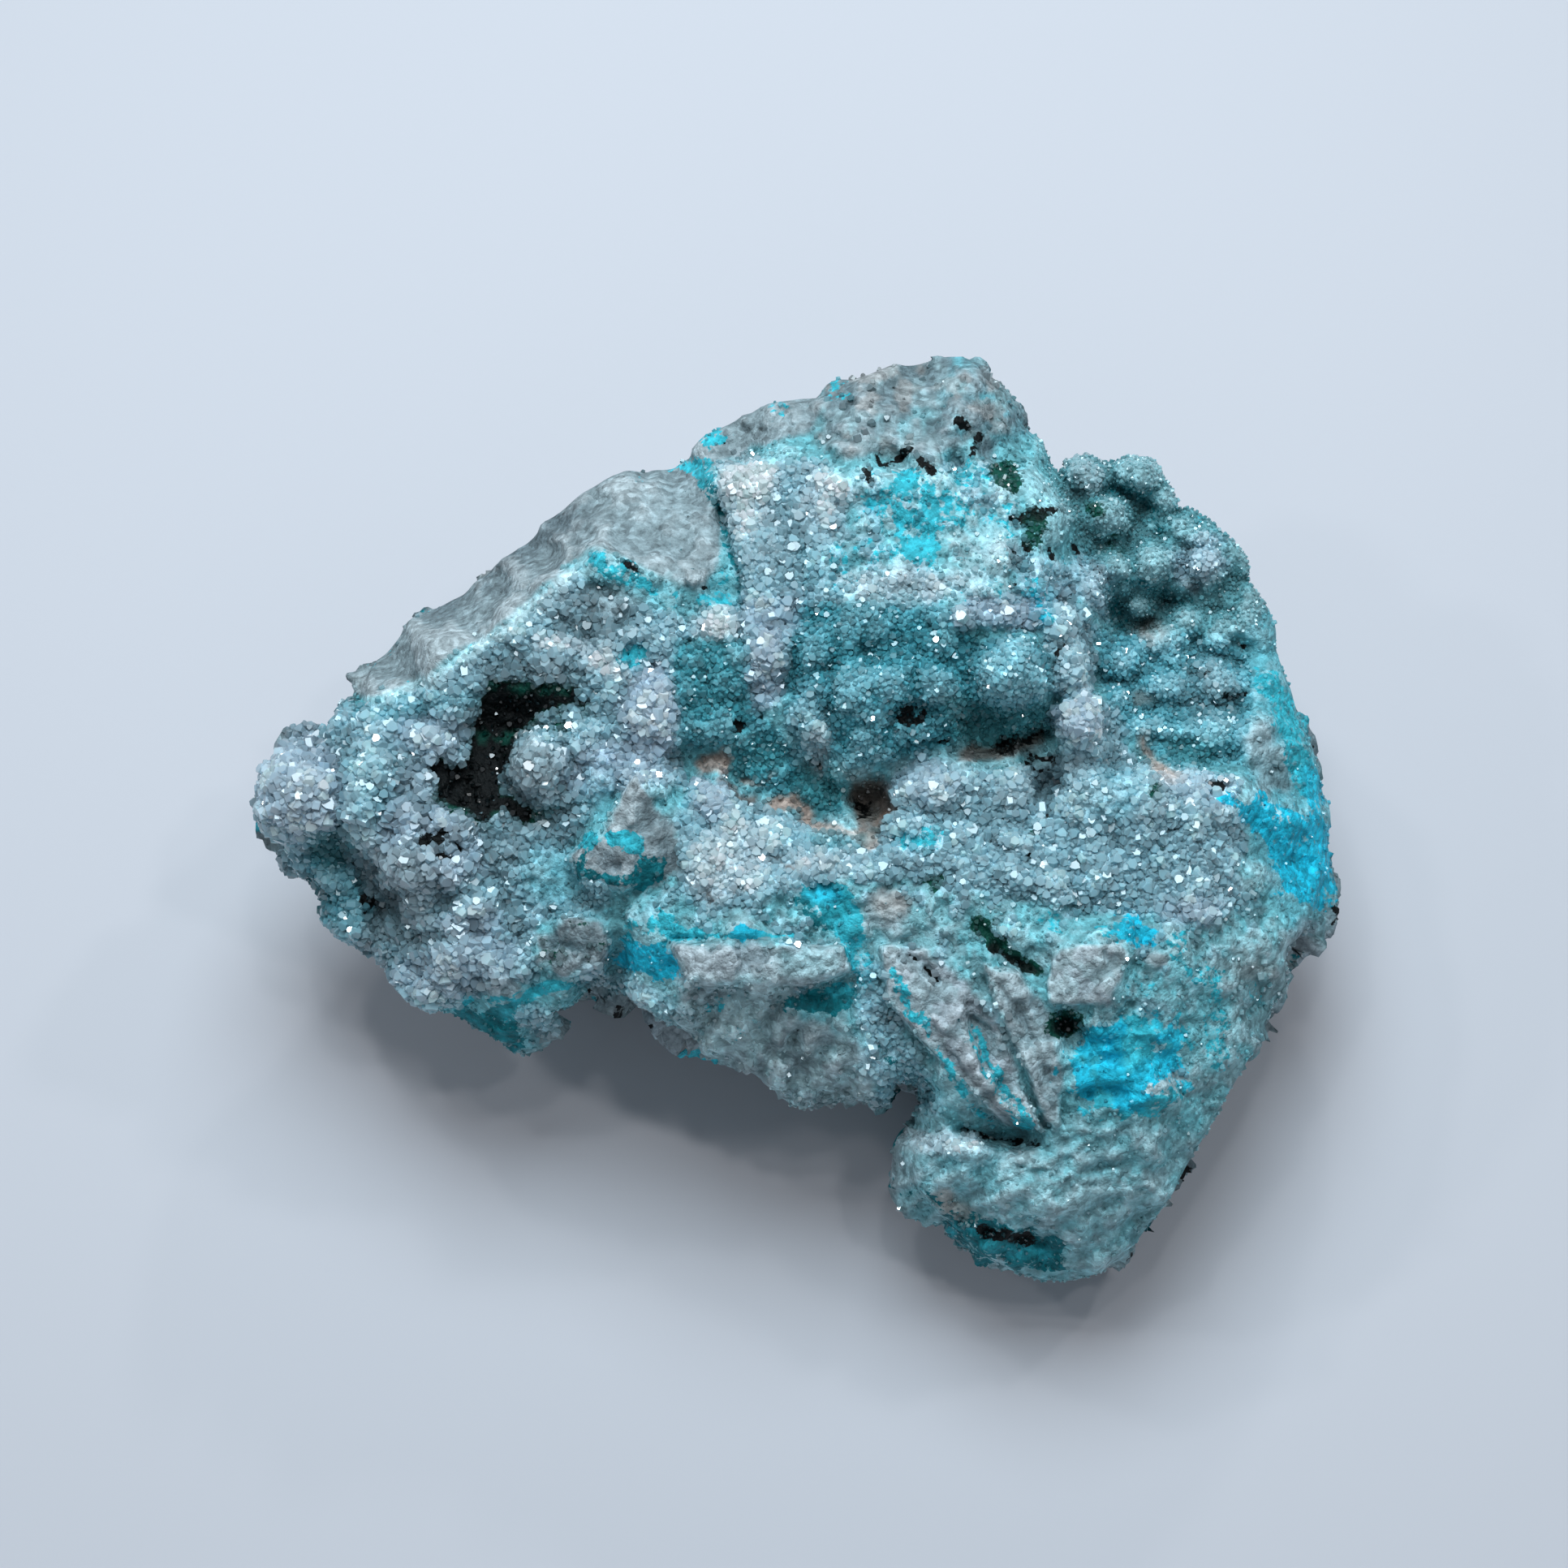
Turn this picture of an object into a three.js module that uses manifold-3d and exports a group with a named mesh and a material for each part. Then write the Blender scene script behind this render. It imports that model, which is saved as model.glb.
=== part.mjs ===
// Chrysocolla specimen: a loose broken piece of grey rock, cemented by blue-green chrysocolla.
// Its upper face and hollows carry a crust of fine quartz crystals.
// Millimetres, +Z up. The origin is on the flat underside that the specimen rests on.
import * as THREE from 'three';
import { mergeVertices } from 'three/addons/utils/BufferGeometryUtils.js';
import Module from 'manifold-3d';

// The form is laid out as it is seen from the front and above: u runs to the right, v up the
// view and w towards the eye, all in millimetres at the distance of the specimen's middle.
const SIGHT_ELEVATION = THREE.MathUtils.degToRad(66);
const EYE_DISTANCE = 243;
const EYE_U = -0.7;
const EYE_V = 2.7;
const MIDDLE_HEIGHT = 16;

const CELL = 2.5;               // spacing of the grid that the surface is drawn through
const REACH_U = [-38.2, 38.2];
const REACH_V = [-33.2, 34.2];
const REACH_W = [-31.3, 16.2];

const RIM_LEVEL = -2;           // below this level the walls turn down to the table
const WALL_TAPER = 0.42;
const WALL_WOBBLE = 1.1;        // unevenness of the broken walls, and its size
const WOBBLE_SIZE = 8;
const RIM_ROUNDING = 1.6;
const EDGE_ROUNDING = 0.8;
const BLEND_POWER = 2.1;        // how sharply neighbouring patches of the top meet
const BLEND_SOFTNESS = 0.05;
const UNDERSIDE_DEPTH = 1.4;    // the rough underside before its foot is cut flat

const CRUST_LOWEST = -4.5;      // how far down the walls the crust reaches
const CRUST_DEPTH = 1.2;
const CRUST_GAP = 0.4;
const CRYSTAL_SPACING = 4.3;
const CRYSTAL_RADIUS = [0.95, 1.5];
const CRYSTAL_HEIGHT = [1.1, 1.8];
const CRYSTAL_ROOT = 0.55;
const CRYSTAL_LEAN = 0.45;
const CRYSTAL_SIDES = 6;

// Outline of the specimen in the view, clockwise from the tip of the left arm.
const OUTLINE = [
  [-35.0, 0.5], [-34.6, 2.5], [-33.3, 4.5], [-31.9, 5.3], [-30.6, 5.2], [-29.8, 6.9],
  [-28.3, 8.2], [-27.7, 10.4], [-26.4, 12.8], [-24.5, 14.8], [-22.0, 16.0], [-19.2, 17.8],
  [-16.8, 19.7], [-14.0, 21.7], [-10.0, 24.0], [-7.0, 25.4], [-4.0, 27.0], [-1.6, 27.7],
  [1.5, 28.0], [2.4, 29.1], [5.0, 29.6], [7.5, 30.5], [9.2, 31.5], [11.0, 31.0],
  [12.6, 29.2], [14.0, 28.0], [14.8, 26.1], [16.6, 24.4], [17.3, 23.1], [18.6, 24.1],
  [21.0, 24.3], [23.5, 23.6], [24.9, 21.9], [27.7, 20.7], [29.2, 18.4], [30.2, 15.4],
  [31.6, 13.6], [32.0, 10.2], [33.5, 6.0], [34.4, 2.6], [34.9, -1.0], [34.3, -4.5],
  [33.2, -7.2], [32.2, -8.4], [32.8, -11.2], [31.4, -14.8], [29.5, -19.0], [27.2, -23.1],
  [24.3, -26.0], [21.2, -28.3], [19.3, -29.8], [16.0, -29.8], [12.2, -28.1], [9.0, -25.0],
  [7.7, -22.6], [8.8, -20.1], [9.3, -17.6], [7.8, -16.4], [6.3, -16.8], [4.8, -18.0],
  [1.0, -18.2], [-2.4, -16.5], [-5.8, -14.8], [-8.6, -12.5], [-12.8, -10.1], [-14.4, -11.6],
  [-16.6, -12.6], [-19.2, -15.1], [-21.8, -14.0], [-24.9, -11.8], [-26.4, -10.2],
  [-27.3, -8.1], [-29.8, -7.0], [-31.2, -5.0], [-32.4, -2.7], [-33.6, -0.7],
];

// The top is a patchwork: each patch has its middle u and v, its level w there, its slopes
// along u and v, its reach, and how far it swells above its rim.
const PATCHES = [
  // knob at the tip of the arm, the hollow under it and the arm itself
  [-32.2, 2.4, 5.2, 0, 0, 3.2, 1.5], [-30.0, 5.2, 3.0, 0, -0.5, 2.0, 0.8],
  [-29.6, -3.0, -0.5, 0, -0.2, 2.6, -0.6], [-31.2, -4.6, -2.0, 0.5, 0.3, 1.5, 0],
  [-27.2, -5.2, 1.5, 0.4, 0.3, 1.5, 0], [-24.2, -2.6, 8.0, 0, 0, 3.0, 0.8],
  [-26.8, 2.0, 7.0, 0, 0, 2.8, 0.6], [-26.5, 6.2, 5.2, 0, -0.3, 2.4, 0.6],
  [-21.0, -5.6, 7.0, 0, 0, 1.6, 0.8], [-22.5, -9.2, 6.2, 0, 0.5, 2.6, 0.6],
  [-18.4, -9.8, 6.8, 0, 0.5, 2.0, 0.2], [-21.5, -12.6, 3.0, 0, 1.3, 1.8, 0],
  [-25.4, -8.6, 3.4, 0.8, 0.3, 1.8, 0.3],
  // dark recess behind the arm and the lumps round it
  [-19.4, 6.0, 4.8, 0, 0, 2.3, -0.3], [-21.6, 2.6, 5.6, 0, 0, 1.5, 0],
  [-18.6, 1.6, 6.0, 0, 0, 1.1, 0], [-16.6, 3.8, 8.6, 0, 0, 2.0, 1.0],
  [-24.2, 5.6, 6.6, 0, 0, 1.6, 0.4], [-23.2, 9.0, 6.8, 0, -0.2, 1.8, 0.2],
  // ridge between the crystals and the bare grey back
  [-26.0, 8.3, 5.2, 0.3, -0.5, 1.2, 0], [-22.0, 10.8, 6.6, 0.1, -0.1, 1.4, 0],
  [-18.6, 13.0, 7.0, 0.1, -0.1, 1.4, 0], [-15.6, 15.6, 7.3, 0.1, -0.1, 1.3, 0],
  [-12.8, 17.0, 7.5, 0, -0.1, 1.2, 0], [-9.8, 15.9, 7.2, 0, 0, 1.3, 0],
  [-6.6, 14.4, 6.8, 0, 0, 1.2, 0], [-13.5, 13.8, 6.6, 0, 0, 1.9, 0.3],
  [-15.8, 11.6, 7.8, 0, 0, 1.5, 0.5], [-11.6, 10.0, 8.2, 0, 0, 1.5, 0.4],
  [-18.6, 10.2, 6.2, 0, 0, 1.5, 0],
  // bare grey back, falling away to the outline
  [-25.8, 10.8, -0.5, 1.2, -2.0, 1.8, 0], [-21.4, 14.0, 0.2, 1.1, -2.0, 2.4, 0],
  [-17.2, 17.4, 0.6, 1.1, -1.9, 2.2, 0], [-13.5, 20.4, 1.6, 0.25, -1.5, 2.2, 0],
  [-9.2, 19.8, 2.8, -0.05, -1.2, 2.8, 0], [-8.5, 23.6, -3.2, 0.1, -1.5, 1.8, 0],
  [-12.6, 22.4, -1.8, 0.3, -1.7, 1.5, 0], [-3.2, 25.8, -1.5, 0.1, -1.3, 1.8, 0],
  // pale block of crystals, the seam beside it and the recess below
  [-1.6, 21.8, 4.6, 0, -0.35, 2.6, 0.4], [1.0, 25.6, 1.0, 0.1, -1.0, 1.8, 0],
  [-1.4, 17.4, 7.0, 0, -0.3, 2.2, 0.2], [-5.0, 19.5, 3.6, 0, -0.5, 1.0, 0],
  [-2.6, 11.6, 8.2, 0, 0.1, 1.6, 0.5],
  [-5.4, 9.4, 4.8, 0, 0, 1.8, -0.6], [-5.4, 12.9, 7.4, 0, 0, 1.2, 0.2],
  [-9.3, 7.4, 8.6, 0, 0, 2.2, 0.6], [-12.6, 5.8, 7.6, 0, 0, 1.8, 0.5],
  [-12.8, 2.6, 8.2, 0, 0, 1.8, 0.6],
  // angular grey fragments at the left of the middle
  [-10.4, 1.4, 10.4, -0.1, 0.35, 1.8, 0], [-11.2, -2.4, 9.9, -0.1, 0.2, 2.2, 0],
  [-16.2, -3.2, 7.2, 0, 0, 2.6, 0.4], [-19.2, -1.4, 6.6, 0, 0, 1.5, 0.1],
  [-14.7, -8.0, 8.0, 0.1, 0.35, 1.9, 0], [-12.4, -10.2, 5.0, 0, 1.0, 1.2, 0],
  [-18.2, -6.6, 6.0, 0, 0, 1.3, 0],
  // crown of bare rock at the rear
  [9.6, 30.2, -1.2, 0, -1.2, 1.2, 0], [7.4, 26.8, 2.8, 0.05, -1.1, 3.0, 0],
  [3.4, 27.2, 1.0, 0.5, -1.0, 1.8, 0], [12.4, 27.6, 1.2, -0.9, -0.8, 1.8, 0],
  [14.2, 25.0, 1.8, -1.0, -0.6, 1.4, 0],
  // mottled shelf and the dome of crystals in front of it
  [8.6, 20.6, 7.4, 0, -0.25, 2.8, 0.1], [4.0, 20.4, 6.8, 0, -0.25, 2.2, 0.1],
  [7.6, 16.8, 8.6, 0, -0.15, 2.4, 0.1], [2.6, 16.6, 8.2, 0, -0.15, 2.0, 0.2],
  [12.6, 17.6, 7.6, 0, 0, 1.6, 0.2], [12.4, 21.0, 6.0, 0, -0.3, 1.7, 0.2],
  [5.0, 12.4, 9.6, 0, 0.15, 2.6, 0.4], [1.2, 12.0, 8.8, 0.1, 0.1, 2.0, 0.6],
  [9.6, 12.4, 9.8, 0, 0, 2.2, 0.4], [5.0, 8.6, 10.6, 0, 0.1, 2.4, 0.8],
  [9.4, 8.6, 9.8, -0.1, 0.1, 1.8, 0.7], [1.0, 7.8, 8.6, 0.2, 0.3, 1.8, 0.6],
  [3.6, 5.0, 7.2, 0, 1.2, 1.2, 0], [-1.4, 5.0, 5.6, 0.2, 0.8, 1.4, 0],
  [-2.2, 8.2, 6.4, 0.3, 0.2, 1.3, 0.2], [14.2, 10.1, 10.2, 0, 0, 1.9, 1.6],
  [12.8, 14.0, 8.2, 0, 0, 1.5, 0.3],
  // rib between the dome and the bowl
  [15.0, 20.0, 5.6, -0.1, -0.3, 1.5, 0.4], [15.8, 16.6, 7.0, 0, 0, 1.4, 0.6],
  [16.8, 13.2, 7.6, 0, 0, 1.3, 0.5], [18.0, 10.2, 8.2, 0, 0, 1.3, 0.5],
  [19.0, 6.8, 8.4, 0, 0, 1.8, 0.6],
  // the hollow across the middle
  [12.6, 5.8, 0.5, 0, 0, 1.7, -0.5], [16.4, 5.4, 1.0, 0, 0, 1.1, 0],
  [4.8, 1.6, 0.5, 0, 0, 1.4, -0.5], [1.2, 2.4, 2.4, 0, 0, 1.5, 0],
  [-2.2, 2.4, 4.4, 0, 0, 1.3, 0], [-5.6, 3.9, 4.6, 0, 0, 1.2, 0],
  [17.0, 2.6, 3.4, 0, 0, 1.0, 0],
  // its front lip
  [-5.8, 0.6, 8.4, 0, -0.4, 1.6, 0.2], [-1.8, -1.2, 9.2, 0, -0.5, 1.8, 0.4],
  [2.6, -1.6, 9.4, 0, -0.5, 1.5, 0.3], [5.2, -1.2, 8.4, 0, -0.8, 1.1, 0],
  [9.2, 2.6, 8.8, 0, -0.3, 2.0, 0.8], [9.4, -1.8, 10.3, 0, 0, 2.2, 0.3],
  [14.2, 1.6, 8.6, 0, 0, 1.6, 0.4], [13.8, -2.6, 10.4, 0, 0, 2.0, 0.3],
  [19.8, 1.4, 9.6, 0, 0, 1.8, 0.5], [23.6, 0.6, 9.4, 0, 0, 2.0, 0.6],
  [27.6, 1.6, 7.6, -0.4, -0.3, 2.0, 0.6], [19.4, -3.2, 9.6, 0, 0, 1.8, 0.2],
  [24.6, -4.0, 9.2, 0, 0, 2.2, 0.3], [29.2, -3.4, 6.6, -0.6, 0, 2.2, 0.3],
  // right end and the smooth rim round the bowl
  [32.6, -1.0, 3.0, -1.0, 0, 1.8, 0.2], [32.6, 3.6, 1.6, -0.9, -0.2, 1.6, 0.2],
  [31.6, 9.0, -0.2, -0.9, -0.3, 1.4, 0.2], [30.4, 13.4, -1.0, -0.8, -0.4, 1.5, 0.3],
  [28.8, 17.8, -1.6, -0.7, -0.5, 1.6, 0.4], [26.4, 20.0, -1.6, -0.4, -0.7, 1.3, 0.5],
  // rounded lumps that line the bowl
  [23.6, 17.4, -0.6, 0, 0, 1.7, 1.6], [22.3, 14.4, -1.6, 0, 0, 1.3, 1.2],
  [26.6, 16.6, -1.0, 0, 0, 1.6, 1.2], [26.0, 13.2, -1.2, 0, 0, 1.4, 1.0],
  [19.9, 20.2, 0.2, 0, -0.1, 1.6, 1.1], [19.4, 22.8, -0.6, 0, -0.3, 1.4, 1.2],
  [22.6, 22.9, -1.0, 0, -0.3, 1.5, 1.2], [24.4, 11.0, 0.4, 0, 0, 1.6, 0.9],
  [21.4, 10.4, 1.0, 0, 0, 1.6, 1.0], [24.8, 8.2, 1.6, 0, 0, 1.6, 0.9],
  [27.6, 9.0, 0.8, 0, 0, 1.5, 0.8], [28.4, 12.2, -0.8, 0, 0, 1.3, 0.8],
  [20.8, 17.0, 1.0, -0.2, 0, 1.3, 0.8], [24.2, 20.4, -1.2, 0, 0, 1.2, 1.0],
  [27.4, 5.4, 2.8, 0, 0, 1.6, 0.7], [21.6, 7.2, 3.4, -0.3, 0, 1.3, 0.5],
  [18.6, 16.6, 3.8, -0.9, 0, 1.2, 0], [19.6, 13.2, 2.4, -1.0, 0, 1.3, 0],
  [23.6, 5.4, 3.6, 0, 0, 1.3, 0], [30.4, 5.8, 2.6, -0.5, 0, 1.5, 0.2],
  // front field of rock, its ledge and the valley beside it
  [-5.6, -3.4, 10.2, 0, 0, 2.2, 0.3], [-1.0, -4.6, 10.8, 0, 0, 2.2, 0.1],
  [4.2, -4.4, 11.0, 0, 0, 2.2, 0.1], [9.6, -5.4, 11.2, 0, 0, 2.2, 0.1],
  [14.4, -6.4, 11.2, 0, 0, 2.0, 0.1], [-2.6, -8.8, 12.3, 0, 0.1, 2.4, 0],
  [-8.8, -8.4, 9.6, 0.2, 0.4, 1.8, 0.1], [-5.4, -12.0, 8.8, 0.2, 1.2, 2.2, 0],
  [0.6, -14.8, 7.4, 0.1, 1.15, 2.4, 0], [2.4, -11.4, 8.4, 0, 0.3, 1.3, 0],
  [1.5, -17.2, 4.6, 0, 1.2, 1.4, 0], [6.2, -13.6, 7.0, 0, 0.5, 1.8, 0],
  [7.2, -16.2, 4.6, 0, 0.9, 1.2, 0], [4.8, -8.6, 10.4, 0, 0.1, 1.6, 0],
  // slanting fragments and the crack below them
  [9.4, -10.8, 11.2, -0.1, 0.1, 1.9, 0], [12.6, -15.8, 10.8, -0.15, 0.1, 2.0, 0],
  [15.6, -14.0, 11.4, -0.1, 0.1, 1.8, 0], [14.4, -18.8, 10.0, 0.1, 0.3, 1.2, 0],
  [13.6, -20.6, 7.6, 0, 0, 1.3, 0],
  // lobe at the front right
  [16.8, -22.6, 9.8, 0, 0.1, 2.6, 0.3], [11.6, -22.4, 8.6, 0.2, 0.1, 1.9, 0.6],
  [21.8, -22.4, 9.0, -0.2, 0.3, 2.4, 0.2], [16.2, -26.8, 6.8, 0, 1.2, 2.2, 0],
  [21.6, -26.2, 6.2, -0.4, 1.0, 2.0, 0], [11.4, -26.0, 6.0, 0.4, 0.9, 1.5, 0],
  // platform behind the lobe, with its square fragment, and the right flank
  [19.3, -9.8, 11.8, -0.05, 0.03, 2.2, 0], [23.8, -9.0, 10.6, 0, 0, 1.9, 0],
  [27.4, -8.0, 8.6, -0.5, 0.1, 2.0, 0.1], [31.0, -7.6, 5.6, -0.9, 0.1, 1.6, 0.1],
  [21.4, -16.2, 10.6, 0, 0, 2.8, 0.1], [17.6, -16.6, 10.9, 0, 0, 1.4, 0.1],
  [26.2, -13.4, 8.4, -0.5, 0.1, 2.4, 0.1],
  [30.6, -12.2, 5.0, -1.0, 0.1, 1.6, 0], [28.4, -17.6, 5.6, -0.9, 0.4, 2.0, 0],
  [25.2, -20.6, 7.2, -0.6, 0.4, 2.0, 0.1],
];

// Where the underside lifts off the table: x, y, reach along x and y, and the lift.
const LIFTS = [
  [-38, -2, 26, 30, 14],
  [-8, -23, 26, 22, 13],
  [24, -36, 24, 18, 8],
  [42, 2, 18, 30, 9],
  [-22, 32, 22, 22, 9],
  [26, 34, 22, 18, 8],
  [6, 36, 20, 14, 6],
];

// Flat breaks round the back and sides: azimuth and elevation of the face, in degrees, and
// its distance from the point BREAK_CENTRE.
const BREAK_CENTRE = [2, 4, 10];
const BREAKS = [
  [118, 20, 27.0], [82, 4, 27.5], [48, 8, 30.0], [22, -8, 31.0], [150, -22, 26.0],
  [-28, -12, 31.5], [-62, -24, 34.5], [-125, -38, 19.5], [186, -34, 28.0],
];

// Where the crust of crystals lies, as seen in the view.
const CRUSTS = {
  druse_crust: [
    [-38, -2], [-37.5, 5], [-33, 8], [-29.6, 7.4], [-27.2, 7.6], [-24, 8.8], [-20, 11.2],
    [-16.6, 14.4], [-13.2, 16], [-10, 14.8], [-6.6, 13.4], [-4.4, 14.2], [-3.6, 18],
    [-5, 21.2], [-3.8, 23.2], [1, 22.8], [2.4, 20.6], [1.6, 17.4], [3, 14.8],
    [11.6, 14.6], [15.2, 13], [17.4, 9.4], [20.4, 8.4], [21, 5], [23.4, 3.6],
    [27.5, 3.4], [29.8, 1], [29, -4], [28, -6.6], [24, -6.4], [18.5, -5.8],
    [13.5, -4.6], [8.5, -3.8], [3.5, -3.4], [-1, -4.8], [-5.4, -6], [-6.4, -3.4],
    [-6.8, -0.4], [-8.8, 2.6], [-10.4, 4.4], [-13, 1.2], [-15.6, -1], [-15.2, -4.4],
    [-17, -6.4], [-17.4, -9.6], [-19, -12.4], [-22, -16.5], [-28, -12.5], [-34, -8],
  ],
  bowl_crust: [
    [18.2, 26], [24.5, 25.4], [28.8, 21.4], [29, 18], [29.4, 14], [29.4, 10.4],
    [29.2, 7.6], [26.4, 6.8], [24, 7], [21, 9.2], [19.8, 12.4], [18.8, 16],
    [17.6, 19.6], [16.8, 23],
  ],
};
const CRUST_SIDE_GAP = 0.5;

const FINISHES = {
  host_rock: { color: 0x7f9c9f, roughness: 0.85, metalness: 0 },
  druse_crust: { color: 0x8fb9bd, roughness: 0.25, metalness: 0 },
  bowl_crust: { color: 0x5fa3a6, roughness: 0.35, metalness: 0 },
};

const wasm = await Module();
wasm.setup();

// Repeatable noise between -1 and 1, from the corners of a square grid.
function cornerValue(i, j, seed) {
  let n = Math.imul(i, 374761393) + Math.imul(j, 668265263) + Math.imul(seed, 974634777);
  n = Math.imul((n >>> 0) ^ ((n >>> 0) >>> 13), 1274126177) >>> 0;
  return ((n ^ (n >>> 16)) & 0xffff) / 32767.5 - 1;
}

function noise(x, y, seed) {
  const i = Math.floor(x);
  const j = Math.floor(y);
  const fx = THREE.MathUtils.smoothstep(x - i, 0, 1);
  const fy = THREE.MathUtils.smoothstep(y - j, 0, 1);
  const low = THREE.MathUtils.lerp(cornerValue(i, j, seed), cornerValue(i + 1, j, seed), fx);
  const high = THREE.MathUtils.lerp(cornerValue(i, j + 1, seed), cornerValue(i + 1, j + 1, seed), fx);
  return THREE.MathUtils.lerp(low, high, fy);
}

// Distance from a point to a closed outline, negative inside it.
function outlineDistance(points, u, v) {
  let nearest = Infinity;
  let inside = false;
  points.forEach(([u0, v0], i) => {
    const [u1, v1] = points[(i + 1) % points.length];
    const du = u1 - u0;
    const dv = v1 - v0;
    const t = THREE.MathUtils.clamp(((u - u0) * du + (v - v0) * dv) / (du * du + dv * dv), 0, 1);
    nearest = Math.min(nearest, Math.hypot(u - u0 - t * du, v - v0 - t * dv));
    if ((v0 > v) !== (v1 > v) && u < (du * (v - v0)) / dv + u0) {
      inside = !inside;
    }
  });
  return inside ? -nearest : nearest;
}

// Level of the top at a point of the view: the patches' own levels, weighed by nearness.
const WARP = 0.9;
const WARP_SIZE = 4;

function topLevel(u, v) {
  const bentU = u + WARP * noise(u / WARP_SIZE, v / WARP_SIZE, 11);
  const bentV = v + WARP * noise(u / WARP_SIZE, v / WARP_SIZE, 37);
  let sum = 0;
  let total = 0;
  for (const [pu, pv, level, slopeU, slopeV, reach, swell] of PATCHES) {
    const du = bentU - pu;
    const dv = bentV - pv;
    const q = (du * du + dv * dv) / (reach * reach);
    const weight = (q + BLEND_SOFTNESS) ** -BLEND_POWER;
    sum += weight * (level + slopeU * du + slopeV * dv + swell * (0.5 - Math.min(q, 2.2)));
    total += weight;
  }
  return sum / total;
}

function toSpecimen(u, v, w) {
  const nearer = 1 - w / EYE_DISTANCE;
  const across = EYE_U + (u - EYE_U) * nearer;
  const up = EYE_V + (v - EYE_V) * nearer;
  const sine = Math.sin(SIGHT_ELEVATION);
  const cosine = Math.cos(SIGHT_ELEVATION);
  return new THREE.Vector3(across, up * sine - w * cosine, MIDDLE_HEIGHT + up * cosine + w * sine);
}

function smoothMax(a, b, rounding) {
  const h = THREE.MathUtils.clamp(0.5 + (a - b) / (2 * rounding), 0, 1);
  return THREE.MathUtils.lerp(b, a, h) + rounding * h * (1 - h);
}

function undersideHeight(x, y) {
  let height = -UNDERSIDE_DEPTH;
  for (const [cx, cy, reachX, reachY, lift] of LIFTS) {
    const q = Math.max(0, 1 - ((x - cx) / reachX) ** 2 - ((y - cy) / reachY) ** 2);
    height += lift * q * q * (3 - 2 * q);
  }
  return height;
}

const breakFaces = BREAKS.map(([azimuth, elevation, distance]) => {
  const across = THREE.MathUtils.degToRad(azimuth);
  const up = THREE.MathUtils.degToRad(elevation);
  const normal = new THREE.Vector3(
    Math.cos(across) * Math.cos(up), Math.sin(across) * Math.cos(up), Math.sin(up));
  return { normal, offset: normal.dot(new THREE.Vector3(...BREAK_CENTRE)) + distance };
});

// How far a point lies outside the specimen, negative inside it.
function depthField(u, v, w) {
  const fall = Math.max(0, RIM_LEVEL - w);
  const under = v + fall / Math.tan(SIGHT_ELEVATION);
  const wall = Math.max(
    outlineDistance(OUTLINE, u, v), outlineDistance(OUTLINE, u, under) + WALL_TAPER * fall);
  const point = toSpecimen(u, v, w);
  const wobble = noise(point.x / WOBBLE_SIZE, point.z / WOBBLE_SIZE, 5)
    + noise(point.y / WOBBLE_SIZE, point.z / WOBBLE_SIZE, 6);
  const belowRim = THREE.MathUtils.smoothstep(fall, 0, WOBBLE_SIZE);
  let depth = smoothMax(wall, w - topLevel(u, v), RIM_ROUNDING) + WALL_WOBBLE * belowRim * wobble;
  depth = smoothMax(depth, undersideHeight(point.x, point.y) - point.z, EDGE_ROUNDING);
  for (const { normal, offset } of breakFaces) {
    depth = smoothMax(depth, normal.dot(point) - offset, EDGE_ROUNDING);
  }
  return depth;
}

// The field on a grid, scaled to a true distance where it is steeper than one.
function sampleField() {
  const counts = [REACH_U, REACH_V, REACH_W].map(([low, high]) => Math.ceil((high - low) / CELL) + 1);
  const [nu, nv, nw] = counts;
  const at = (i, j, k) => (k * nv + j) * nu + i;
  const raw = new Float64Array(nu * nv * nw);
  for (let k = 0; k < nw; k += 1) {
    for (let j = 0; j < nv; j += 1) {
      for (let i = 0; i < nu; i += 1) {
        raw[at(i, j, k)] = depthField(
          REACH_U[0] + i * CELL, REACH_V[0] + j * CELL, REACH_W[0] + k * CELL);
      }
    }
  }
  const values = raw.slice();
  const slope = (i, j, k, di, dj, dk) => {
    const before = at(Math.max(i - di, 0), Math.max(j - dj, 0), Math.max(k - dk, 0));
    const after = at(Math.min(i + di, nu - 1), Math.min(j + dj, nv - 1), Math.min(k + dk, nw - 1));
    return (raw[after] - raw[before]) / (2 * CELL);
  };
  for (let k = 0; k < nw; k += 1) {
    for (let j = 0; j < nv; j += 1) {
      for (let i = 0; i < nu; i += 1) {
        const steepness = Math.hypot(slope(i, j, k, 1, 0, 0), slope(i, j, k, 0, 1, 0), slope(i, j, k, 0, 0, 1));
        values[at(i, j, k)] /= Math.max(1, steepness);
      }
    }
  }
  return { counts, at, values };
}

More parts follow.
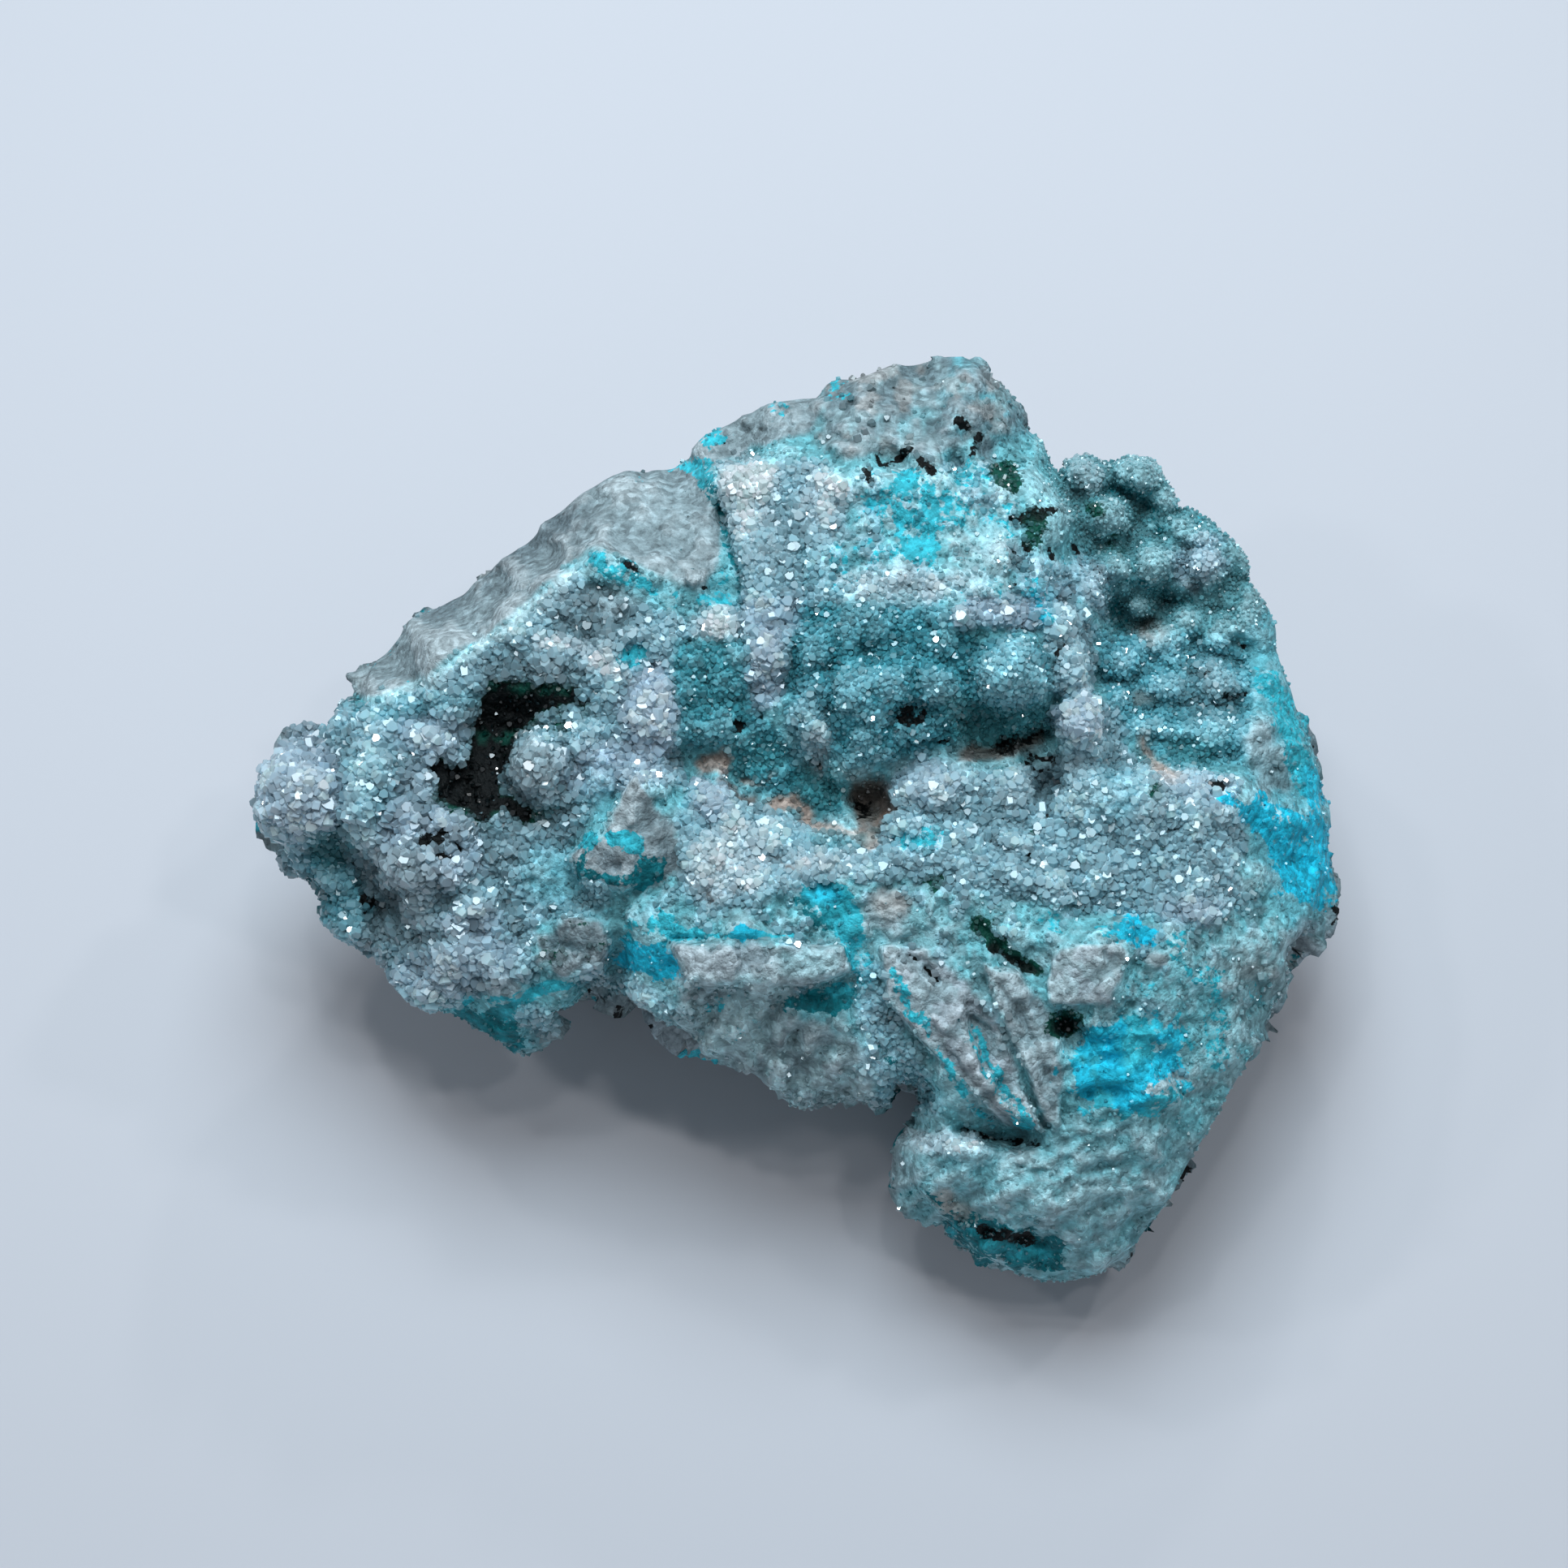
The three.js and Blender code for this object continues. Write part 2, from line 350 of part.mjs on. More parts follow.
// Surface of the field at one level: a point in each cell that the surface crosses, and a
// face across each grid edge that it crosses.
function drawSurface(field, level) {
  const { counts, at } = field;
  const [nu, nv, nw] = counts;
  const values = field.values.map((value) => value - level);
  separateCorners(values, counts, at);
  const points = [];
  const pointOf = new Map();
  const corners = [[0, 0, 0], [1, 0, 0], [0, 1, 0], [1, 1, 0], [0, 0, 1], [1, 0, 1], [0, 1, 1], [1, 1, 1]];
  const edges = [
    [0, 1], [2, 3], [4, 5], [6, 7], [0, 2], [1, 3], [4, 6], [5, 7], [0, 4], [1, 5], [2, 6], [3, 7],
  ];
  for (let k = 0; k < nw - 1; k += 1) {
    for (let j = 0; j < nv - 1; j += 1) {
      for (let i = 0; i < nu - 1; i += 1) {
        const ends = corners.map(([a, b, c]) => values[at(i + a, j + b, k + c)]);
        const mean = new THREE.Vector3();
        let crossings = 0;
        for (const [a, b] of edges) {
          if (ends[a] < 0 !== ends[b] < 0) {
            const t = ends[a] / (ends[a] - ends[b]);
            mean.add(new THREE.Vector3(...corners[a]).lerp(new THREE.Vector3(...corners[b]), t));
            crossings += 1;
          }
        }
        if (crossings > 0) {
          mean.divideScalar(crossings).add(new THREE.Vector3(i, j, k)).multiplyScalar(CELL);
          pointOf.set(at(i, j, k), points.length);
          points.push(toSpecimen(REACH_U[0] + mean.x, REACH_V[0] + mean.y, REACH_W[0] + mean.z));
        }
      }
    }
  }
  const faces = [];
  const addFace = (ring, inwards) => {
    const [a, b, c, d] = (inwards ? ring.slice().reverse() : ring).map((cell) => pointOf.get(cell));
    if (points[a].distanceTo(points[c]) < points[b].distanceTo(points[d])) {
      faces.push(a, b, c, a, c, d);
    } else {
      faces.push(b, c, d, b, d, a);
    }
  };
  for (let k = 1; k < nw - 1; k += 1) {
    for (let j = 1; j < nv - 1; j += 1) {
      for (let i = 1; i < nu - 1; i += 1) {
        const here = values[at(i, j, k)] < 0;
        if (here !== values[at(i + 1, j, k)] < 0) {
          addFace([at(i, j - 1, k - 1), at(i, j, k - 1), at(i, j, k), at(i, j - 1, k)], !here);
        }
        if (here !== values[at(i, j + 1, k)] < 0) {
          addFace([at(i - 1, j, k - 1), at(i - 1, j, k), at(i, j, k), at(i, j, k - 1)], !here);
        }
        if (here !== values[at(i, j, k + 1)] < 0) {
          addFace([at(i - 1, j - 1, k), at(i, j - 1, k), at(i, j, k), at(i - 1, j, k)], !here);
        }
      }
    }
  }
  return toSolid(points, faces);
}

// Where solid corners touch only across a face's diagonal, the weaker one is emptied, so that
// the surface never meets itself along an edge.
function separateCorners(values, [nu, nv, nw], at) {
  const justOutside = 0.02;
  const planes = [[[1, 0, 0], [0, 1, 0]], [[1, 0, 0], [0, 0, 1]], [[0, 1, 0], [0, 0, 1]]];
  let changed = true;
  while (changed) {
    changed = false;
    for (let k = 0; k < nw - 1; k += 1) {
      for (let j = 0; j < nv - 1; j += 1) {
        for (let i = 0; i < nu - 1; i += 1) {
          for (const [[a, b, c], [d, e, f]] of planes) {
            const here = at(i, j, k);
            const first = at(i + a, j + b, k + c);
            const second = at(i + d, j + e, k + f);
            const across = at(i + a + d, j + b + e, k + c + f);
            const filled = [here, across, first, second].map((index) => values[index] < 0);
            if (filled[0] === filled[1] && filled[2] === filled[3] && filled[0] !== filled[2]) {
              const pair = filled[0] ? [here, across] : [first, second];
              values[values[pair[0]] > values[pair[1]] ? pair[0] : pair[1]] = justOutside;
              changed = true;
            }
          }
        }
      }
    }
  }
}

function toSolid(points, faces) {
  const vertProperties = new Float32Array(points.flatMap((point) => point.toArray()));
  return new wasm.Manifold(new wasm.Mesh({ numProp: 3, vertProperties, triVerts: new Uint32Array(faces) }));
}

// Solid of a closed geometry, its shared corners merged and its empty faces left out.
function geometrySolid(geometry) {
  geometry.deleteAttribute('normal');
  geometry.deleteAttribute('uv');
  const merged = mergeVertices(geometry);
  const position = merged.attributes.position;
  const points = [];
  for (let i = 0; i < position.count; i += 1) {
    points.push(new THREE.Vector3().fromBufferAttribute(position, i));
  }
  const faces = [];
  for (let i = 0; i < merged.index.count; i += 3) {
    const [a, b, c] = merged.index.array.slice(i, i + 3);
    if (a !== b && b !== c && c !== a) {
      faces.push(a, b, c);
    }
  }
  return toSolid(points, faces);
}

// A column along the lines of sight, with the given outline in the view, from a level up.
function sightColumn(outline, low) {
  const shape = new THREE.Shape(outline.map(([u, v]) => new THREE.Vector2(u, v)));
  const depth = REACH_W[1] - low;
  const column = new THREE.ExtrudeGeometry(shape, { depth, bevelEnabled: false });
  const position = column.attributes.position;
  for (let i = 0; i < position.count; i += 1) {
    const point = toSpecimen(position.getX(i), position.getY(i), position.getZ(i) + low);
    position.setXYZ(i, point.x, point.y, point.z);
  }
  return geometrySolid(column);
}

// The outline moved outwards by a distance, corner by corner.
function widenOutline(outline, distance) {
  const contour = outline.map(([u, v]) => new THREE.Vector2(u, v));
  const sign = THREE.ShapeUtils.isClockWise(contour) ? 1 : -1;
  return contour.map((corner, i) => {
    const before = corner.clone().sub(contour.at(i - 1)).normalize();
    const after = contour[(i + 1) % contour.length].clone().sub(corner).normalize();
    const outward = new THREE.Vector2(-before.y - after.y, before.x + after.x);
    outward.normalize().multiplyScalar(sign * distance);
    return [corner.x + outward.x, corner.y + outward.y];
  });
}

// Point of the surface under a place in the view, and the way out of the surface there.
function surfaceAt(u, v) {
  let [low, high] = REACH_W;
  low = topLevel(u, v) - CRUST_DEPTH;
  for (let step = 0; step < 30; step += 1) {
    const middle = (low + high) / 2;
    if (depthField(u, v, middle) < 0) {
      low = middle;
    } else {
      high = middle;
    }
  }
  const d = 0.8;
  const slopeU = (topLevel(u + d, v) - topLevel(u - d, v)) / (2 * d);
  const slopeV = (topLevel(u, v + d) - topLevel(u, v - d)) / (2 * d);
  const point = toSpecimen(u, v, low);
  const alongU = toSpecimen(u + 1, v, low + slopeU).sub(point);
  const alongV = toSpecimen(u, v + 1, low + slopeV).sub(point);
  return { point, outward: alongU.cross(alongV).normalize() };
}

// One six-sided crystal point, rooted below the origin and standing along +Y.
function crystalGeometry(radius, height) {
  const profile = [
    new THREE.Vector2(0, -CRYSTAL_ROOT),
    new THREE.Vector2(radius, -CRYSTAL_ROOT),
    new THREE.Vector2(0, height),
  ];
  return new THREE.LatheGeometry(profile, CRYSTAL_SIDES);
}

// Crystals over a crust, on a shaken grid that keeps clear of the crust's edge.
function growCrystals(region, seed) {
  const crystals = [];
  const columns = Math.ceil((REACH_U[1] - REACH_U[0]) / CRYSTAL_SPACING);
  const rows = Math.ceil((REACH_V[1] - REACH_V[0]) / CRYSTAL_SPACING);
  for (let j = 0; j < rows; j += 1) {
    for (let i = 0; i < columns; i += 1) {
      const shake = (turn) => cornerValue(i, j, seed + turn);
      const u = REACH_U[0] + (i + 0.5 * (j % 2) + 0.3 * shake(1)) * CRYSTAL_SPACING;
      const v = REACH_V[0] + (j + 0.3 * shake(2)) * CRYSTAL_SPACING;
      const inRegion = outlineDistance(region, u, v) < -1.6;
      const inOutline = outlineDistance(OUTLINE, u, v) < -2.2;
      if (inRegion && inOutline) {
        const size = 0.5 + 0.5 * shake(3);
        const radius = THREE.MathUtils.lerp(...CRYSTAL_RADIUS, size);
        const height = THREE.MathUtils.lerp(...CRYSTAL_HEIGHT, size);
        const { point, outward } = surfaceAt(u, v);
        const lean = new THREE.Vector3(shake(4), shake(5), shake(6)).multiplyScalar(CRYSTAL_LEAN);
        const stand = outward.add(lean).normalize();
        const turn = new THREE.Quaternion().setFromUnitVectors(new THREE.Vector3(0, 1, 0), stand);
        const geometry = crystalGeometry(radius, height).applyQuaternion(turn);
        crystals.push(geometrySolid(geometry.translate(point.x, point.y, point.z)));
      }
    }
  }
  return crystals.reduce((all, crystal) => all.add(crystal));
}

// Box that takes everything below the table's surface.
function belowTable() {
  const size = 200;
  return geometrySolid(new THREE.BoxGeometry(size, size, size).translate(0, 0, -size / 2));
}

// The faces of the largest connected body of a mesh, without the crumbs beside it.
function largestBody(faces, pointCount) {
  const parent = Array.from({ length: pointCount }, (_, index) => index);
  const root = (index) => {
    let top = index;
    while (parent[top] !== top) {
      parent[top] = parent[parent[top]];
      top = parent[top];
    }
    return top;
  };
  for (let i = 0; i < faces.length; i += 3) {
    parent[root(faces[i + 1])] = root(faces[i]);
    parent[root(faces[i + 2])] = root(faces[i]);
  }
  const bodies = new Map();
  for (let i = 0; i < faces.length; i += 3) {
    const body = root(faces[i]);
    if (!bodies.has(body)) {
      bodies.set(body, []);
    }
    bodies.get(body).push(faces[i], faces[i + 1], faces[i + 2]);
  }
  return [...bodies.values()].sort((a, b) => b.length - a.length)[0];
}

function toMesh(name, solid) {
  const { numProp, vertProperties, triVerts } = solid.getMesh();
  const pointCount = vertProperties.length / numProp;
  const positions = new Float32Array(pointCount * 3);
  for (let i = 0; i < pointCount; i += 1) {
    positions.set(vertProperties.subarray(i * numProp, i * numProp + 3), i * 3);
  }
  const shared = new THREE.BufferGeometry();
  shared.setAttribute('position', new THREE.BufferAttribute(positions, 3));
  shared.setIndex(largestBody(triVerts, pointCount));
  const geometry = shared.toNonIndexed();
  geometry.computeVertexNormals();
  const mesh = new THREE.Mesh(geometry, new THREE.MeshStandardMaterial(FINISHES[name]));
  mesh.name = name;
  return mesh;
}

const field = sampleField();
const whole = drawSurface(field, 0);
const underCrust = drawSurface(field, -CRUST_DEPTH);
const bedRock = drawSurface(field, -CRUST_DEPTH - CRUST_GAP);

const group = new THREE.Group();
let hostRock = whole.subtract(belowTable());
Object.entries(CRUSTS).forEach(([name, region], index) => {
  const shell = whole.intersect(sightColumn(region, CRUST_LOWEST));
  const crust = shell.add(growCrystals(region, 100 * (index + 1))).subtract(underCrust);
  const hollow = widenOutline(region, CRUST_SIDE_GAP);
  const bed = sightColumn(hollow, CRUST_LOWEST - CRUST_SIDE_GAP).subtract(bedRock);
  hostRock = hostRock.subtract(bed);
  group.add(toMesh(name, crust));
});
group.add(toMesh('host_rock', hostRock));

export default group;
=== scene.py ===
"""Looks of a chrysocolla specimen: broken grey rock, blue-green veins and fine quartz crystals.

The relief, the stains and the crystals are laid out as they are seen from the front and above.
There u runs to the right, v up the view and w towards the eye, all in millimetres at the
distance of the specimen's middle. Blender's objects are in metres, with +Z up.
"""

from __future__ import annotations

import logging
import math
from dataclasses import dataclass, field
from enum import Enum
from typing import Any, Sequence

import bpy
import numpy as np
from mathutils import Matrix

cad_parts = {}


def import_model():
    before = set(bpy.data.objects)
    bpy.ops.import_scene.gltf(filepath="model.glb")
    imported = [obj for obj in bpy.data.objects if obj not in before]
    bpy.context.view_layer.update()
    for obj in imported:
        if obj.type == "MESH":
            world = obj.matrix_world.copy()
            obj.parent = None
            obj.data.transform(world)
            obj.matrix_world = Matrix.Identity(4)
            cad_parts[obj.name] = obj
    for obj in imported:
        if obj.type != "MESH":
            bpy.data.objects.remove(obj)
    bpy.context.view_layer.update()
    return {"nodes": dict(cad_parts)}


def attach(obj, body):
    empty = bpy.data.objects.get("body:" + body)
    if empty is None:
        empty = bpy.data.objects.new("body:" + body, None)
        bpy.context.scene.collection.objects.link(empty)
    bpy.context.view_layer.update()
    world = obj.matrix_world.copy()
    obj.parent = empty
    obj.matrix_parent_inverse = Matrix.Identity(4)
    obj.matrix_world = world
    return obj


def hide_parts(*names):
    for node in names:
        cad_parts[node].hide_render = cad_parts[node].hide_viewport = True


log = logging.getLogger("chrysocolla")

MM = 0.001
Points = Sequence[tuple[float, float]]


@dataclass(frozen=True)
class Sight:
    """The line of sight that the specimen is laid out along."""

    elevation: float = math.radians(66)
    eye_distance: float = 243.0
    eye_u: float = -0.7
    eye_v: float = 2.7
    middle_height: float = 16.0
    scale: float = 18.8
    picture_side: float = 1932.0

    def to_specimen(self, u: np.ndarray, v: np.ndarray, w: np.ndarray) -> np.ndarray:
        """Turns places of the view into places of the specimen.

        Args:
            u: Places to the right.
            v: Places up the view.
            w: Levels towards the eye.

        Returns:
            Points in millimetres, x, y and z along the last axis.
        """
        nearer = 1 - w / self.eye_distance
        across = self.eye_u + (u - self.eye_u) * nearer
        up = self.eye_v + (v - self.eye_v) * nearer
        sine, cosine = math.sin(self.elevation), math.cos(self.elevation)
        return np.stack([across, up * sine - w * cosine, self.middle_height + up * cosine + w * sine], -1)


SIGHT = Sight()

# Outline of the specimen in the view, clockwise from the tip of the left arm.
OUTLINE: Points = (
    (-35, 0.8), (-34.6, 2.8), (-33.2, 4.6), (-32, 5.3), (-30.6, 5.2), (-30, 6.6), (-29, 7.6),
    (-28.3, 8.2), (-27.9, 10), (-26.8, 11.8), (-26.2, 13), (-25.4, 13.9), (-24.5, 14.8), (-22, 16),
    (-20, 17.2), (-18, 18.7), (-16.8, 19.7), (-15.5, 20.4), (-14, 21.7), (-12, 22.9), (-10, 24),
    (-8.6, 24.8), (-7, 25.4), (-5.5, 26.2), (-4, 27), (-2, 27.6), (0, 27.9), (1.5, 28), (2, 28.8),
    (2.7, 29.2), (3.8, 29.2), (5, 29.6), (6.5, 30.2), (7.5, 30.5), (8.3, 31.1), (9.2, 31.5), (10.2, 31.4),
    (11, 31), (12, 30.1), (12.6, 29.2), (13.7, 28.4), (14.2, 27.5), (14.6, 26.4), (15.2, 25.8), (16, 25),
    (16.6, 24.4), (17, 23.4), (17.4, 23.1), (18.2, 23.8), (19, 24.2), (20.3, 24.3), (22.6, 24.1),
    (23.5, 23.6), (24.3, 22.8), (24.9, 22.3), (24.8, 21.6), (26.5, 21.4), (27.7, 20.7), (28.5, 19.5),
    (29.2, 18.4), (29.8, 17.5), (30, 16), (30.4, 15), (31.3, 14.2), (31.8, 13), (31.8, 11), (32.1, 10),
    (32.6, 8.8), (32.9, 7.4), (33.5, 6), (34, 5), (34.4, 3.3), (34.4, 1.8), (34.8, 0.8), (34.9, -1.5),
    (34.8, -3), (34.3, -4.3), (34.1, -5.3), (33.7, -6.5), (33, -7.4), (32.3, -8), (32.1, -9.7),
    (32.8, -10.6), (32.8, -11.6), (32, -12.4), (31.7, -13.8), (31, -15.5), (30.3, -17.2), (29.5, -19),
    (28.2, -21.7), (26.9, -23.5), (25.5, -24.7), (24.3, -26), (23, -27.2), (21, -28.4), (20, -29.5),
    (18.5, -29.9), (16, -29.8), (14, -29), (12, -28), (10.6, -26.5), (9, -25), (8.1, -23.8), (7.7, -22.4),
    (8, -21.3), (8.8, -20.3), (8.9, -19.5), (9.2, -18.6), (9.2, -17.3), (8.3, -16.6), (7.3, -16.4),
    (6.5, -16.6), (6, -17.3), (5.2, -18), (4.3, -17.9), (3.4, -17.8), (2.2, -18.3), (1, -18.2),
    (-0.5, -17.7), (-1.8, -17), (-3, -16), (-4.2, -15.2), (-5.8, -14.8), (-6.5, -13.8), (-8, -12.9),
    (-9.5, -12), (-10.5, -11.2), (-11.9, -10.6), (-12.8, -10.1), (-13.4, -10.4), (-13.9, -11),
    (-14.8, -11.9), (-16.1, -12.2), (-16.2, -12.9), (-17, -12.6), (-17.6, -13.3), (-18.3, -14.4),
    (-19.2, -15.1), (-20.6, -14.9), (-21.8, -14), (-23.2, -13.2), (-24.5, -12.2), (-25.5, -11.3),
    (-26.4, -10.4), (-26.5, -9.3), (-27.1, -8.5), (-27.4, -8), (-28.5, -7.5), (-29.8, -7), (-30.9, -6),
    (-31, -5.2), (-31.9, -4.2), (-32.1, -3), (-32.6, -2.6), (-32.8, -1.5), (-33, -0.9), (-34.3, -0.4),
)

# The top is a patchwork: each patch has its middle u and v, its level w there, its slopes along
# u and v, its reach, and how far it swells above its rim.
PATCHES: Sequence[tuple[float, ...]] = (
    # knob at the tip of the arm, the hollow under it and the arm itself
    (-32.2, 2.4, 5.2, 0, 0, 3.2, 1.5), (-30, 5.2, 3, 0, -0.5, 2, 0.8),
    (-29.6, -3, 1.8, 0, -0.2, 2.6, -0.6), (-31.2, -4.6, -2, 0.5, 0.3, 1.5, 0),
    (-27.2, -5.2, 1.5, 0.4, 0.3, 1.5, 0), (-24.2, -2.6, 8, 0, 0, 3, 0.8), (-26.8, 2, 7, 0, 0, 2.8, 0.6),
    (-26.5, 6.2, 5.2, 0, -0.3, 2.4, 0.6), (-21, -5.6, 7, 0, 0, 1.6, 0.8),
    (-22.5, -9.2, 6.2, 0, 0.5, 2.6, 0.6), (-18.4, -9.8, 6.8, 0, 0.5, 2, 0.2),
    (-21.5, -12.6, 3, 0, 1.3, 1.8, 0), (-25.4, -8.6, 3.4, 0.8, 0.3, 1.8, 0.3),
    # dark recess behind the arm and the lumps round it
    (-19.4, 6, 4.8, 0, 0, 2.3, -0.3), (-21.6, 2.6, 5.6, 0, 0, 1.5, 0), (-18.6, 1.6, 6, 0, 0, 1.1, 0),
    (-16.6, 3.8, 8.6, 0, 0, 2, 1), (-24.2, 5.6, 6.6, 0, 0, 1.6, 0.4), (-23.2, 9, 6.8, 0, -0.2, 1.8, 0.2),
    # ridge between the crystals and the bare grey back
    (-26, 8.3, 5.2, 0.3, -0.5, 1.2, 0), (-22, 10.8, 6.6, 0.1, -0.1, 1.4, 0),
    (-18.6, 13, 7, 0.1, -0.1, 1.4, 0), (-15.6, 15.6, 7.3, 0.1, -0.1, 1.3, 0),
    (-12.8, 17, 7.5, 0, -0.1, 1.2, 0), (-9.8, 15.9, 7.2, 0, 0, 1.3, 0), (-6.6, 14.4, 6.8, 0, 0, 1.2, 0),
    (-13.5, 13.8, 6.6, 0, 0, 1.9, 0.3), (-15.8, 11.6, 7.8, 0, 0, 1.5, 0.5),
    (-11.6, 10, 8.2, 0, 0, 1.5, 0.4), (-18.6, 10.2, 6.2, 0, 0, 1.5, 0),
    # bare grey back, falling away to the outline
    (-25.8, 10.8, -0.5, 1.2, -2, 1.8, 0), (-21.4, 14, 0.2, 1.1, -2, 2.4, 0),
    (-17.2, 17.4, 0.6, 1.1, -1.9, 2.2, 0), (-13.5, 20.4, 1.6, 0.25, -1.5, 2.2, 0),
    (-9.2, 19.8, 2.8, -0.05, -1.2, 2.8, 0), (-8.5, 23.6, -3.2, 0.1, -1.5, 1.8, 0),
    (-12.6, 22.4, -1.8, 0.3, -1.7, 1.5, 0), (-3.2, 25.8, -1.5, 0.1, -1.3, 1.8, 0),
    # pale block of crystals, the seam beside it and the recess below
    (-1.6, 21.8, 4.6, 0, -0.35, 2.6, 0.4), (1, 25.6, 1, 0.1, -1, 1.8, 0),
    (-1.4, 17.4, 7, 0, -0.3, 2.2, 0.2), (-5, 19.5, 3.6, 0, -0.5, 1, 0),
    (-4.6, 16.2, 5.4, 0, -0.3, 0.9, 0), (-2.6, 11.6, 8.2, 0, 0.1, 1.6, 0.5),
    (-5.4, 9.4, 7.8, 0, 0, 1.8, -0.2), (-5.4, 12.9, 7.4, 0, 0, 1.2, 0.2),
    (-9.3, 7.4, 8.6, 0, 0, 2.2, 0.6), (-12.6, 5.8, 7.6, 0, 0, 1.8, 0.5),
    (-12.8, 2.6, 8.2, 0, 0, 1.8, 0.6),
    # angular grey fragments at the left of the middle
    (-10.4, 1.4, 10.4, -0.1, 0.35, 1.8, 0), (-11.2, -2.4, 9.9, -0.1, 0.2, 2.2, 0),
    (-16.2, -3.2, 7.2, 0, 0, 2.6, 0.4), (-19.2, -1.4, 6.6, 0, 0, 1.5, 0.1),
    (-14.7, -8, 8, 0.1, 0.35, 1.9, 0), (-12.4, -10.2, 5, 0, 1, 1.2, 0), (-18.2, -6.6, 6, 0, 0, 1.3, 0),
    # crown of bare rock at the rear
    (9.6, 30.2, -1.2, 0, -1.2, 1.2, 0), (7.4, 26.8, 2.8, 0.05, -1.1, 3, 0),
    (3.4, 27.2, 1, 0.5, -1, 1.8, 0), (12.4, 27.6, 1.2, -0.9, -0.8, 1.8, 0),
    (14.2, 25, 1.8, -1, -0.6, 1.4, 0), (6.2, 23.8, 4.2, 0, -0.4, 0.9, 0),
    (10.8, 24.2, 3.4, 0, -0.4, 0.9, 0),
    # mottled shelf and the dome of crystals in front of it
    (8.6, 20.6, 7.4, 0, -0.25, 2.8, 0.1), (4, 20.4, 6.8, 0, -0.25, 2.2, 0.1),
    (7.6, 16.8, 8.6, 0, -0.15, 2.4, 0.1), (2.6, 16.6, 8.2, 0, -0.15, 2, 0.2),
    (12.6, 17.6, 7.6, 0, 0, 1.6, 0.2), (12.4, 21, 6, 0, -0.3, 1.7, 0.2),
    (5, 12.4, 9.6, 0, 0.15, 2.6, 0.4), (1.2, 12, 8.8, 0.1, 0.1, 2, 0.6), (9.6, 12.4, 9.8, 0, 0, 2.2, 0.4),
    (5, 8.6, 10.6, 0, 0.1, 2.4, 0.8), (9.4, 8.6, 9.8, -0.1, 0.1, 1.8, 0.7),
    (1, 7.8, 8.6, 0.2, 0.3, 1.8, 0.6), (3.6, 5, 8.8, 0, 0.6, 1.2, 0), (-1.4, 5, 6.6, 0.2, 0.7, 1.4, 0),
    (-2.2, 8.2, 7.4, 0.2, 0.2, 1.3, 0.2), (14.2, 10.1, 10.2, 0, 0, 1.9, 1.6),
    (12.8, 14, 8.2, 0, 0, 1.5, 0.3),
    # rib between the dome and the bowl
    (15, 20, 5.6, -0.1, -0.3, 1.5, 0.4), (15.8, 16.6, 7, 0, 0, 1.4, 0.6),
    (16.8, 13.2, 7.6, 0, 0, 1.3, 0.5), (18, 10.2, 8.2, 0, 0, 1.3, 0.5), (19, 6.8, 8.4, 0, 0, 1.8, 0.6),
    # the hollow across the middle
    (12.6, 5.8, 5.4, 0, 0, 1.5, -0.5), (16.4, 5.4, 5.2, 0, 0, 1.1, 0), (4.8, 1.6, 5.4, 0, 0, 1.2, -0.5),
    (1.2, 2.4, 5.4, 0, 0, 1.5, 0), (-2.2, 2.4, 5.6, 0, 0, 1.3, 0), (-5.6, 3.9, 5.6, 0, 0, 1.2, 0),
    (17, 2.6, 5, 0, 0, 1, 0),
    # its front lip
    (-5.8, 0.6, 8.4, 0, -0.4, 1.6, 0.2), (-1.8, -1.2, 9.2, 0, -0.5, 1.8, 0.4),
    (2.6, -1.6, 9.4, 0, -0.5, 1.5, 0.3), (5.2, -1.2, 8.4, 0, -0.8, 1.1, 0),
    (9.2, 2.6, 8.8, 0, -0.3, 2, 0.8), (9.4, -1.8, 10.3, 0, 0, 2.2, 0.3), (14.2, 1.6, 8.6, 0, 0, 1.6, 0.4),
    (13.8, -2.6, 10.4, 0, 0, 2, 0.3), (19.8, 1.4, 9.6, 0, 0, 1.8, 0.5), (23.6, 0.6, 9.4, 0, 0, 2, 0.6),
    (27.6, 1.6, 7.6, -0.4, -0.3, 2, 0.6), (19.4, -3.2, 9.6, 0, 0, 1.8, 0.2),
    (24.6, -4, 9.2, 0, 0, 2.2, 0.3), (29.2, -3.4, 6.6, -0.6, 0, 2.2, 0.3),
    # right end and the smooth rim round the bowl
    (32.6, -1, 3, -1, 0, 1.8, 0.2), (32.6, 3.6, 1.6, -0.9, -0.2, 1.6, 0.2),
    (31.6, 9, -0.2, -0.9, -0.3, 1.4, 0.2), (30.4, 13.4, -1, -0.8, -0.4, 1.5, 0.3),
    (28.8, 17.8, -1.6, -0.7, -0.5, 1.6, 0.4), (26.4, 20, -1.6, -0.4, -0.7, 1.3, 0.5),
    # rounded lumps that line the bowl
    (23.6, 17.4, -0.6, 0, 0, 1.7, 1.6), (22.3, 14.4, -1.6, 0, 0, 1.3, 1.2),
    (26.6, 16.6, -1, 0, 0, 1.6, 1.2), (26, 13.2, -1.2, 0, 0, 1.4, 1),
    (19.9, 20.2, 0.2, 0, -0.1, 1.6, 1.1), (19.4, 22.8, -0.6, 0, -0.3, 1.4, 1.2),
    (22.6, 22.9, -1, 0, -0.3, 1.5, 1.2), (24.4, 11, 0.4, 0, 0, 1.6, 0.9), (21.4, 10.4, 1, 0, 0, 1.6, 1),
    (24.8, 8.2, 1.6, 0, 0, 1.6, 0.9), (27.6, 9, 0.8, 0, 0, 1.5, 0.8), (28.4, 12.2, -0.8, 0, 0, 1.3, 0.8),
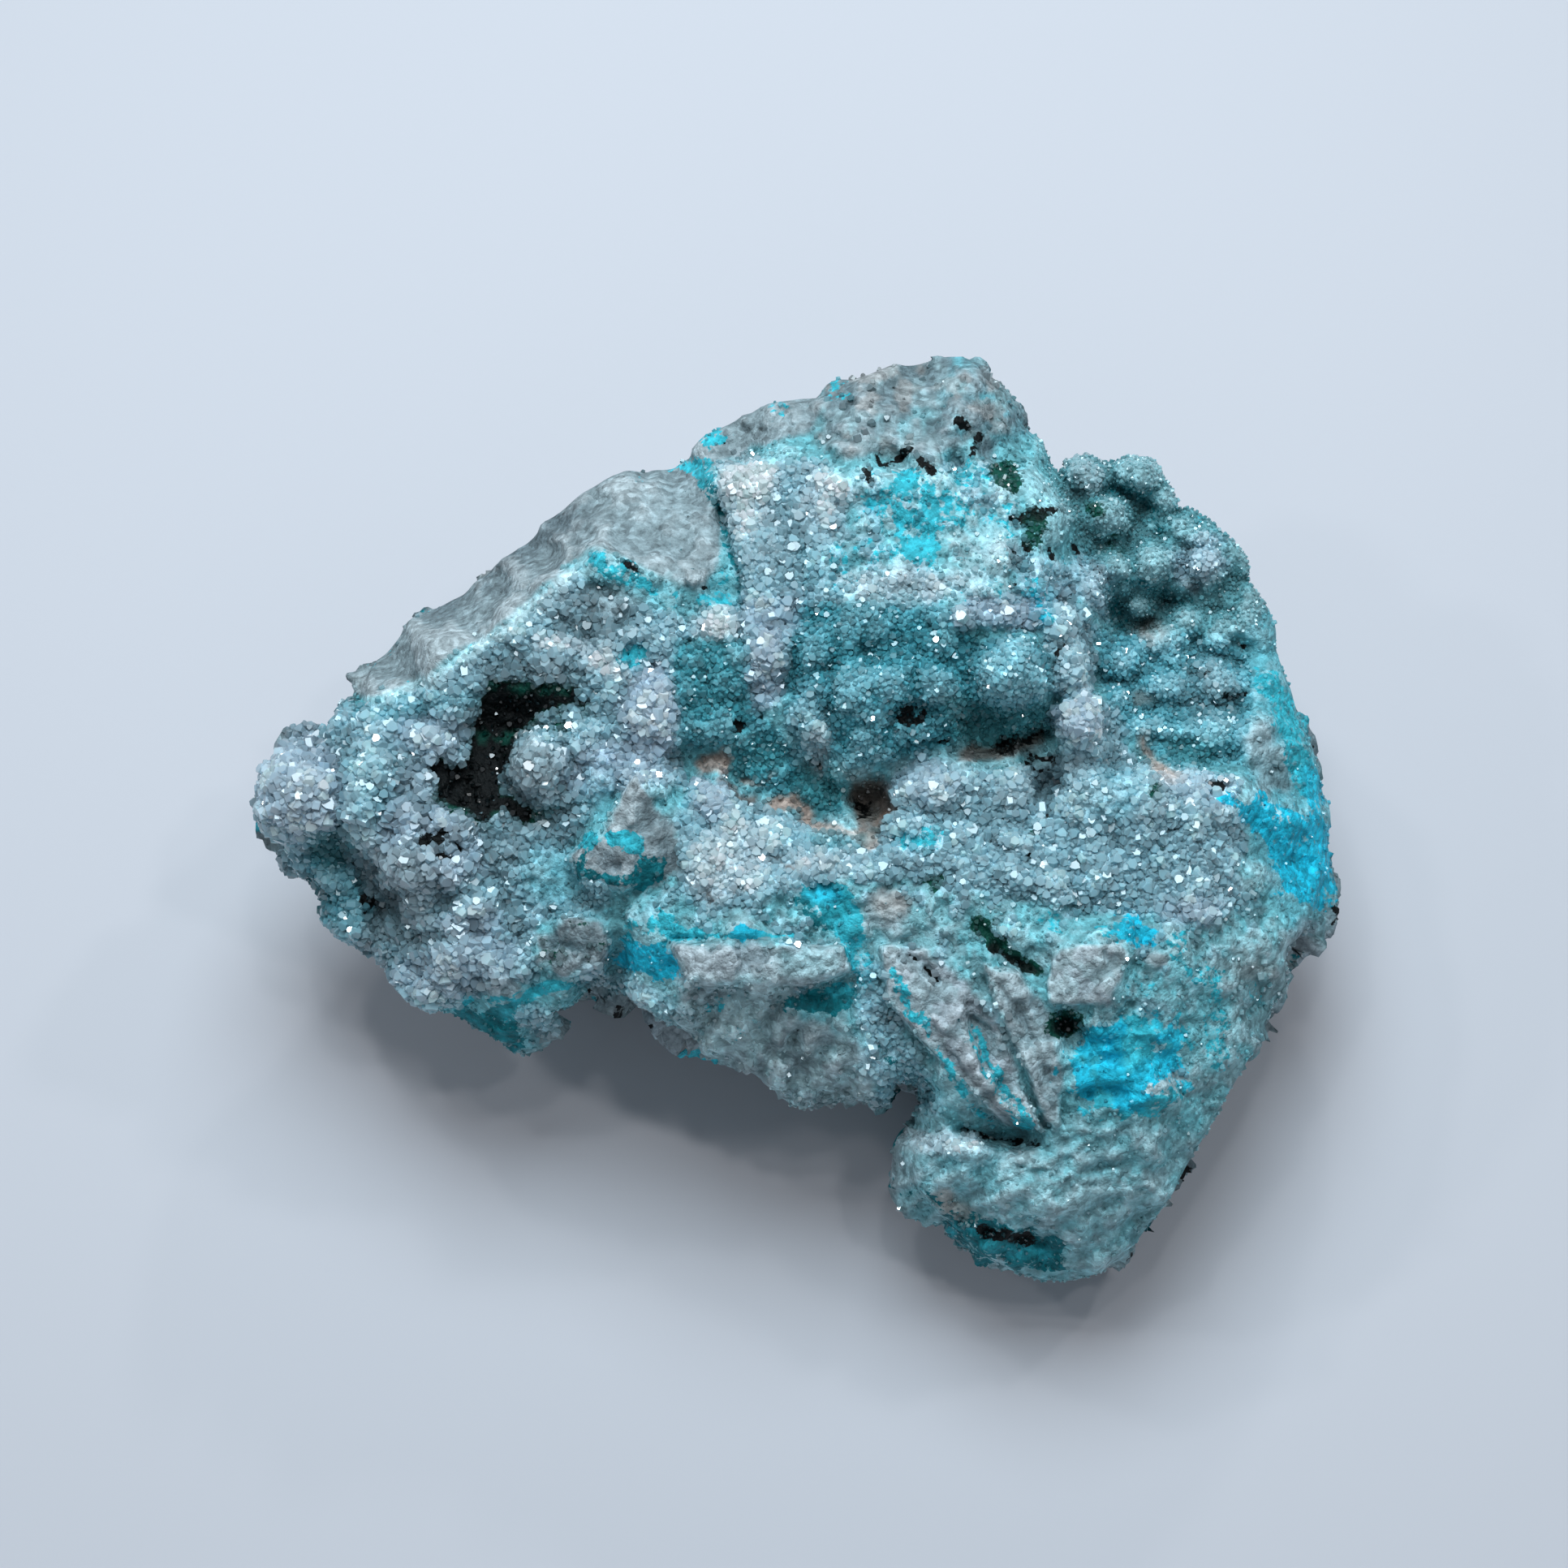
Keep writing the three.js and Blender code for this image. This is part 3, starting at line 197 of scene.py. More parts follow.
    (20.8, 17, 1, -0.2, 0, 1.3, 0.8), (24.2, 20.4, -1.2, 0, 0, 1.2, 1), (27.4, 5.4, 2.8, 0, 0, 1.6, 0.7),
    (21.6, 7.2, 3.4, -0.3, 0, 1.3, 0.5), (18.6, 16.6, 3.8, -0.9, 0, 1.2, 0),
    (19.6, 13.2, 2.4, -1, 0, 1.3, 0), (23.6, 5.4, 3.6, 0, 0, 1.3, 0), (30.4, 5.8, 2.6, -0.5, 0, 1.5, 0.2),
    # front field of rock, its ledge and the valley beside it
    (-5.6, -3.4, 10.2, 0, 0, 2.2, 0.3), (-1, -4.6, 10.8, 0, 0, 2.2, 0.1), (4.2, -4.4, 11, 0, 0, 2.2, 0.1),
    (9.6, -5.4, 11.2, 0, 0, 2.2, 0.1), (14.4, -6.4, 11.2, 0, 0, 2, 0.1),
    (-2.6, -8.8, 12.3, 0, 0.1, 2.4, 0), (-8.8, -8.4, 9.6, 0.2, 0.4, 1.8, 0.1),
    (-5.4, -12, 9.4, 0.1, 0.8, 2.2, 0), (0.6, -14.8, 8.2, 0.1, 0.8, 2.4, 0),
    (2.4, -11.4, 9.9, 0, 0.3, 1.3, 0), (1.5, -17.2, 6, 0, 1, 1.4, 0), (6.2, -13.6, 9.7, 0, 0.3, 1.8, 0),
    (7.2, -16.2, 8.4, 0, 0.6, 1.2, 0), (4.8, -8.6, 10.4, 0, 0.1, 1.6, 0),
    # slanting fragments and the crack below them
    (9.4, -10.8, 11.2, -0.1, 0.1, 1.9, 0), (12.6, -15.8, 10.8, -0.15, 0.1, 2, 0),
    (15.6, -14, 11.4, -0.1, 0.1, 1.8, 0), (14.4, -18.8, 10, 0.1, 0.3, 1.2, 0),
    (13.6, -20.6, 7.6, 0, 0, 1.3, 0),
    # lobe at the front right
    (16.8, -22.6, 9.8, 0, 0.1, 2.6, 0.3), (11.6, -22.4, 8.6, 0.2, 0.1, 1.9, 0.6),
    (21.8, -22.4, 9, -0.2, 0.3, 2.4, 0.2), (16.2, -26.8, 6.8, 0, 1.2, 2.2, 0),
    (21.6, -26.2, 6.2, -0.4, 1, 2, 0), (11.4, -26, 6, 0.4, 0.9, 1.5, 0),
    # platform behind the lobe, with its square fragment, and the right flank
    (19.3, -9.8, 11.8, -0.05, 0.03, 2.2, 0), (23.8, -9, 10.6, 0, 0, 1.9, 0),
    (27.4, -8, 8.6, -0.5, 0.1, 2, 0.1), (31, -7.6, 5.6, -0.9, 0.1, 1.6, 0.1),
    (21.4, -16.2, 10.6, 0, 0, 2.8, 0.1), (17.6, -16.6, 10.9, 0, 0, 1.4, 0.1),
    (17.9, -13.2, 9.2, 0, 0, 0.9, 0), (26.2, -13.4, 8.4, -0.5, 0.1, 2.4, 0.1),
    (30.6, -12.2, 5, -1, 0.1, 1.6, 0), (28.4, -17.6, 5.6, -0.9, 0.4, 2, 0),
    (25.2, -20.6, 7.2, -0.6, 0.4, 2, 0.1),
)

# Where the underside lifts off the table: x, y, reach along x and y, and the lift.
LIFTS: Sequence[tuple[float, ...]] = (
    (-38, -2, 26, 30, 14), (-8, -23, 26, 22, 13), (24, -36, 24, 18, 8), (42, 2, 18, 30, 9),
    (-22, 32, 22, 22, 9), (26, 34, 22, 18, 8), (6, 36, 20, 14, 6),
)

# Flat breaks round the back and sides: azimuth and elevation of the face, in degrees, and its
# distance from the point BREAK_CENTRE.
BREAK_CENTRE = (2, 4, 10)
BREAKS: Sequence[tuple[float, float, float]] = (
    (118, 20, 27), (82, 4, 27.5), (48, 8, 30), (22, -8, 31), (150, -22, 26), (-28, -12, 31.5),
    (-62, -24, 34.5), (-125, -38, 19.5), (186, -34, 28),
)


def smoothstep(low: float, high: float, value: np.ndarray) -> np.ndarray:
    """Eases from 0 at low to 1 at high, where low may be the larger one."""
    t = np.clip((value - low) / (high - low), 0, 1)
    return t * t * (3 - 2 * t)


def smooth_max(a: np.ndarray, b: np.ndarray, rounding: float) -> np.ndarray:
    """The larger of two fields, with a rounded edge where they cross."""
    h = np.clip(0.5 + (a - b) / (2 * rounding), 0, 1)
    return b + (a - b) * h + rounding * h * (1 - h)


def blurred(grid: np.ndarray, cells: int) -> np.ndarray:
    """Averages a grid over its neighbourhood.

    Args:
        grid: Values in rows.
        cells: Reach of the average, in cells.

    Returns:
        The averaged grid.
    """
    kernel = 1 - np.abs(np.arange(-cells, cells + 1)) / (cells + 1)
    kernel /= kernel.sum()
    padded = np.pad(grid, cells, mode="edge")
    rows = np.apply_along_axis(np.convolve, 1, padded, kernel, "valid")
    return np.apply_along_axis(np.convolve, 0, rows, kernel, "valid")


def corner_value(i: np.ndarray, j: np.ndarray, seed: int, k: np.ndarray | int = 0) -> np.ndarray:
    """Repeatable value between -1 and 1 for each corner of a grid.

    Args:
        i: Whole steps along the first axis.
        j: Whole steps along the second axis.
        seed: Number of the pattern.
        k: Whole steps along the third axis.

    Returns:
        One value for each corner.
    """
    mask = 0xFFFFFFFF
    n = (i * 374761393 + j * 668265263 + k * 1440662683 + seed * 974634777) & mask
    n = ((n ^ (n >> 13)) * 1274126177) & mask
    return ((n ^ (n >> 16)) & 0xFFFF) / 32767.5 - 1


def noise(places: Sequence[np.ndarray], seed: int) -> np.ndarray:
    """Smooth noise between -1 and 1 over two or three coordinates.

    Args:
        places: The coordinates, in cells of the noise.
        seed: Number of the pattern.

    Returns:
        The noise at each place.
    """
    whole = [np.floor(p).astype(np.int64) for p in places]
    part = [p - w for p, w in zip(places, whole)]
    ease = [t * t * (3 - 2 * t) for t in part]
    total: np.ndarray | float = 0.0
    for corner in range(2 ** len(places)):
        steps = [(corner >> axis) & 1 for axis in range(len(places))]
        weight: np.ndarray | float = 1.0
        for step, t in zip(steps, ease):
            weight = weight * (t if step else 1 - t)
        at = [w + step for w, step in zip(whole, steps)]
        depth = at[2] if len(at) > 2 else 0
        total = total + weight * corner_value(at[0], at[1], seed, depth)
    return total


def layered_noise(places: Sequence[np.ndarray], size: float, layers: int, seed: int) -> np.ndarray:
    """Noise in layers, each half as large and half as strong as the one before.

    Args:
        places: Two or three coordinates in millimetres.
        size: Size of the first layer's cells.
        layers: How many layers.
        seed: Number of the pattern.

    Returns:
        The noise at each place, between -1 and 1.
    """
    total: np.ndarray | float = 0.0
    strength, sum_of_strengths = 1.0, 0.0
    for layer in range(layers):
        shift = 17.3 * layer
        total = total + strength * noise([p / size + shift for p in places], seed + layer)
        sum_of_strengths += strength
        strength, size = strength / 2, size / 2
    return total / sum_of_strengths


def stone_cells(
    places: Sequence[np.ndarray], size: float, seed: int
) -> tuple[np.ndarray, np.ndarray, list[np.ndarray]]:
    """Parts space into irregular cells, like grains packed together.

    Args:
        places: Two or three coordinates in millimetres.
        size: Usual size of a cell.
        seed: Number of the pattern.

    Returns:
        Distance to the own cell's middle and to the next cell's, in cells, and a list that has
        the way from the own middle along each axis and then one value of the cell's own.
    """
    scaled = [p / size for p in places]
    whole = [np.floor(p).astype(np.int64) for p in scaled]
    first = np.full(scaled[0].shape, 9.0)
    second = np.full(scaled[0].shape, 9.0)
    own = [np.zeros(scaled[0].shape) for _ in range(len(places) + 1)]
    for corner in range(3 ** len(places)):
        at = [w + (corner // 3**axis) % 3 - 1 for axis, w in enumerate(whole)]
        depth = at[2] if len(at) > 2 else 0
        way = [
            p - (a + 0.5 + 0.42 * corner_value(at[0], at[1], seed + axis, depth))
            for axis, (p, a) in enumerate(zip(scaled, at))
        ]
        distance = np.sqrt(sum(d * d for d in way))
        nearer = distance < first
        second = np.where(nearer, first, np.minimum(second, distance))
        first = np.where(nearer, distance, first)
        for axis, d in enumerate(way):
            own[axis] = np.where(nearer, d, own[axis])
        own[-1] = np.where(nearer, corner_value(at[0], at[1], seed + 7, depth), own[-1])
    return first, second, own


def path_distance(points: Points, u: np.ndarray, v: np.ndarray, closed: bool) -> np.ndarray:
    """Distance to a line through points of the view.

    Args:
        points: Corners of the line.
        u: Places to the right.
        v: Places up the view.
        closed: Whether the line returns to its start, which makes the inside negative.

    Returns:
        The distance in millimetres.
    """
    nearest = np.full(u.shape, np.inf)
    inside = np.zeros(u.shape, bool)
    count = len(points)
    for index in range(count if closed else count - 1):
        (u0, v0), (u1, v1) = points[index], points[(index + 1) % count]
        du, dv = u1 - u0, v1 - v0
        t = np.clip(((u - u0) * du + (v - v0) * dv) / (du * du + dv * dv), 0, 1)
        nearest = np.minimum(nearest, np.hypot(u - u0 - t * du, v - v0 - t * dv))
        if closed and dv != 0:
            inside ^= ((v0 > v) != (v1 > v)) & (u < du * (v - v0) / dv + u0)
    return np.where(inside, -nearest, nearest)


@dataclass(frozen=True)
class Spot:
    """An oval of the view."""

    u: float
    v: float
    reach_u: float
    reach_v: float
    turn: float = 0.0

    def share(self, u: np.ndarray, v: np.ndarray) -> np.ndarray:
        """Distance from the middle, 1 at the oval's edge."""
        cosine, sine = math.cos(math.radians(self.turn)), math.sin(math.radians(self.turn))
        du, dv = u - self.u, v - self.v
        along = (du * cosine + dv * sine) / self.reach_u
        across = (dv * cosine - du * sine) / self.reach_v
        return np.hypot(along, across)

    def distance(self, u: np.ndarray, v: np.ndarray) -> np.ndarray:
        """Distance outside the oval's edge, in millimetres."""
        return (self.share(u, v) - 1) * min(self.reach_u, self.reach_v)


@dataclass(frozen=True)
class Line:
    """A band of the view along a line."""

    points: Points
    width: float

    def distance(self, u: np.ndarray, v: np.ndarray) -> np.ndarray:
        """Distance outside the band's edge, in millimetres."""
        return path_distance(self.points, u, v, False) - self.width / 2


@dataclass(frozen=True)
class Area:
    """A many-cornered region of the view."""

    points: Points

    def distance(self, u: np.ndarray, v: np.ndarray) -> np.ndarray:
        """Distance outside the region's edge, in millimetres."""
        return path_distance(self.points, u, v, True)


class Layer(Enum):
    """How a mineral meets what is round it."""

    GROUND = 0
    VEIN = 1
    DARK = 2


@dataclass(frozen=True)
class Mineral:
    """What a stretch of the surface is made of."""

    colour: tuple[int, int, int]
    roughness: float = 0.8
    crystals: float = 0.0
    grain: float = 0.8
    layer: Layer = Layer.GROUND


class Kind(Enum):
    """The minerals that the specimen shows."""

    GREY = Mineral((140, 157, 162), 0.9)
    SLATE = Mineral((94, 110, 117), 0.9)
    BUFF = Mineral((148, 168, 174), 0.88)
    ROSE = Mineral((164, 172, 180), 0.88)
    PALE = Mineral((116, 187, 196), 0.7, 0.3, 0.42)
    CREAM = Mineral((178, 212, 217), 0.75, 0.3, 0.42)
    MIST = Mineral((138, 188, 196), 0.8, 0.12, 0.4)
    TURQUOISE = Mineral((58, 184, 200), 0.6, 0.2, 0.4, Layer.VEIN)
    SKY = Mineral((28, 190, 220), 0.55, 0.12, 0.4, Layer.VEIN)
    DARK_TURQUOISE = Mineral((18, 116, 126), 0.6, 0.2, 0.4, Layer.VEIN)
    GLAZE = Mineral((104, 180, 192), 0.45, 0.15, 0.4)
    ICE = Mineral((162, 206, 219), 0.4, 1.0, 1.0)
    LILAC = Mineral((184, 206, 223), 0.4, 1.0, 1.1)
    SUGAR = Mineral((226, 244, 252), 0.4, 1.0, 0.9)
    ASH = Mineral((124, 152, 161), 0.5, 1.0, 1.0)
    TEAL = Mineral((80, 166, 180), 0.4, 1.0, 0.75)
    DEEP_TEAL = Mineral((84, 168, 176), 0.4, 1.0, 0.7)
    BOTRYOIDAL = Mineral((100, 160, 168), 0.45, 0.9, 0.55)
    LAGOON = Mineral((100, 176, 190), 0.4, 1.0, 0.7)
    BLACK = Mineral((4, 9, 10), 0.5, 0.4, 0.5, Layer.DARK)
    PINE = Mineral((6, 74, 62), 0.45, 0.8, 0.55, Layer.DARK)
    RUST = Mineral((108, 84, 70), 0.8, 0.2, 0.5)
    SAND = Mineral((190, 168, 156), 0.8, 0.25, 0.5)


@dataclass(frozen=True)
class Stain:
    """A mineral laid over part of the view."""

    kind: Kind
    shape: Spot | Line | Area
    soft: float = 0.35
    strength: float = 1.0
    ragged: float = 0.35
    patchy: float = 1.0
    patch_size: float = 1.6


# Regions of the view, each with what it is made of.
GREY_BACK: Points = (
    (-28.3, 8.2), (-26, 8.8), (-24, 9.8), (-22, 11.4), (-20, 12.5), (-18, 14.2), (-16, 16), (-14.5, 17.2),
    (-13.2, 18.1), (-11, 17.5), (-9.5, 16.5), (-7.5, 15.6), (-6, 15.2), (-5, 17), (-4.7, 19.8),
    (-5.3, 21.5), (-6.3, 23), (-3, 24.6), (0.5, 25.6), (2, 27), (1.5, 29), (-6, 28), (-20, 19), (-27, 14),
    (-29, 9),
)
CROWN: Points = (
    (1.5, 25.4), (3.4, 24), (6, 24.3), (9.6, 24.3), (12, 25.6), (14.8, 26), (13.4, 29.5), (9.6, 33),
    (5, 31), (1.5, 29.5),
)
BOWL: Points = (
    (17, 22.5), (17.6, 25.5), (25.5, 25), (30, 20), (31, 14.5), (29.6, 12.5), (25, 12.4), (21, 12.4),
    (19.6, 14), (18.4, 18),
)
LOWER_BOWL: Points = (
    (19.6, 12.6), (25, 12.6), (29.4, 12.4), (30, 8), (29.4, 4), (25, 3.2), (23.2, 4.8), (21, 7),
    (19.8, 9.5),
)
SHELF: Points = ((2, 14.6), (14, 14.6), (14.6, 19), (14, 22.6), (12, 24.6), (4.4, 23.4), (3.6, 20), (2, 18))
DOME: Points = (
    (0, 14.2), (3, 14.8), (10, 14.6), (11.8, 13), (12.2, 10), (12.4, 7.4), (10.4, 5.2), (6.4, 4.4),
    (2, 3.6), (0.2, 5), (-0.6, 8), (-0.4, 11),
)
TEAL_RECESS: Points = (
    (-7.8, 12), (-3.2, 12), (-3, 9), (-2.2, 7), (0, 5), (0.6, 3.8), (3.4, 2.4), (3.4, 0.4), (0.4, 0.8),
    (-2, 2), (-4.2, 3.6), (-5, 5.2), (-7.4, 5.4), (-8, 9),
)
FRONT_DRUSE: Points = (
    (-7.8, 0), (-6.4, 3.2), (-4, 2.2), (0, 0.6), (5.6, -1), (6.6, 3.4), (8.4, 4.6), (12, 3.8), (16, 3.6),
    (17.4, 4.6), (18, 9), (20.6, 8), (22.6, 4), (27.5, 3.4), (29.6, 0.6), (29, -4), (28, -6.4),
    (24, -6.2), (18.5, -5.4), (13.5, -4.6), (8.5, -3.8), (3.5, -3.4), (-1, -4.8), (-5.4, -6),
    (-7.6, -4.4),
)
ARM: Points = (
    (-38, -2), (-38, 6), (-33, 8), (-28.6, 8), (-26, 8.5), (-24, 9.5), (-22, 11.1), (-20, 12.2),
    (-18, 13.9), (-16, 15.7), (-14.5, 16.9), (-13.2, 17.7), (-11, 17.1), (-9.5, 16.1), (-7.4, 15.2),
    (-5.8, 14.4), (-4.6, 13.4), (-7.6, 12), (-7.8, 6), (-7.2, 2.6), (-8.6, 2.2), (-10.4, 4.2),
    (-12.6, 1.4), (-14.6, -1), (-14.4, -5), (-17.2, -7), (-17, -9.8), (-20, -11.2), (-23, -12),
    (-26, -14), (-36, -8),
)
BLACK_PATCH: Points = (
    (-20, 9.3), (-18, 9.5), (-16, 9.1), (-14, 9), (-14, 7.8), (-16, 7.5), (-17, 7), (-18, 6), (-18, 4.5),
    (-18.5, 3.6), (-19.2, 3), (-19.3, 1.9), (-18.4, 1.8), (-17.2, 0.9), (-17.6, 0.3), (-18.6, 0.5),
    (-19.8, 1.2), (-20.2, 0), (-21, 0.6), (-22, 1.2), (-23.4, 2.1), (-24, 3.7), (-23.3, 4.5),
    (-22.8, 3.9), (-22, 3.9), (-21.2, 5), (-21.3, 6), (-20.8, 7.2), (-20.4, 8.3),
)
PYRAMID: Points = (
    (-10.4, 3.3), (-9.3, 1.5), (-7.6, -0.5), (-7.5, -3), (-9, -4), (-11, -4.1), (-14, -3.6), (-14.8, -2),
    (-13.8, -1.2), (-12.5, -0.6), (-12.1, 0.6), (-11.3, 2.1),
)
SECOND_FRAGMENT: Points = ((-16.8, -7.3), (-14.9, -6), (-13, -6.3), (-12.1, -8), (-12.5, -9.6),
    (-15, -9.9), (-16.9, -9))
SQUARE_FRAGMENT: Points = ((17.3, -8.1), (21, -7.8), (22, -8.6), (21, -10.5), (20.6, -11.8),
    (16.8, -11.7), (16.6, -10.3))
LEFT_SPLINTER: Points = (
    (5.6, -8), (8.6, -8.2), (11.6, -10.4), (13.6, -13.6), (15, -17.6), (16.3, -20), (13.8, -19.6),
    (11.2, -16.9), (8.6, -14.4), (6.2, -11.4),
)
RIGHT_SPLINTER: Points = (
    (12.4, -9.2), (14.6, -9.6), (16.6, -12), (17.6, -16.6), (17.2, -19.6), (16.4, -19.4), (15.2, -16),
    (13.4, -12),
)
LEDGE_TOP: Points = ((-8, -7.8), (3.2, -8), (3.8, -9.6), (1.2, -10.5), (-2.4, -10.3), (-7, -10.4))
LEDGE_FACE: Points = (
    (-7.6, -10.2), (-2.4, -10.2), (0, -10.6), (0.4, -12.6), (3.4, -13.4), (4.8, -15.6), (5.6, -19),
    (1, -19.5), (-4, -17), (-8, -14),
)
LOBE: Points = (
    (7, -22), (9, -20.2), (12, -20.6), (16, -20.6), (18.5, -19.6), (24, -19.8), (27, -20.6), (27.5, -24),
    (20, -31), (14, -30), (8, -26),
)
SKY_FIELD: Points = (
    (17.8, -14.6), (19, -13.4), (22, -12.6), (25.4, -13.4), (26, -16), (24.6, -18.6), (21, -19.2),
    (18, -18.2),
)

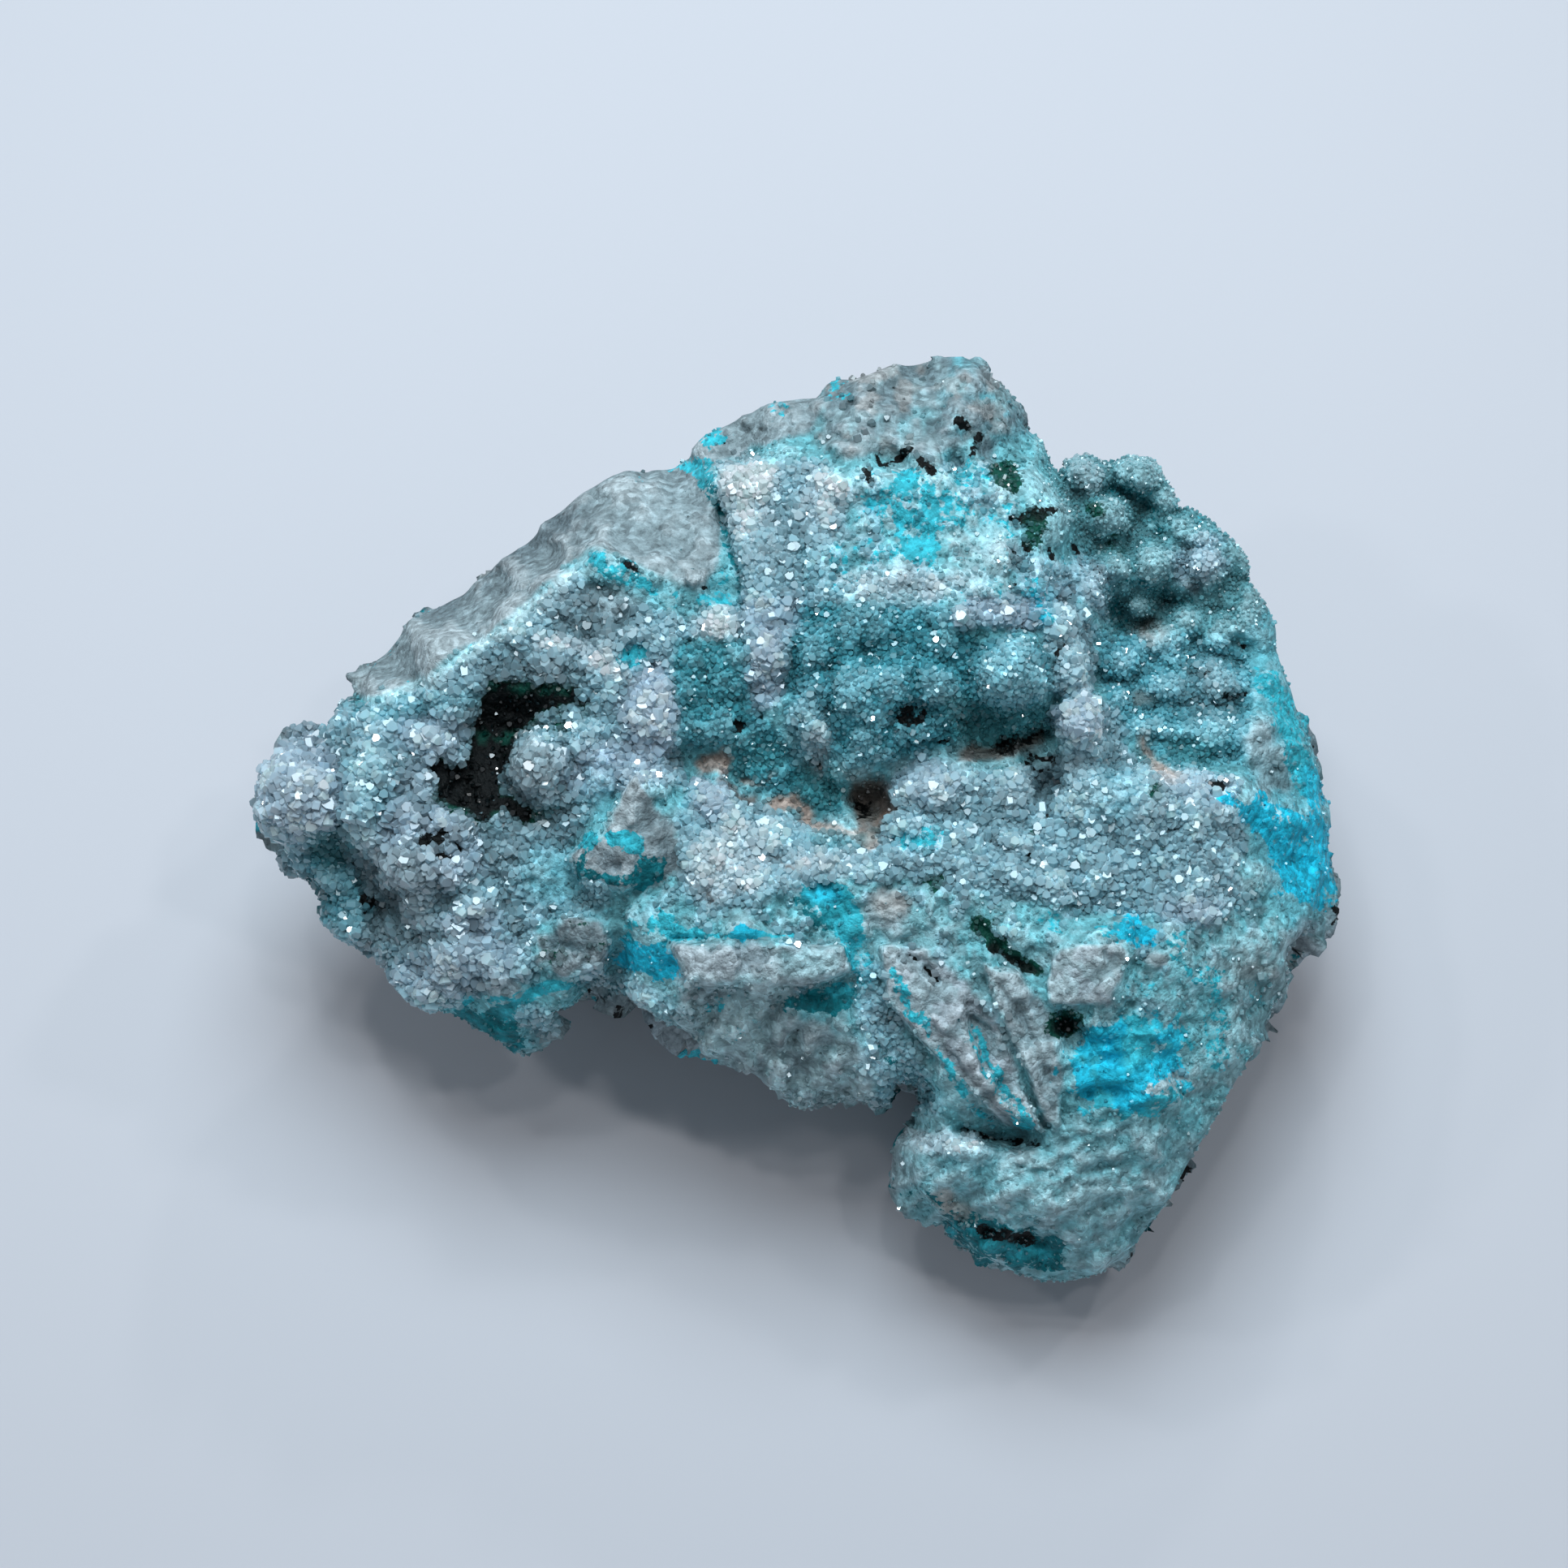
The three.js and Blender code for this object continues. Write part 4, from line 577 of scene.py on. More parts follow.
STAINS: Sequence[Stain] = (
    # large regions
    Stain(Kind.PALE, Spot(0, 0, 60, 60), patchy=1),
    Stain(Kind.CREAM, Spot(12, -8, 22, 14), 2, 0.3, patchy=0.35, patch_size=1.3),
    Stain(Kind.GREY, Spot(12, -8, 22, 14), 2, 0.4, patchy=0.35, patch_size=1),
    Stain(Kind.ICE, Spot(10, -6, 20, 8), 2, 0.8, patchy=0.22, patch_size=1.2),
    Stain(Kind.GLAZE, Area(((29, 20), (33, 16), (36, 0), (33, -8), (30, -2), (29, 6), (29.4, 12)))),
    Stain(Kind.GREY, Area(GREY_BACK), 0.25, ragged=0.2),
    Stain(Kind.GREY, Area(CROWN), 0.5, 0.85),
    Stain(Kind.ICE, Area(ARM), 0.3),
    Stain(Kind.PALE, Area(SHELF), 0.4),
    Stain(Kind.ICE, Area(((-5, 23.6), (1.8, 23.6), (3.6, 22), (3.6, 19), (2, 17.6), (2, 14.6),
        (-3.4, 14.6), (-4.4, 18)))),
    Stain(Kind.ICE, Area(((-4.6, 14.6), (2.2, 15), (0, 12), (-1, 8), (-2.4, 7.4), (-3.4, 9),
        (-3.8, 12.4)))),
    Stain(Kind.TEAL, Area(TEAL_RECESS), 0.4),
    Stain(Kind.TEAL, Area(DOME), 0.4),
    Stain(Kind.BOTRYOIDAL, Area(BOWL), 0.5),
    Stain(Kind.LAGOON, Area(LOWER_BOWL), 0.5),
    Stain(Kind.ICE, Area(FRONT_DRUSE), 0.5),
    Stain(Kind.ICE, Area(((12.2, 14.6), (15, 14.6), (17.6, 16), (19.4, 13.4), (19.8, 9.6), (18, 8),
        (16.6, 9), (16, 12.6)))),
    Stain(Kind.MIST, Area(LOBE), 0.5),
    # Pale rock over the ledge's face: partly its own colour, partly painted light that lifts the shade of
    # the steep face.
    Stain(Kind.CREAM, Area(LEDGE_FACE), 0.4, 0.8),
    # left end
    Stain(Kind.LILAC, Spot(-32.2, 2.4, 3.2, 3.2), 0.6, 0.8),
    Stain(Kind.LILAC, Area(((-26.4, 3), (-24, 5), (-21.6, 4.4), (-23.8, 2), (-21, 0.2), (-20.4, -3),
        (-23, -4.4), (-26.4, -4), (-27.4, -1))), 0.6, 0.75),
    Stain(Kind.ASH, Area(((-28, 5), (-21, 9), (-16, 12), (-14, -1), (-16, -5), (-22, -3), (-26, -3))),
        1.5, 0.6, 0.5, 0.5, 1.8),
    Stain(Kind.ASH, Area(((-27.6, -1), (-24, -2.4), (-22, -5), (-24.6, -6.8), (-27.4, -6.4), (-29, -4))),
        0.5, 0.8),
    Stain(Kind.TEAL, Area(((-29.8, 4.6), (-26.4, 4.2), (-26, 1.2), (-27.8, 0), (-29.8, 0.4))), 0.8, 0.35),
    Stain(Kind.DEEP_TEAL, Area(((-32, -0.3), (-29.8, -0.1), (-28.6, -1.4), (-29.4, -2.8),
        (-31.6, -2.4))), 0.5, 0.8),
    Stain(Kind.TEAL, Area(((-32.4, -2), (-29, -2.4), (-27.6, -5.6), (-28.4, -8), (-32, -5.6))), 0.5, 0.7),
    Stain(Kind.ASH, Area(((-28.4, -6), (-24.6, -6.6), (-22, -7.4), (-26, -8.2), (-28.6, -7.8))), 0.5, 0.9),
    Stain(Kind.BLACK, Area(((-28.6, -4), (-27.4, -4.8), (-26.4, -4.6), (-26.3, -5.9), (-27.2, -6),
        (-28.6, -5.4))), 0.2, 0.9, 0.5, 0.5, 0.45),
    Stain(Kind.TEAL, Area(((-30, 7.8), (-27.4, 7.9), (-24, 8.6), (-20.6, 9), (-21.4, 7.2), (-26, 6.4))),
        0.6, 0.6),
    Stain(Kind.LILAC, Spot(-24, 6, 2.2, 1.2), 0.5, 0.6),
    Stain(Kind.LILAC, Spot(-21, -6.4, 1.8, 1.2), 0.5, 0.7),
    Stain(Kind.LILAC, Area(((-26, -8.6), (-21, -7.4), (-18, -7.6), (-19, -10), (-23, -11.4),
        (-26.4, -10.4))), 0.5, 0.6),
    Stain(Kind.DARK_TURQUOISE, Area(((-23.8, -12.2), (-20.4, -12), (-17.6, -11.4), (-17.8, -14),
        (-19.6, -16), (-22.6, -14.4))), 0.3, 0.9),
    Stain(Kind.TURQUOISE, Line(((-21.5, -11.5), (-18, -11.3), (-16, -10.6), (-14.4, -10.4)), 0.5),
        0.2, 0.9),
    Stain(Kind.TURQUOISE, Spot(-18.8, -12.2, 0.8, 0.5), 0.3, 0.8),
    Stain(Kind.ICE, Spot(-16.8, -12.6, 1.3, 0.7), 0.4, 0.8),
    Stain(Kind.GREY, Spot(-19.6, -10.6, 1.4, 0.7), 0.4, 0.7),
    # dark recess behind the arm
    Stain(Kind.ASH, Area(((-21.6, 10.4), (-17, 11.6), (-13.6, 11), (-13.4, 8.8), (-16, 9.3),
        (-20.4, 9.6))), 0.6, 0.7),
    Stain(Kind.PINE, Area(BLACK_PATCH), 0.5, 0.95, 0.4),
    Stain(Kind.PINE, Spot(-21.4, 1.4, 2.2, 0.9), 0.5, 0.8),
    Stain(Kind.PINE, Spot(-16, 0.9, 1.3, 0.6), 0.5, 0.8, patchy=0.6, patch_size=0.7),
    Stain(Kind.PINE, Spot(-16, 7, 2, 0.9), 0.5, 0.8, patchy=0.7, patch_size=0.9),
    Stain(Kind.BLACK, Area(BLACK_PATCH), 0.12, 1, 0.3),
    Stain(Kind.PINE, Line(((-20, 9.1), (-18, 9.2), (-15, 8.8)), 0.6),
        0.25, 0.9, patchy=0.7, patch_size=0.8),
    Stain(Kind.PINE, Spot(-19.2, 6, 1.3, 0.5), 0.3, 0.8, patchy=0.6, patch_size=0.6),
    Stain(Kind.ASH, Spot(-16.6, 3.4, 2.4, 2), 0.5, 0.9),
    *(
        Stain(Kind.BLACK, Spot(u, v, r, 0.8 * r), 0.1, 1, 0.12)
        for u, v, r in (
            (-24, 0.4, 0.4), (-24.4, 0, 0.4), (-24.2, -1, 0.5), (-23, -0.4, 0.4), (-23.3, -1, 0.42),
            (-22.3, -1.2, 0.4), (-21.9, -1.6, 0.4), (-23.1, -1.9, 0.5), (-22.6, -2.2, 0.4),
        )
    ),
    # ridge, sugary humps and the grey fragments
    Stain(Kind.TURQUOISE, Line(((-28.6, 7.9), (-26, 8.7), (-24, 9.7), (-22, 11.3), (-20, 12.4),
        (-18, 14), (-16, 15.8), (-14.5, 17), (-13.2, 18)), 0.55), 0.4, 0.5, 0.3, 0.6, 1.2),
    Stain(Kind.CREAM, Line(((-27, 8.2), (-24, 9.4), (-22, 10.9), (-20, 12), (-18, 13.6), (-16, 15.4),
        (-14.4, 16.6)), 0.6), 0.3, 0.8, 0.3),
    Stain(Kind.PALE, Area(((-14.6, 17), (-13.2, 18.2), (-9.6, 16.6), (-5.6, 15), (-4, 17), (-4.4, 13),
        (-7, 13.4), (-10.6, 14.8), (-13.4, 15.8))), 0.5, 0.9),
    Stain(Kind.TURQUOISE, Area(((-13.6, 18.2), (-11.4, 17.4), (-9.8, 16.6), (-7.4, 15.6), (-8, 14.6),
        (-11, 15.8), (-13.8, 17))), 0.4, 0.8, 0.4, 0.5, 1),
    Stain(Kind.ASH, Spot(-13.5, 13.6, 3, 2), 0.8, 0.8),
    Stain(Kind.GREY, Spot(-12.4, 14.6, 2.2, 0.9), 0.5, 0.5),
    Stain(Kind.SUGAR, Line(((-16.6, 12.3), (-14, 11.4), (-12, 10.3), (-10.4, 9.3)), 0.9), 0.5, 0.9),
    Stain(Kind.TURQUOISE, Spot(-10.6, 11, 0.8, 0.8), 0.35, 0.9),
    Stain(Kind.LILAC, Spot(-9.5, 7.5, 1.9, 2.9), 0.5, 0.9),
    Stain(Kind.LILAC, Spot(-11.8, 3.6, 3.2, 1.7), 0.6, 0.8),
    Stain(Kind.GLAZE, Spot(-12.6, 1.8, 1.2, 1.9), 0.8, 0.5),
    Stain(Kind.ICE, Spot(-15, -4, 3, 2.4), 0.8, 0.8),
    Stain(Kind.GLAZE, Spot(-15.6, -3.4, 2.2, 2), 1, 0.8),
    Stain(Kind.GREY, Area(PYRAMID), 0.2, 1, 0.2),
    Stain(Kind.SLATE, Area(((-10.2, 2.6), (-8, -0.6), (-7.8, -2.8), (-9.6, -1.6), (-10.4, 0.6))),
        0.5, 0.35),
    Stain(Kind.TURQUOISE, Area(((-13.6, -0.5), (-11, -0.3), (-10, -1.2), (-9.8, -2.4), (-11.2, -1.6),
        (-12.6, -1.2), (-14.6, -1.6))), 0.25, 0.95),
    Stain(Kind.DARK_TURQUOISE, Area(((-9.8, -1.8), (-8.2, -2.4), (-8.4, -3.6), (-10.4, -4.2),
        (-14.2, -3.7), (-14.8, -2.2), (-13.6, -1.8), (-13, -3), (-11, -3.2))), 0.25, 0.85),
    Stain(Kind.SLATE, Spot(-12, -2.4, 1.5, 0.8, -12), 0.3, 0.7),
    Stain(Kind.SLATE, Area(SECOND_FRAGMENT), 0.25, 0.9),
    Stain(Kind.PINE, Area(SECOND_FRAGMENT), 0.3, 0.35, 0.5, 0.4, 0.9),
    # bare grey back
    Stain(Kind.SLATE, Line(((-23.6, 14.6), (-20, 16.8), (-17, 19), (-15, 20.4)), 2.2), 1.4, 0.75),
    Stain(Kind.BUFF, Area(((-12.6, 18), (-7, 16), (-5.4, 18), (-6, 22), (-9, 23), (-12, 21))), 1.2, 0.35),
    Stain(Kind.TURQUOISE, Line(((-27.9, 9.4), (-26.4, 12.6), (-24.4, 14.6)), 0.5), 0.5, 0.4, 0.4, 0.5, 1.2),
    *(Stain(Kind.TURQUOISE, Spot(u, v, a, b), 0.35, s, 0.4) for u, v, a, b, s in (
        (-5.6, 25.5, 1.3, 0.6, 0.8), (-6.2, 23.4, 1.1, 0.6, 0.8), (-7.2, 23.9, 0.8, 0.4, 0.7),
        (2.8, 28.7, 1.1, 0.7, 0.9), (-10.4, 22.6, 0.5, 0.3, 0.5), (-1, 27.4, 0.4, 0.25, 0.5),
        (-11.4, 17, 1, 0.5, 0.8), (-5, 14.6, 1.1, 0.9, 0.6), (-5.6, 22.6, 0.7, 0.8, 0.8),
        (-4.6, 16.4, 0.5, 1.2, 0.5),
    )),
    Stain(Kind.DARK_TURQUOISE, Line(((-5.8, 22.4), (-4.8, 20.4), (-4.3, 18.4), (-3.6, 16), (-3.5, 14.4)),
        0.7), 0.4, 0.7),
    Stain(Kind.BLACK, Line(((-11.5, 17.5), (-10.9, 17), (-10.2, 16.7)), 0.3), 0.12, 0.95),
    Stain(Kind.BLACK, Line(((-5.8, 16.2), (-5.8, 15.6)), 0.25), 0.1, 0.95),
    Stain(Kind.BLACK, Line(((-4.9, 16.8), (-4.9, 16.3)), 0.25), 0.1, 0.95),
    # pale block, shelf and crown
    Stain(Kind.SUGAR, Spot(-3.2, 22.4, 2, 1.7), 0.8, 0.7),
    Stain(Kind.SUGAR, Spot(2, 21.4, 1.8, 2), 0.8, 0.6),
    Stain(Kind.SUGAR, Spot(-3, 20, 1.2, 0.9), 0.6, 0.6),
    Stain(Kind.ASH, Area(((-1.8, 20.2), (1.4, 20.2), (1.4, 18), (-0.4, 15.4), (-2.8, 17.4))), 0.5, 0.4),
    Stain(Kind.TEAL, Area(((0.4, 18.2), (4, 17.8), (3.6, 15.4), (0.4, 15))), 0.6, 0.45),
    Stain(Kind.CREAM, Area(SHELF), 0.5, 0.6, 0.4, 0.4, 0.9),
    Stain(Kind.ICE, Area(SHELF), 0.5, 0.8, 0.4, 0.3, 0.9),
    Stain(Kind.GREY, Area(SHELF), 0.5, 0.4, 0.4, 0.2, 0.7),
    Stain(Kind.TURQUOISE, Area(SHELF), 0.5, 0.55, 0.4, 0.3, 1),
    Stain(Kind.TURQUOISE, Spot(8.6, 20.6, 4.6, 1.5), 1, 0.6, 0.5, 0.65, 1),
    Stain(Kind.TURQUOISE, Spot(8.2, 18.2, 1.2, 0.9), 0.5, 0.7),
    Stain(Kind.TURQUOISE, Spot(7.4, 22.4, 1.2, 0.7), 0.5, 0.6),
    Stain(Kind.CREAM, Area(((10.6, 18.6), (13.6, 20.4), (14, 16), (12, 14.8), (10.4, 15.2))), 0.6, 0.55),
    Stain(Kind.SUGAR, Spot(7.2, 15.7, 4, 1), 0.6, 0.75),
    Stain(Kind.GLAZE, Area(((10.4, 31.6), (9.9, 28), (10.4, 25.6), (12.4, 24.6), (15.6, 25.6),
        (14, 28))), 0.5, 0.85),
    Stain(Kind.SLATE, Spot(12.6, 27.4, 2.8, 3), 0.8, 0.55, 0.4, 0.5, 0.8),
    Stain(Kind.PALE, Area(((3.4, 25.6), (7, 24.6), (10, 27), (8.6, 28.4), (5.4, 27.4))),
        0.8, 0.45, 0.5, 0.5, 0.8),
    Stain(Kind.SLATE, Area(CROWN), 0.8, 0.6, 0.4, 0.55, 0.9),
    Stain(Kind.SAND, Area(CROWN), 0.8, 0.25, 0.4, 0.4, 1.2),
    *(Stain(Kind.BLACK, Line(points, width), 0.12, 1, 0.15) for points, width in (
        (((4.6, 23.3), (5, 22.5)), 0.4), (((5.3, 24.3), (5.6, 23.6)), 0.45), (((6, 23.6), (6.7, 23.9),
            (7.5, 24.7)), 0.4),
        (((8.2, 23.8), (8.6, 23.6), (9, 23.2)), 0.45), (((10.7, 26.5), (11.3, 26.1)), 0.4), (((12, 25.4),
            (11.7, 24.3)), 0.6),
        (((14.1, 20.1), (15, 20)), 0.5), (((15.1, 18.3), (15.4, 18)), 0.5), (((14.4, 17.6), (14.8, 17),
            (15.6, 16.8)), 0.6),
        (((16.7, 18.1), (16.9, 17.5)), 0.5), (((18.2, 18.3), (18.6, 17.6), (18.8, 17)),
            0.35), (((14.4, 15.9), (15, 15.2)), 0.5),
        (((17.2, 15), (17.6, 14.3)), 0.35), (((17, 10.5), (17.1, 11.3), (17.7, 11.8)),
            0.45), (((20.3, 16), (20.6, 15.8)), 0.4),
        (((19.4, 17.2), (19.9, 16.7)), 0.3),
    )),
    Stain(Kind.SLATE, Spot(12.4, 24.4, 0.8, 0.6), 0.4, 0.8),
    Stain(Kind.PINE, Spot(13.9, 23, 1, 0.8), 0.3, 0.9, 0.4),
    Stain(Kind.PINE, Spot(16, 19.4, 0.7, 1.2), 0.4, 0.8, 0.4),
    Stain(Kind.BLACK, Spot(16.3, 20.6, 0.8, 0.35), 0.2, 0.8),
    Stain(Kind.PINE, Spot(19.5, 20.9, 0.8, 0.45), 0.3, 0.9),
    Stain(Kind.TURQUOISE, Spot(15.9, 14.9, 0.9, 1.8, 20), 0.35, 0.95),
    Stain(Kind.SKY, Spot(15.7, 14.4, 0.5, 1), 0.3, 0.6),
    Stain(Kind.TURQUOISE, Spot(17.4, 17, 1.6, 1), 0.7, 0.5, 0.5, 0.6, 0.8),
    Stain(Kind.LILAC, Area(((14.2, 18.4), (16, 17.4), (18.8, 17.6), (20.6, 16.6), (20.4, 13.6),
        (18, 15.6), (16.6, 13.4), (15, 12.6), (14.6, 15))), 0.6, 0.45),
    Stain(Kind.LILAC, Area(((10.4, 14.6), (15.4, 14.8), (15.8, 12.8), (14.2, 12.6), (12.2, 13),
        (11, 12.7), (10.2, 13.4))), 0.3, 0.8),
    # dome, ball and the teal recess
    Stain(Kind.DEEP_TEAL, Area(((-7.8, 11.9), (-3.4, 12), (-3, 9), (-2.4, 6.6), (-4.6, 5.4), (-7.4, 5.6),
        (-7.9, 9))), 0.7, 0.3),
    Stain(Kind.DEEP_TEAL, Area(((10, 8.4), (12.4, 8.2), (14.8, 7.6), (17, 8), (16.6, 5.6), (13, 5),
        (10, 5.6))), 0.5, 0.85),
    Stain(Kind.DEEP_TEAL, Spot(1.8, 2.4, 2.2, 1.8), 0.8, 0.7),
    Stain(Kind.DEEP_TEAL, Spot(-2.6, 4.4, 2, 1.4), 0.6, 0.6),
    Stain(Kind.DEEP_TEAL, Spot(11.4, 12.6, 1.6, 0.6), 0.5, 0.6),
    Stain(Kind.LAGOON, Spot(14.3, 10.3, 2.6, 2.4), 0.5, 0.95),
    Stain(Kind.TEAL, Spot(14, 9, 2, 1.3), 0.9, 0.5),
    Stain(Kind.LILAC, Spot(-1.9, 10.4, 1, 2.6), 0.5, 0.8),
    Stain(Kind.SUGAR, Spot(-5, 13.2, 1.4, 1), 0.4, 0.9),
    Stain(Kind.LILAC, Area(((-3.4, 15), (0.2, 15), (0.4, 13), (-1, 12), (-3.2, 12.4))), 0.5, 0.6),
    Stain(Kind.ICE, Spot(1, 6.4, 1.6, 2.4), 0.8, 0.45),
    Stain(Kind.SUGAR, Spot(1.4, 5, 0.7, 1.4), 0.4, 0.6),
    Stain(Kind.BLACK, Spot(7.7, 7, 1.1, 0.6), 0.2, 0.9, 0.4, 0.55, 0.5),
    Stain(Kind.BLACK, Spot(9.8, 5.6, 0.8, 0.4), 0.2, 0.8, 0.4, 0.5, 0.5),
    Stain(Kind.BLACK, Spot(0.6, 4, 0.9, 0.4), 0.2, 0.9, 0.3, 0.6, 0.5),
    Stain(Kind.BLACK, Spot(-3.7, 6.6, 0.4, 0.5), 0.2, 0.8, 0.3),
    # the hollow's floor and lips
    Stain(Kind.RUST, Area(((10.6, 5), (13.4, 5.2), (16.2, 6.4), (16.4, 5.6), (14.6, 4.6), (12, 4.2),
        (10.6, 4))), 0.3, 0.8),
    Stain(Kind.BLACK, Area(((12.8, 5.2), (14.4, 6.2), (16.4, 6.3), (15.6, 5), (14, 4.4))),
        0.25, 0.8, 0.4, 0.7, 0.7),
    Stain(Kind.RUST, Area(((3.4, 3), (5.8, 3), (6.8, 1.2), (5.6, -0.4), (4, 0), (3.4, 1.6))), 0.4, 0.85),
    Stain(Kind.BLACK, Area(((3.6, 2.4), (4.6, 1.6), (5.4, 2), (5.2, 0.6), (4.2, 0.2), (3.5, 1.2))),
        0.3, 0.75, 0.5, 0.5, 0.6),
    Stain(Kind.SAND, Area(((-6.4, 4.1), (-4.9, 5), (-4.2, 4.8), (-4.2, 4), (-5, 3.4), (-6.2, 3.3))),
        0.2, 0.9),
    Stain(Kind.RUST, Line(((-5, 3), (-4.4, 2.4), (-3.6, 1.7), (-2.8, 1.6)), 0.5), 0.2, 0.8),
    Stain(Kind.SAND, Line(((-3.2, 2.9), (-2, 2.6), (-1.6, 3.2)), 0.4), 0.2, 0.6),
    Stain(Kind.SAND, Line(((-1.3, 1.4), (-0.2, 1.5), (0.7, 0.9), (0.8, 0.4)), 0.9), 0.25, 0.95),
    Stain(Kind.SAND, Line(((1.4, -0.1), (3, -0.3), (4.2, -0.6), (5, -1.3)), 0.5), 0.2, 0.85),
    Stain(Kind.RUST, Line(((4.4, -0.2), (5.2, 0), (6, 0.8), (6.8, 1)), 0.5), 0.25, 0.8),
    Stain(Kind.DEEP_TEAL, Spot(2.6, -1.1, 1.4, 0.6), 0.4, 0.6),
    Stain(Kind.SLATE, Area(((15.8, 4.4), (19, 5), (19.4, 3.6), (17, 2.6), (15.6, 3))), 0.5, 0.6),
    Stain(Kind.BLACK, Spot(16.2, 4.2, 1, 0.5), 0.2, 0.7, 0.4, 0.5, 0.5),
    Stain(Kind.BLACK, Line(((16.6, 1.6), (16.6, 0.4)), 0.5), 0.2, 0.85, 0.3),
    Stain(Kind.PINE, Line(((17, 1.4), (17.1, 0.6)), 0.3), 0.2, 0.7),
    # front druse
    Stain(Kind.SUGAR, Area(((-6.4, -0.6), (-3.6, 0.2), (-1.6, -0.8), (-2, -4), (-5.6, -5.4),
        (-7, -3.4))), 0.7, 0.7),
    Stain(Kind.SUGAR, Spot(1.6, -2.6, 2, 0.8), 0.6, 0.7),
    Stain(Kind.LILAC, Spot(-5.6, 1.6, 1.2, 1.6), 0.5, 0.7),
    Stain(Kind.LILAC, Spot(8.6, 2.8, 2, 1.3), 0.7, 0.5),
    Stain(Kind.LILAC, Spot(18.6, 7, 1.6, 1.5), 0.5, 0.8),
    Stain(Kind.ASH, Spot(14.6, 1.8, 2, 1), 0.7, 0.6),
    Stain(Kind.GLAZE, Spot(21, 2, 2, 1.6), 0.9, 0.45),
    Stain(Kind.TURQUOISE, Spot(8.4, -0.9, 1.2, 0.7), 0.4, 0.7),
    Stain(Kind.RUST, Line(((-1, -2.3), (-0.4, -2.8)), 0.25), 0.12, 0.7),
    Stain(Kind.RUST, Line(((-5.8, -4.4), (-5.2, -5)), 0.3), 0.12, 0.7),
    Stain(Kind.LILAC, Area(((24, 3.2), (27, 3.6), (29.4, 2.8), (28, 0.8), (25, 1.6))), 0.5, 0.5),
    # right bowl
    Stain(Kind.LILAC, Spot(26.6, 17.4, 1.7, 1.4, 30), 0.7, 0.55),
    Stain(Kind.ASH, Spot(19.2, 22.8, 1.4, 1.1), 0.6, 0.5),
    Stain(Kind.DARK_TURQUOISE, Line(((20.8, 22.1), (22.2, 21.8), (23.4, 20.6), (24, 19.8)), 1), 0.7, 0.6),
    Stain(Kind.DARK_TURQUOISE, Line(((20.6, 15.4), (20.8, 14.2), (21.4, 13.2)), 0.9), 0.6, 0.55),
    Stain(Kind.DARK_TURQUOISE, Line(((22.2, 16), (23.4, 15.6), (24.6, 14.8), (25.4, 14.6)), 0.6), 0.6, 0.6),
    Stain(Kind.PINE, Line(((21.2, 17.8), (20.4, 18.2), (21, 18.8)), 0.6), 0.5, 0.55),
    Stain(Kind.RUST, Spot(23.2, 12.9, 0.9, 0.6), 0.5, 0.6),
    Stain(Kind.SAND, Spot(23.6, 12.4, 0.7, 0.4), 0.4, 0.5),
    Stain(Kind.SLATE, Spot(26.2, 15.9, 0.5, 0.4), 0.4, 0.8),
    Stain(Kind.TURQUOISE, Spot(26.4, 20.4, 1.6, 0.6, -25), 0.5, 0.45, 0.4, 0.6, 0.8),
    Stain(Kind.ASH, Spot(27.2, 9, 1.8, 2.2), 0.9, 0.5),
    Stain(Kind.DEEP_TEAL, Spot(26, 4.9, 2, 1.2), 0.8, 0.65),
    Stain(Kind.BLACK, Line(((28.9, 12.1), (29.6, 11.6)), 0.5), 0.25, 0.85),
    Stain(Kind.BLACK, Spot(26.8, 9.9, 0.6, 0.25), 0.2, 0.8, 0.3, 0.6, 0.4),
    Stain(Kind.BLACK, Spot(28.7, 8.6, 0.7, 0.25), 0.2, 0.8, 0.3, 0.6, 0.4),
    Stain(Kind.RUST, Spot(22.7, 8.3, 0.6, 0.3), 0.3, 0.6),
    Stain(Kind.SAND, Line(((22.7, 5.8), (23.2, 4.6), (24, 3.8), (25, 3.2)), 0.7), 0.3, 0.85),
    Stain(Kind.BUFF, Area(((29.4, 5.6), (30.6, 7.2), (32.2, 5), (32.4, 2), (30.8, 1.8), (29.8, 4))),
        0.4, 0.7),
    Stain(Kind.TURQUOISE, Line(((31, 9.4), (32, 8), (32.6, 5.4), (33.6, 3)), 1.6), 0.5, 0.75, 0.4),
    Stain(Kind.SKY, Line(((33.8, 3.4), (34.2, 1.6)), 1), 0.4, 0.6),
    Stain(Kind.BLACK, Spot(27.4, 2.6, 0.28, 0.35), 0.1, 1, 0.1),
    Stain(Kind.BLACK, Spot(27.9, 2.6, 0.25, 0.32), 0.1, 1, 0.1),
    Stain(Kind.BLACK, Spot(27.1, 1.6, 0.3, 0.25), 0.1, 1, 0.15),
    # right end, front field and platform
    Stain(Kind.SKY, Area(((28, 1.6), (31, 1.9), (34, 0.8), (36, -2), (34.6, -5.6), (32, -4.6),
        (31, -1.6), (29.4, 0))), 0.5, 0.85, 0.6),
    Stain(Kind.CREAM, Line(((30.6, 1.2), (32.4, 0.4), (33.4, -1)), 0.5), 0.4, 0.4, 0.4, 0.5, 0.7),
    Stain(Kind.TURQUOISE, Area(((0.2, -3.6), (3.6, -3.8), (4.4, -6), (4, -8), (4.4, -10.4), (3.2, -9),
        (2.4, -6.6), (0.6, -5.4))), 0.4, 0.9, 0.5),
    Stain(Kind.DARK_TURQUOISE, Spot(1.9, -5.4, 2.2, 1.6), 0.6, 0.7, 0.4, 0.6, 0.8),
    Stain(Kind.SKY, Spot(1.8, -4.7, 1.2, 0.6), 0.35, 0.6),
    Stain(Kind.TURQUOISE, Line(((-8, -7.2), (-5, -7.3), (-3.2, -7.2), (0, -7.3)), 0.35), 0.2, 0.8, 0.2),
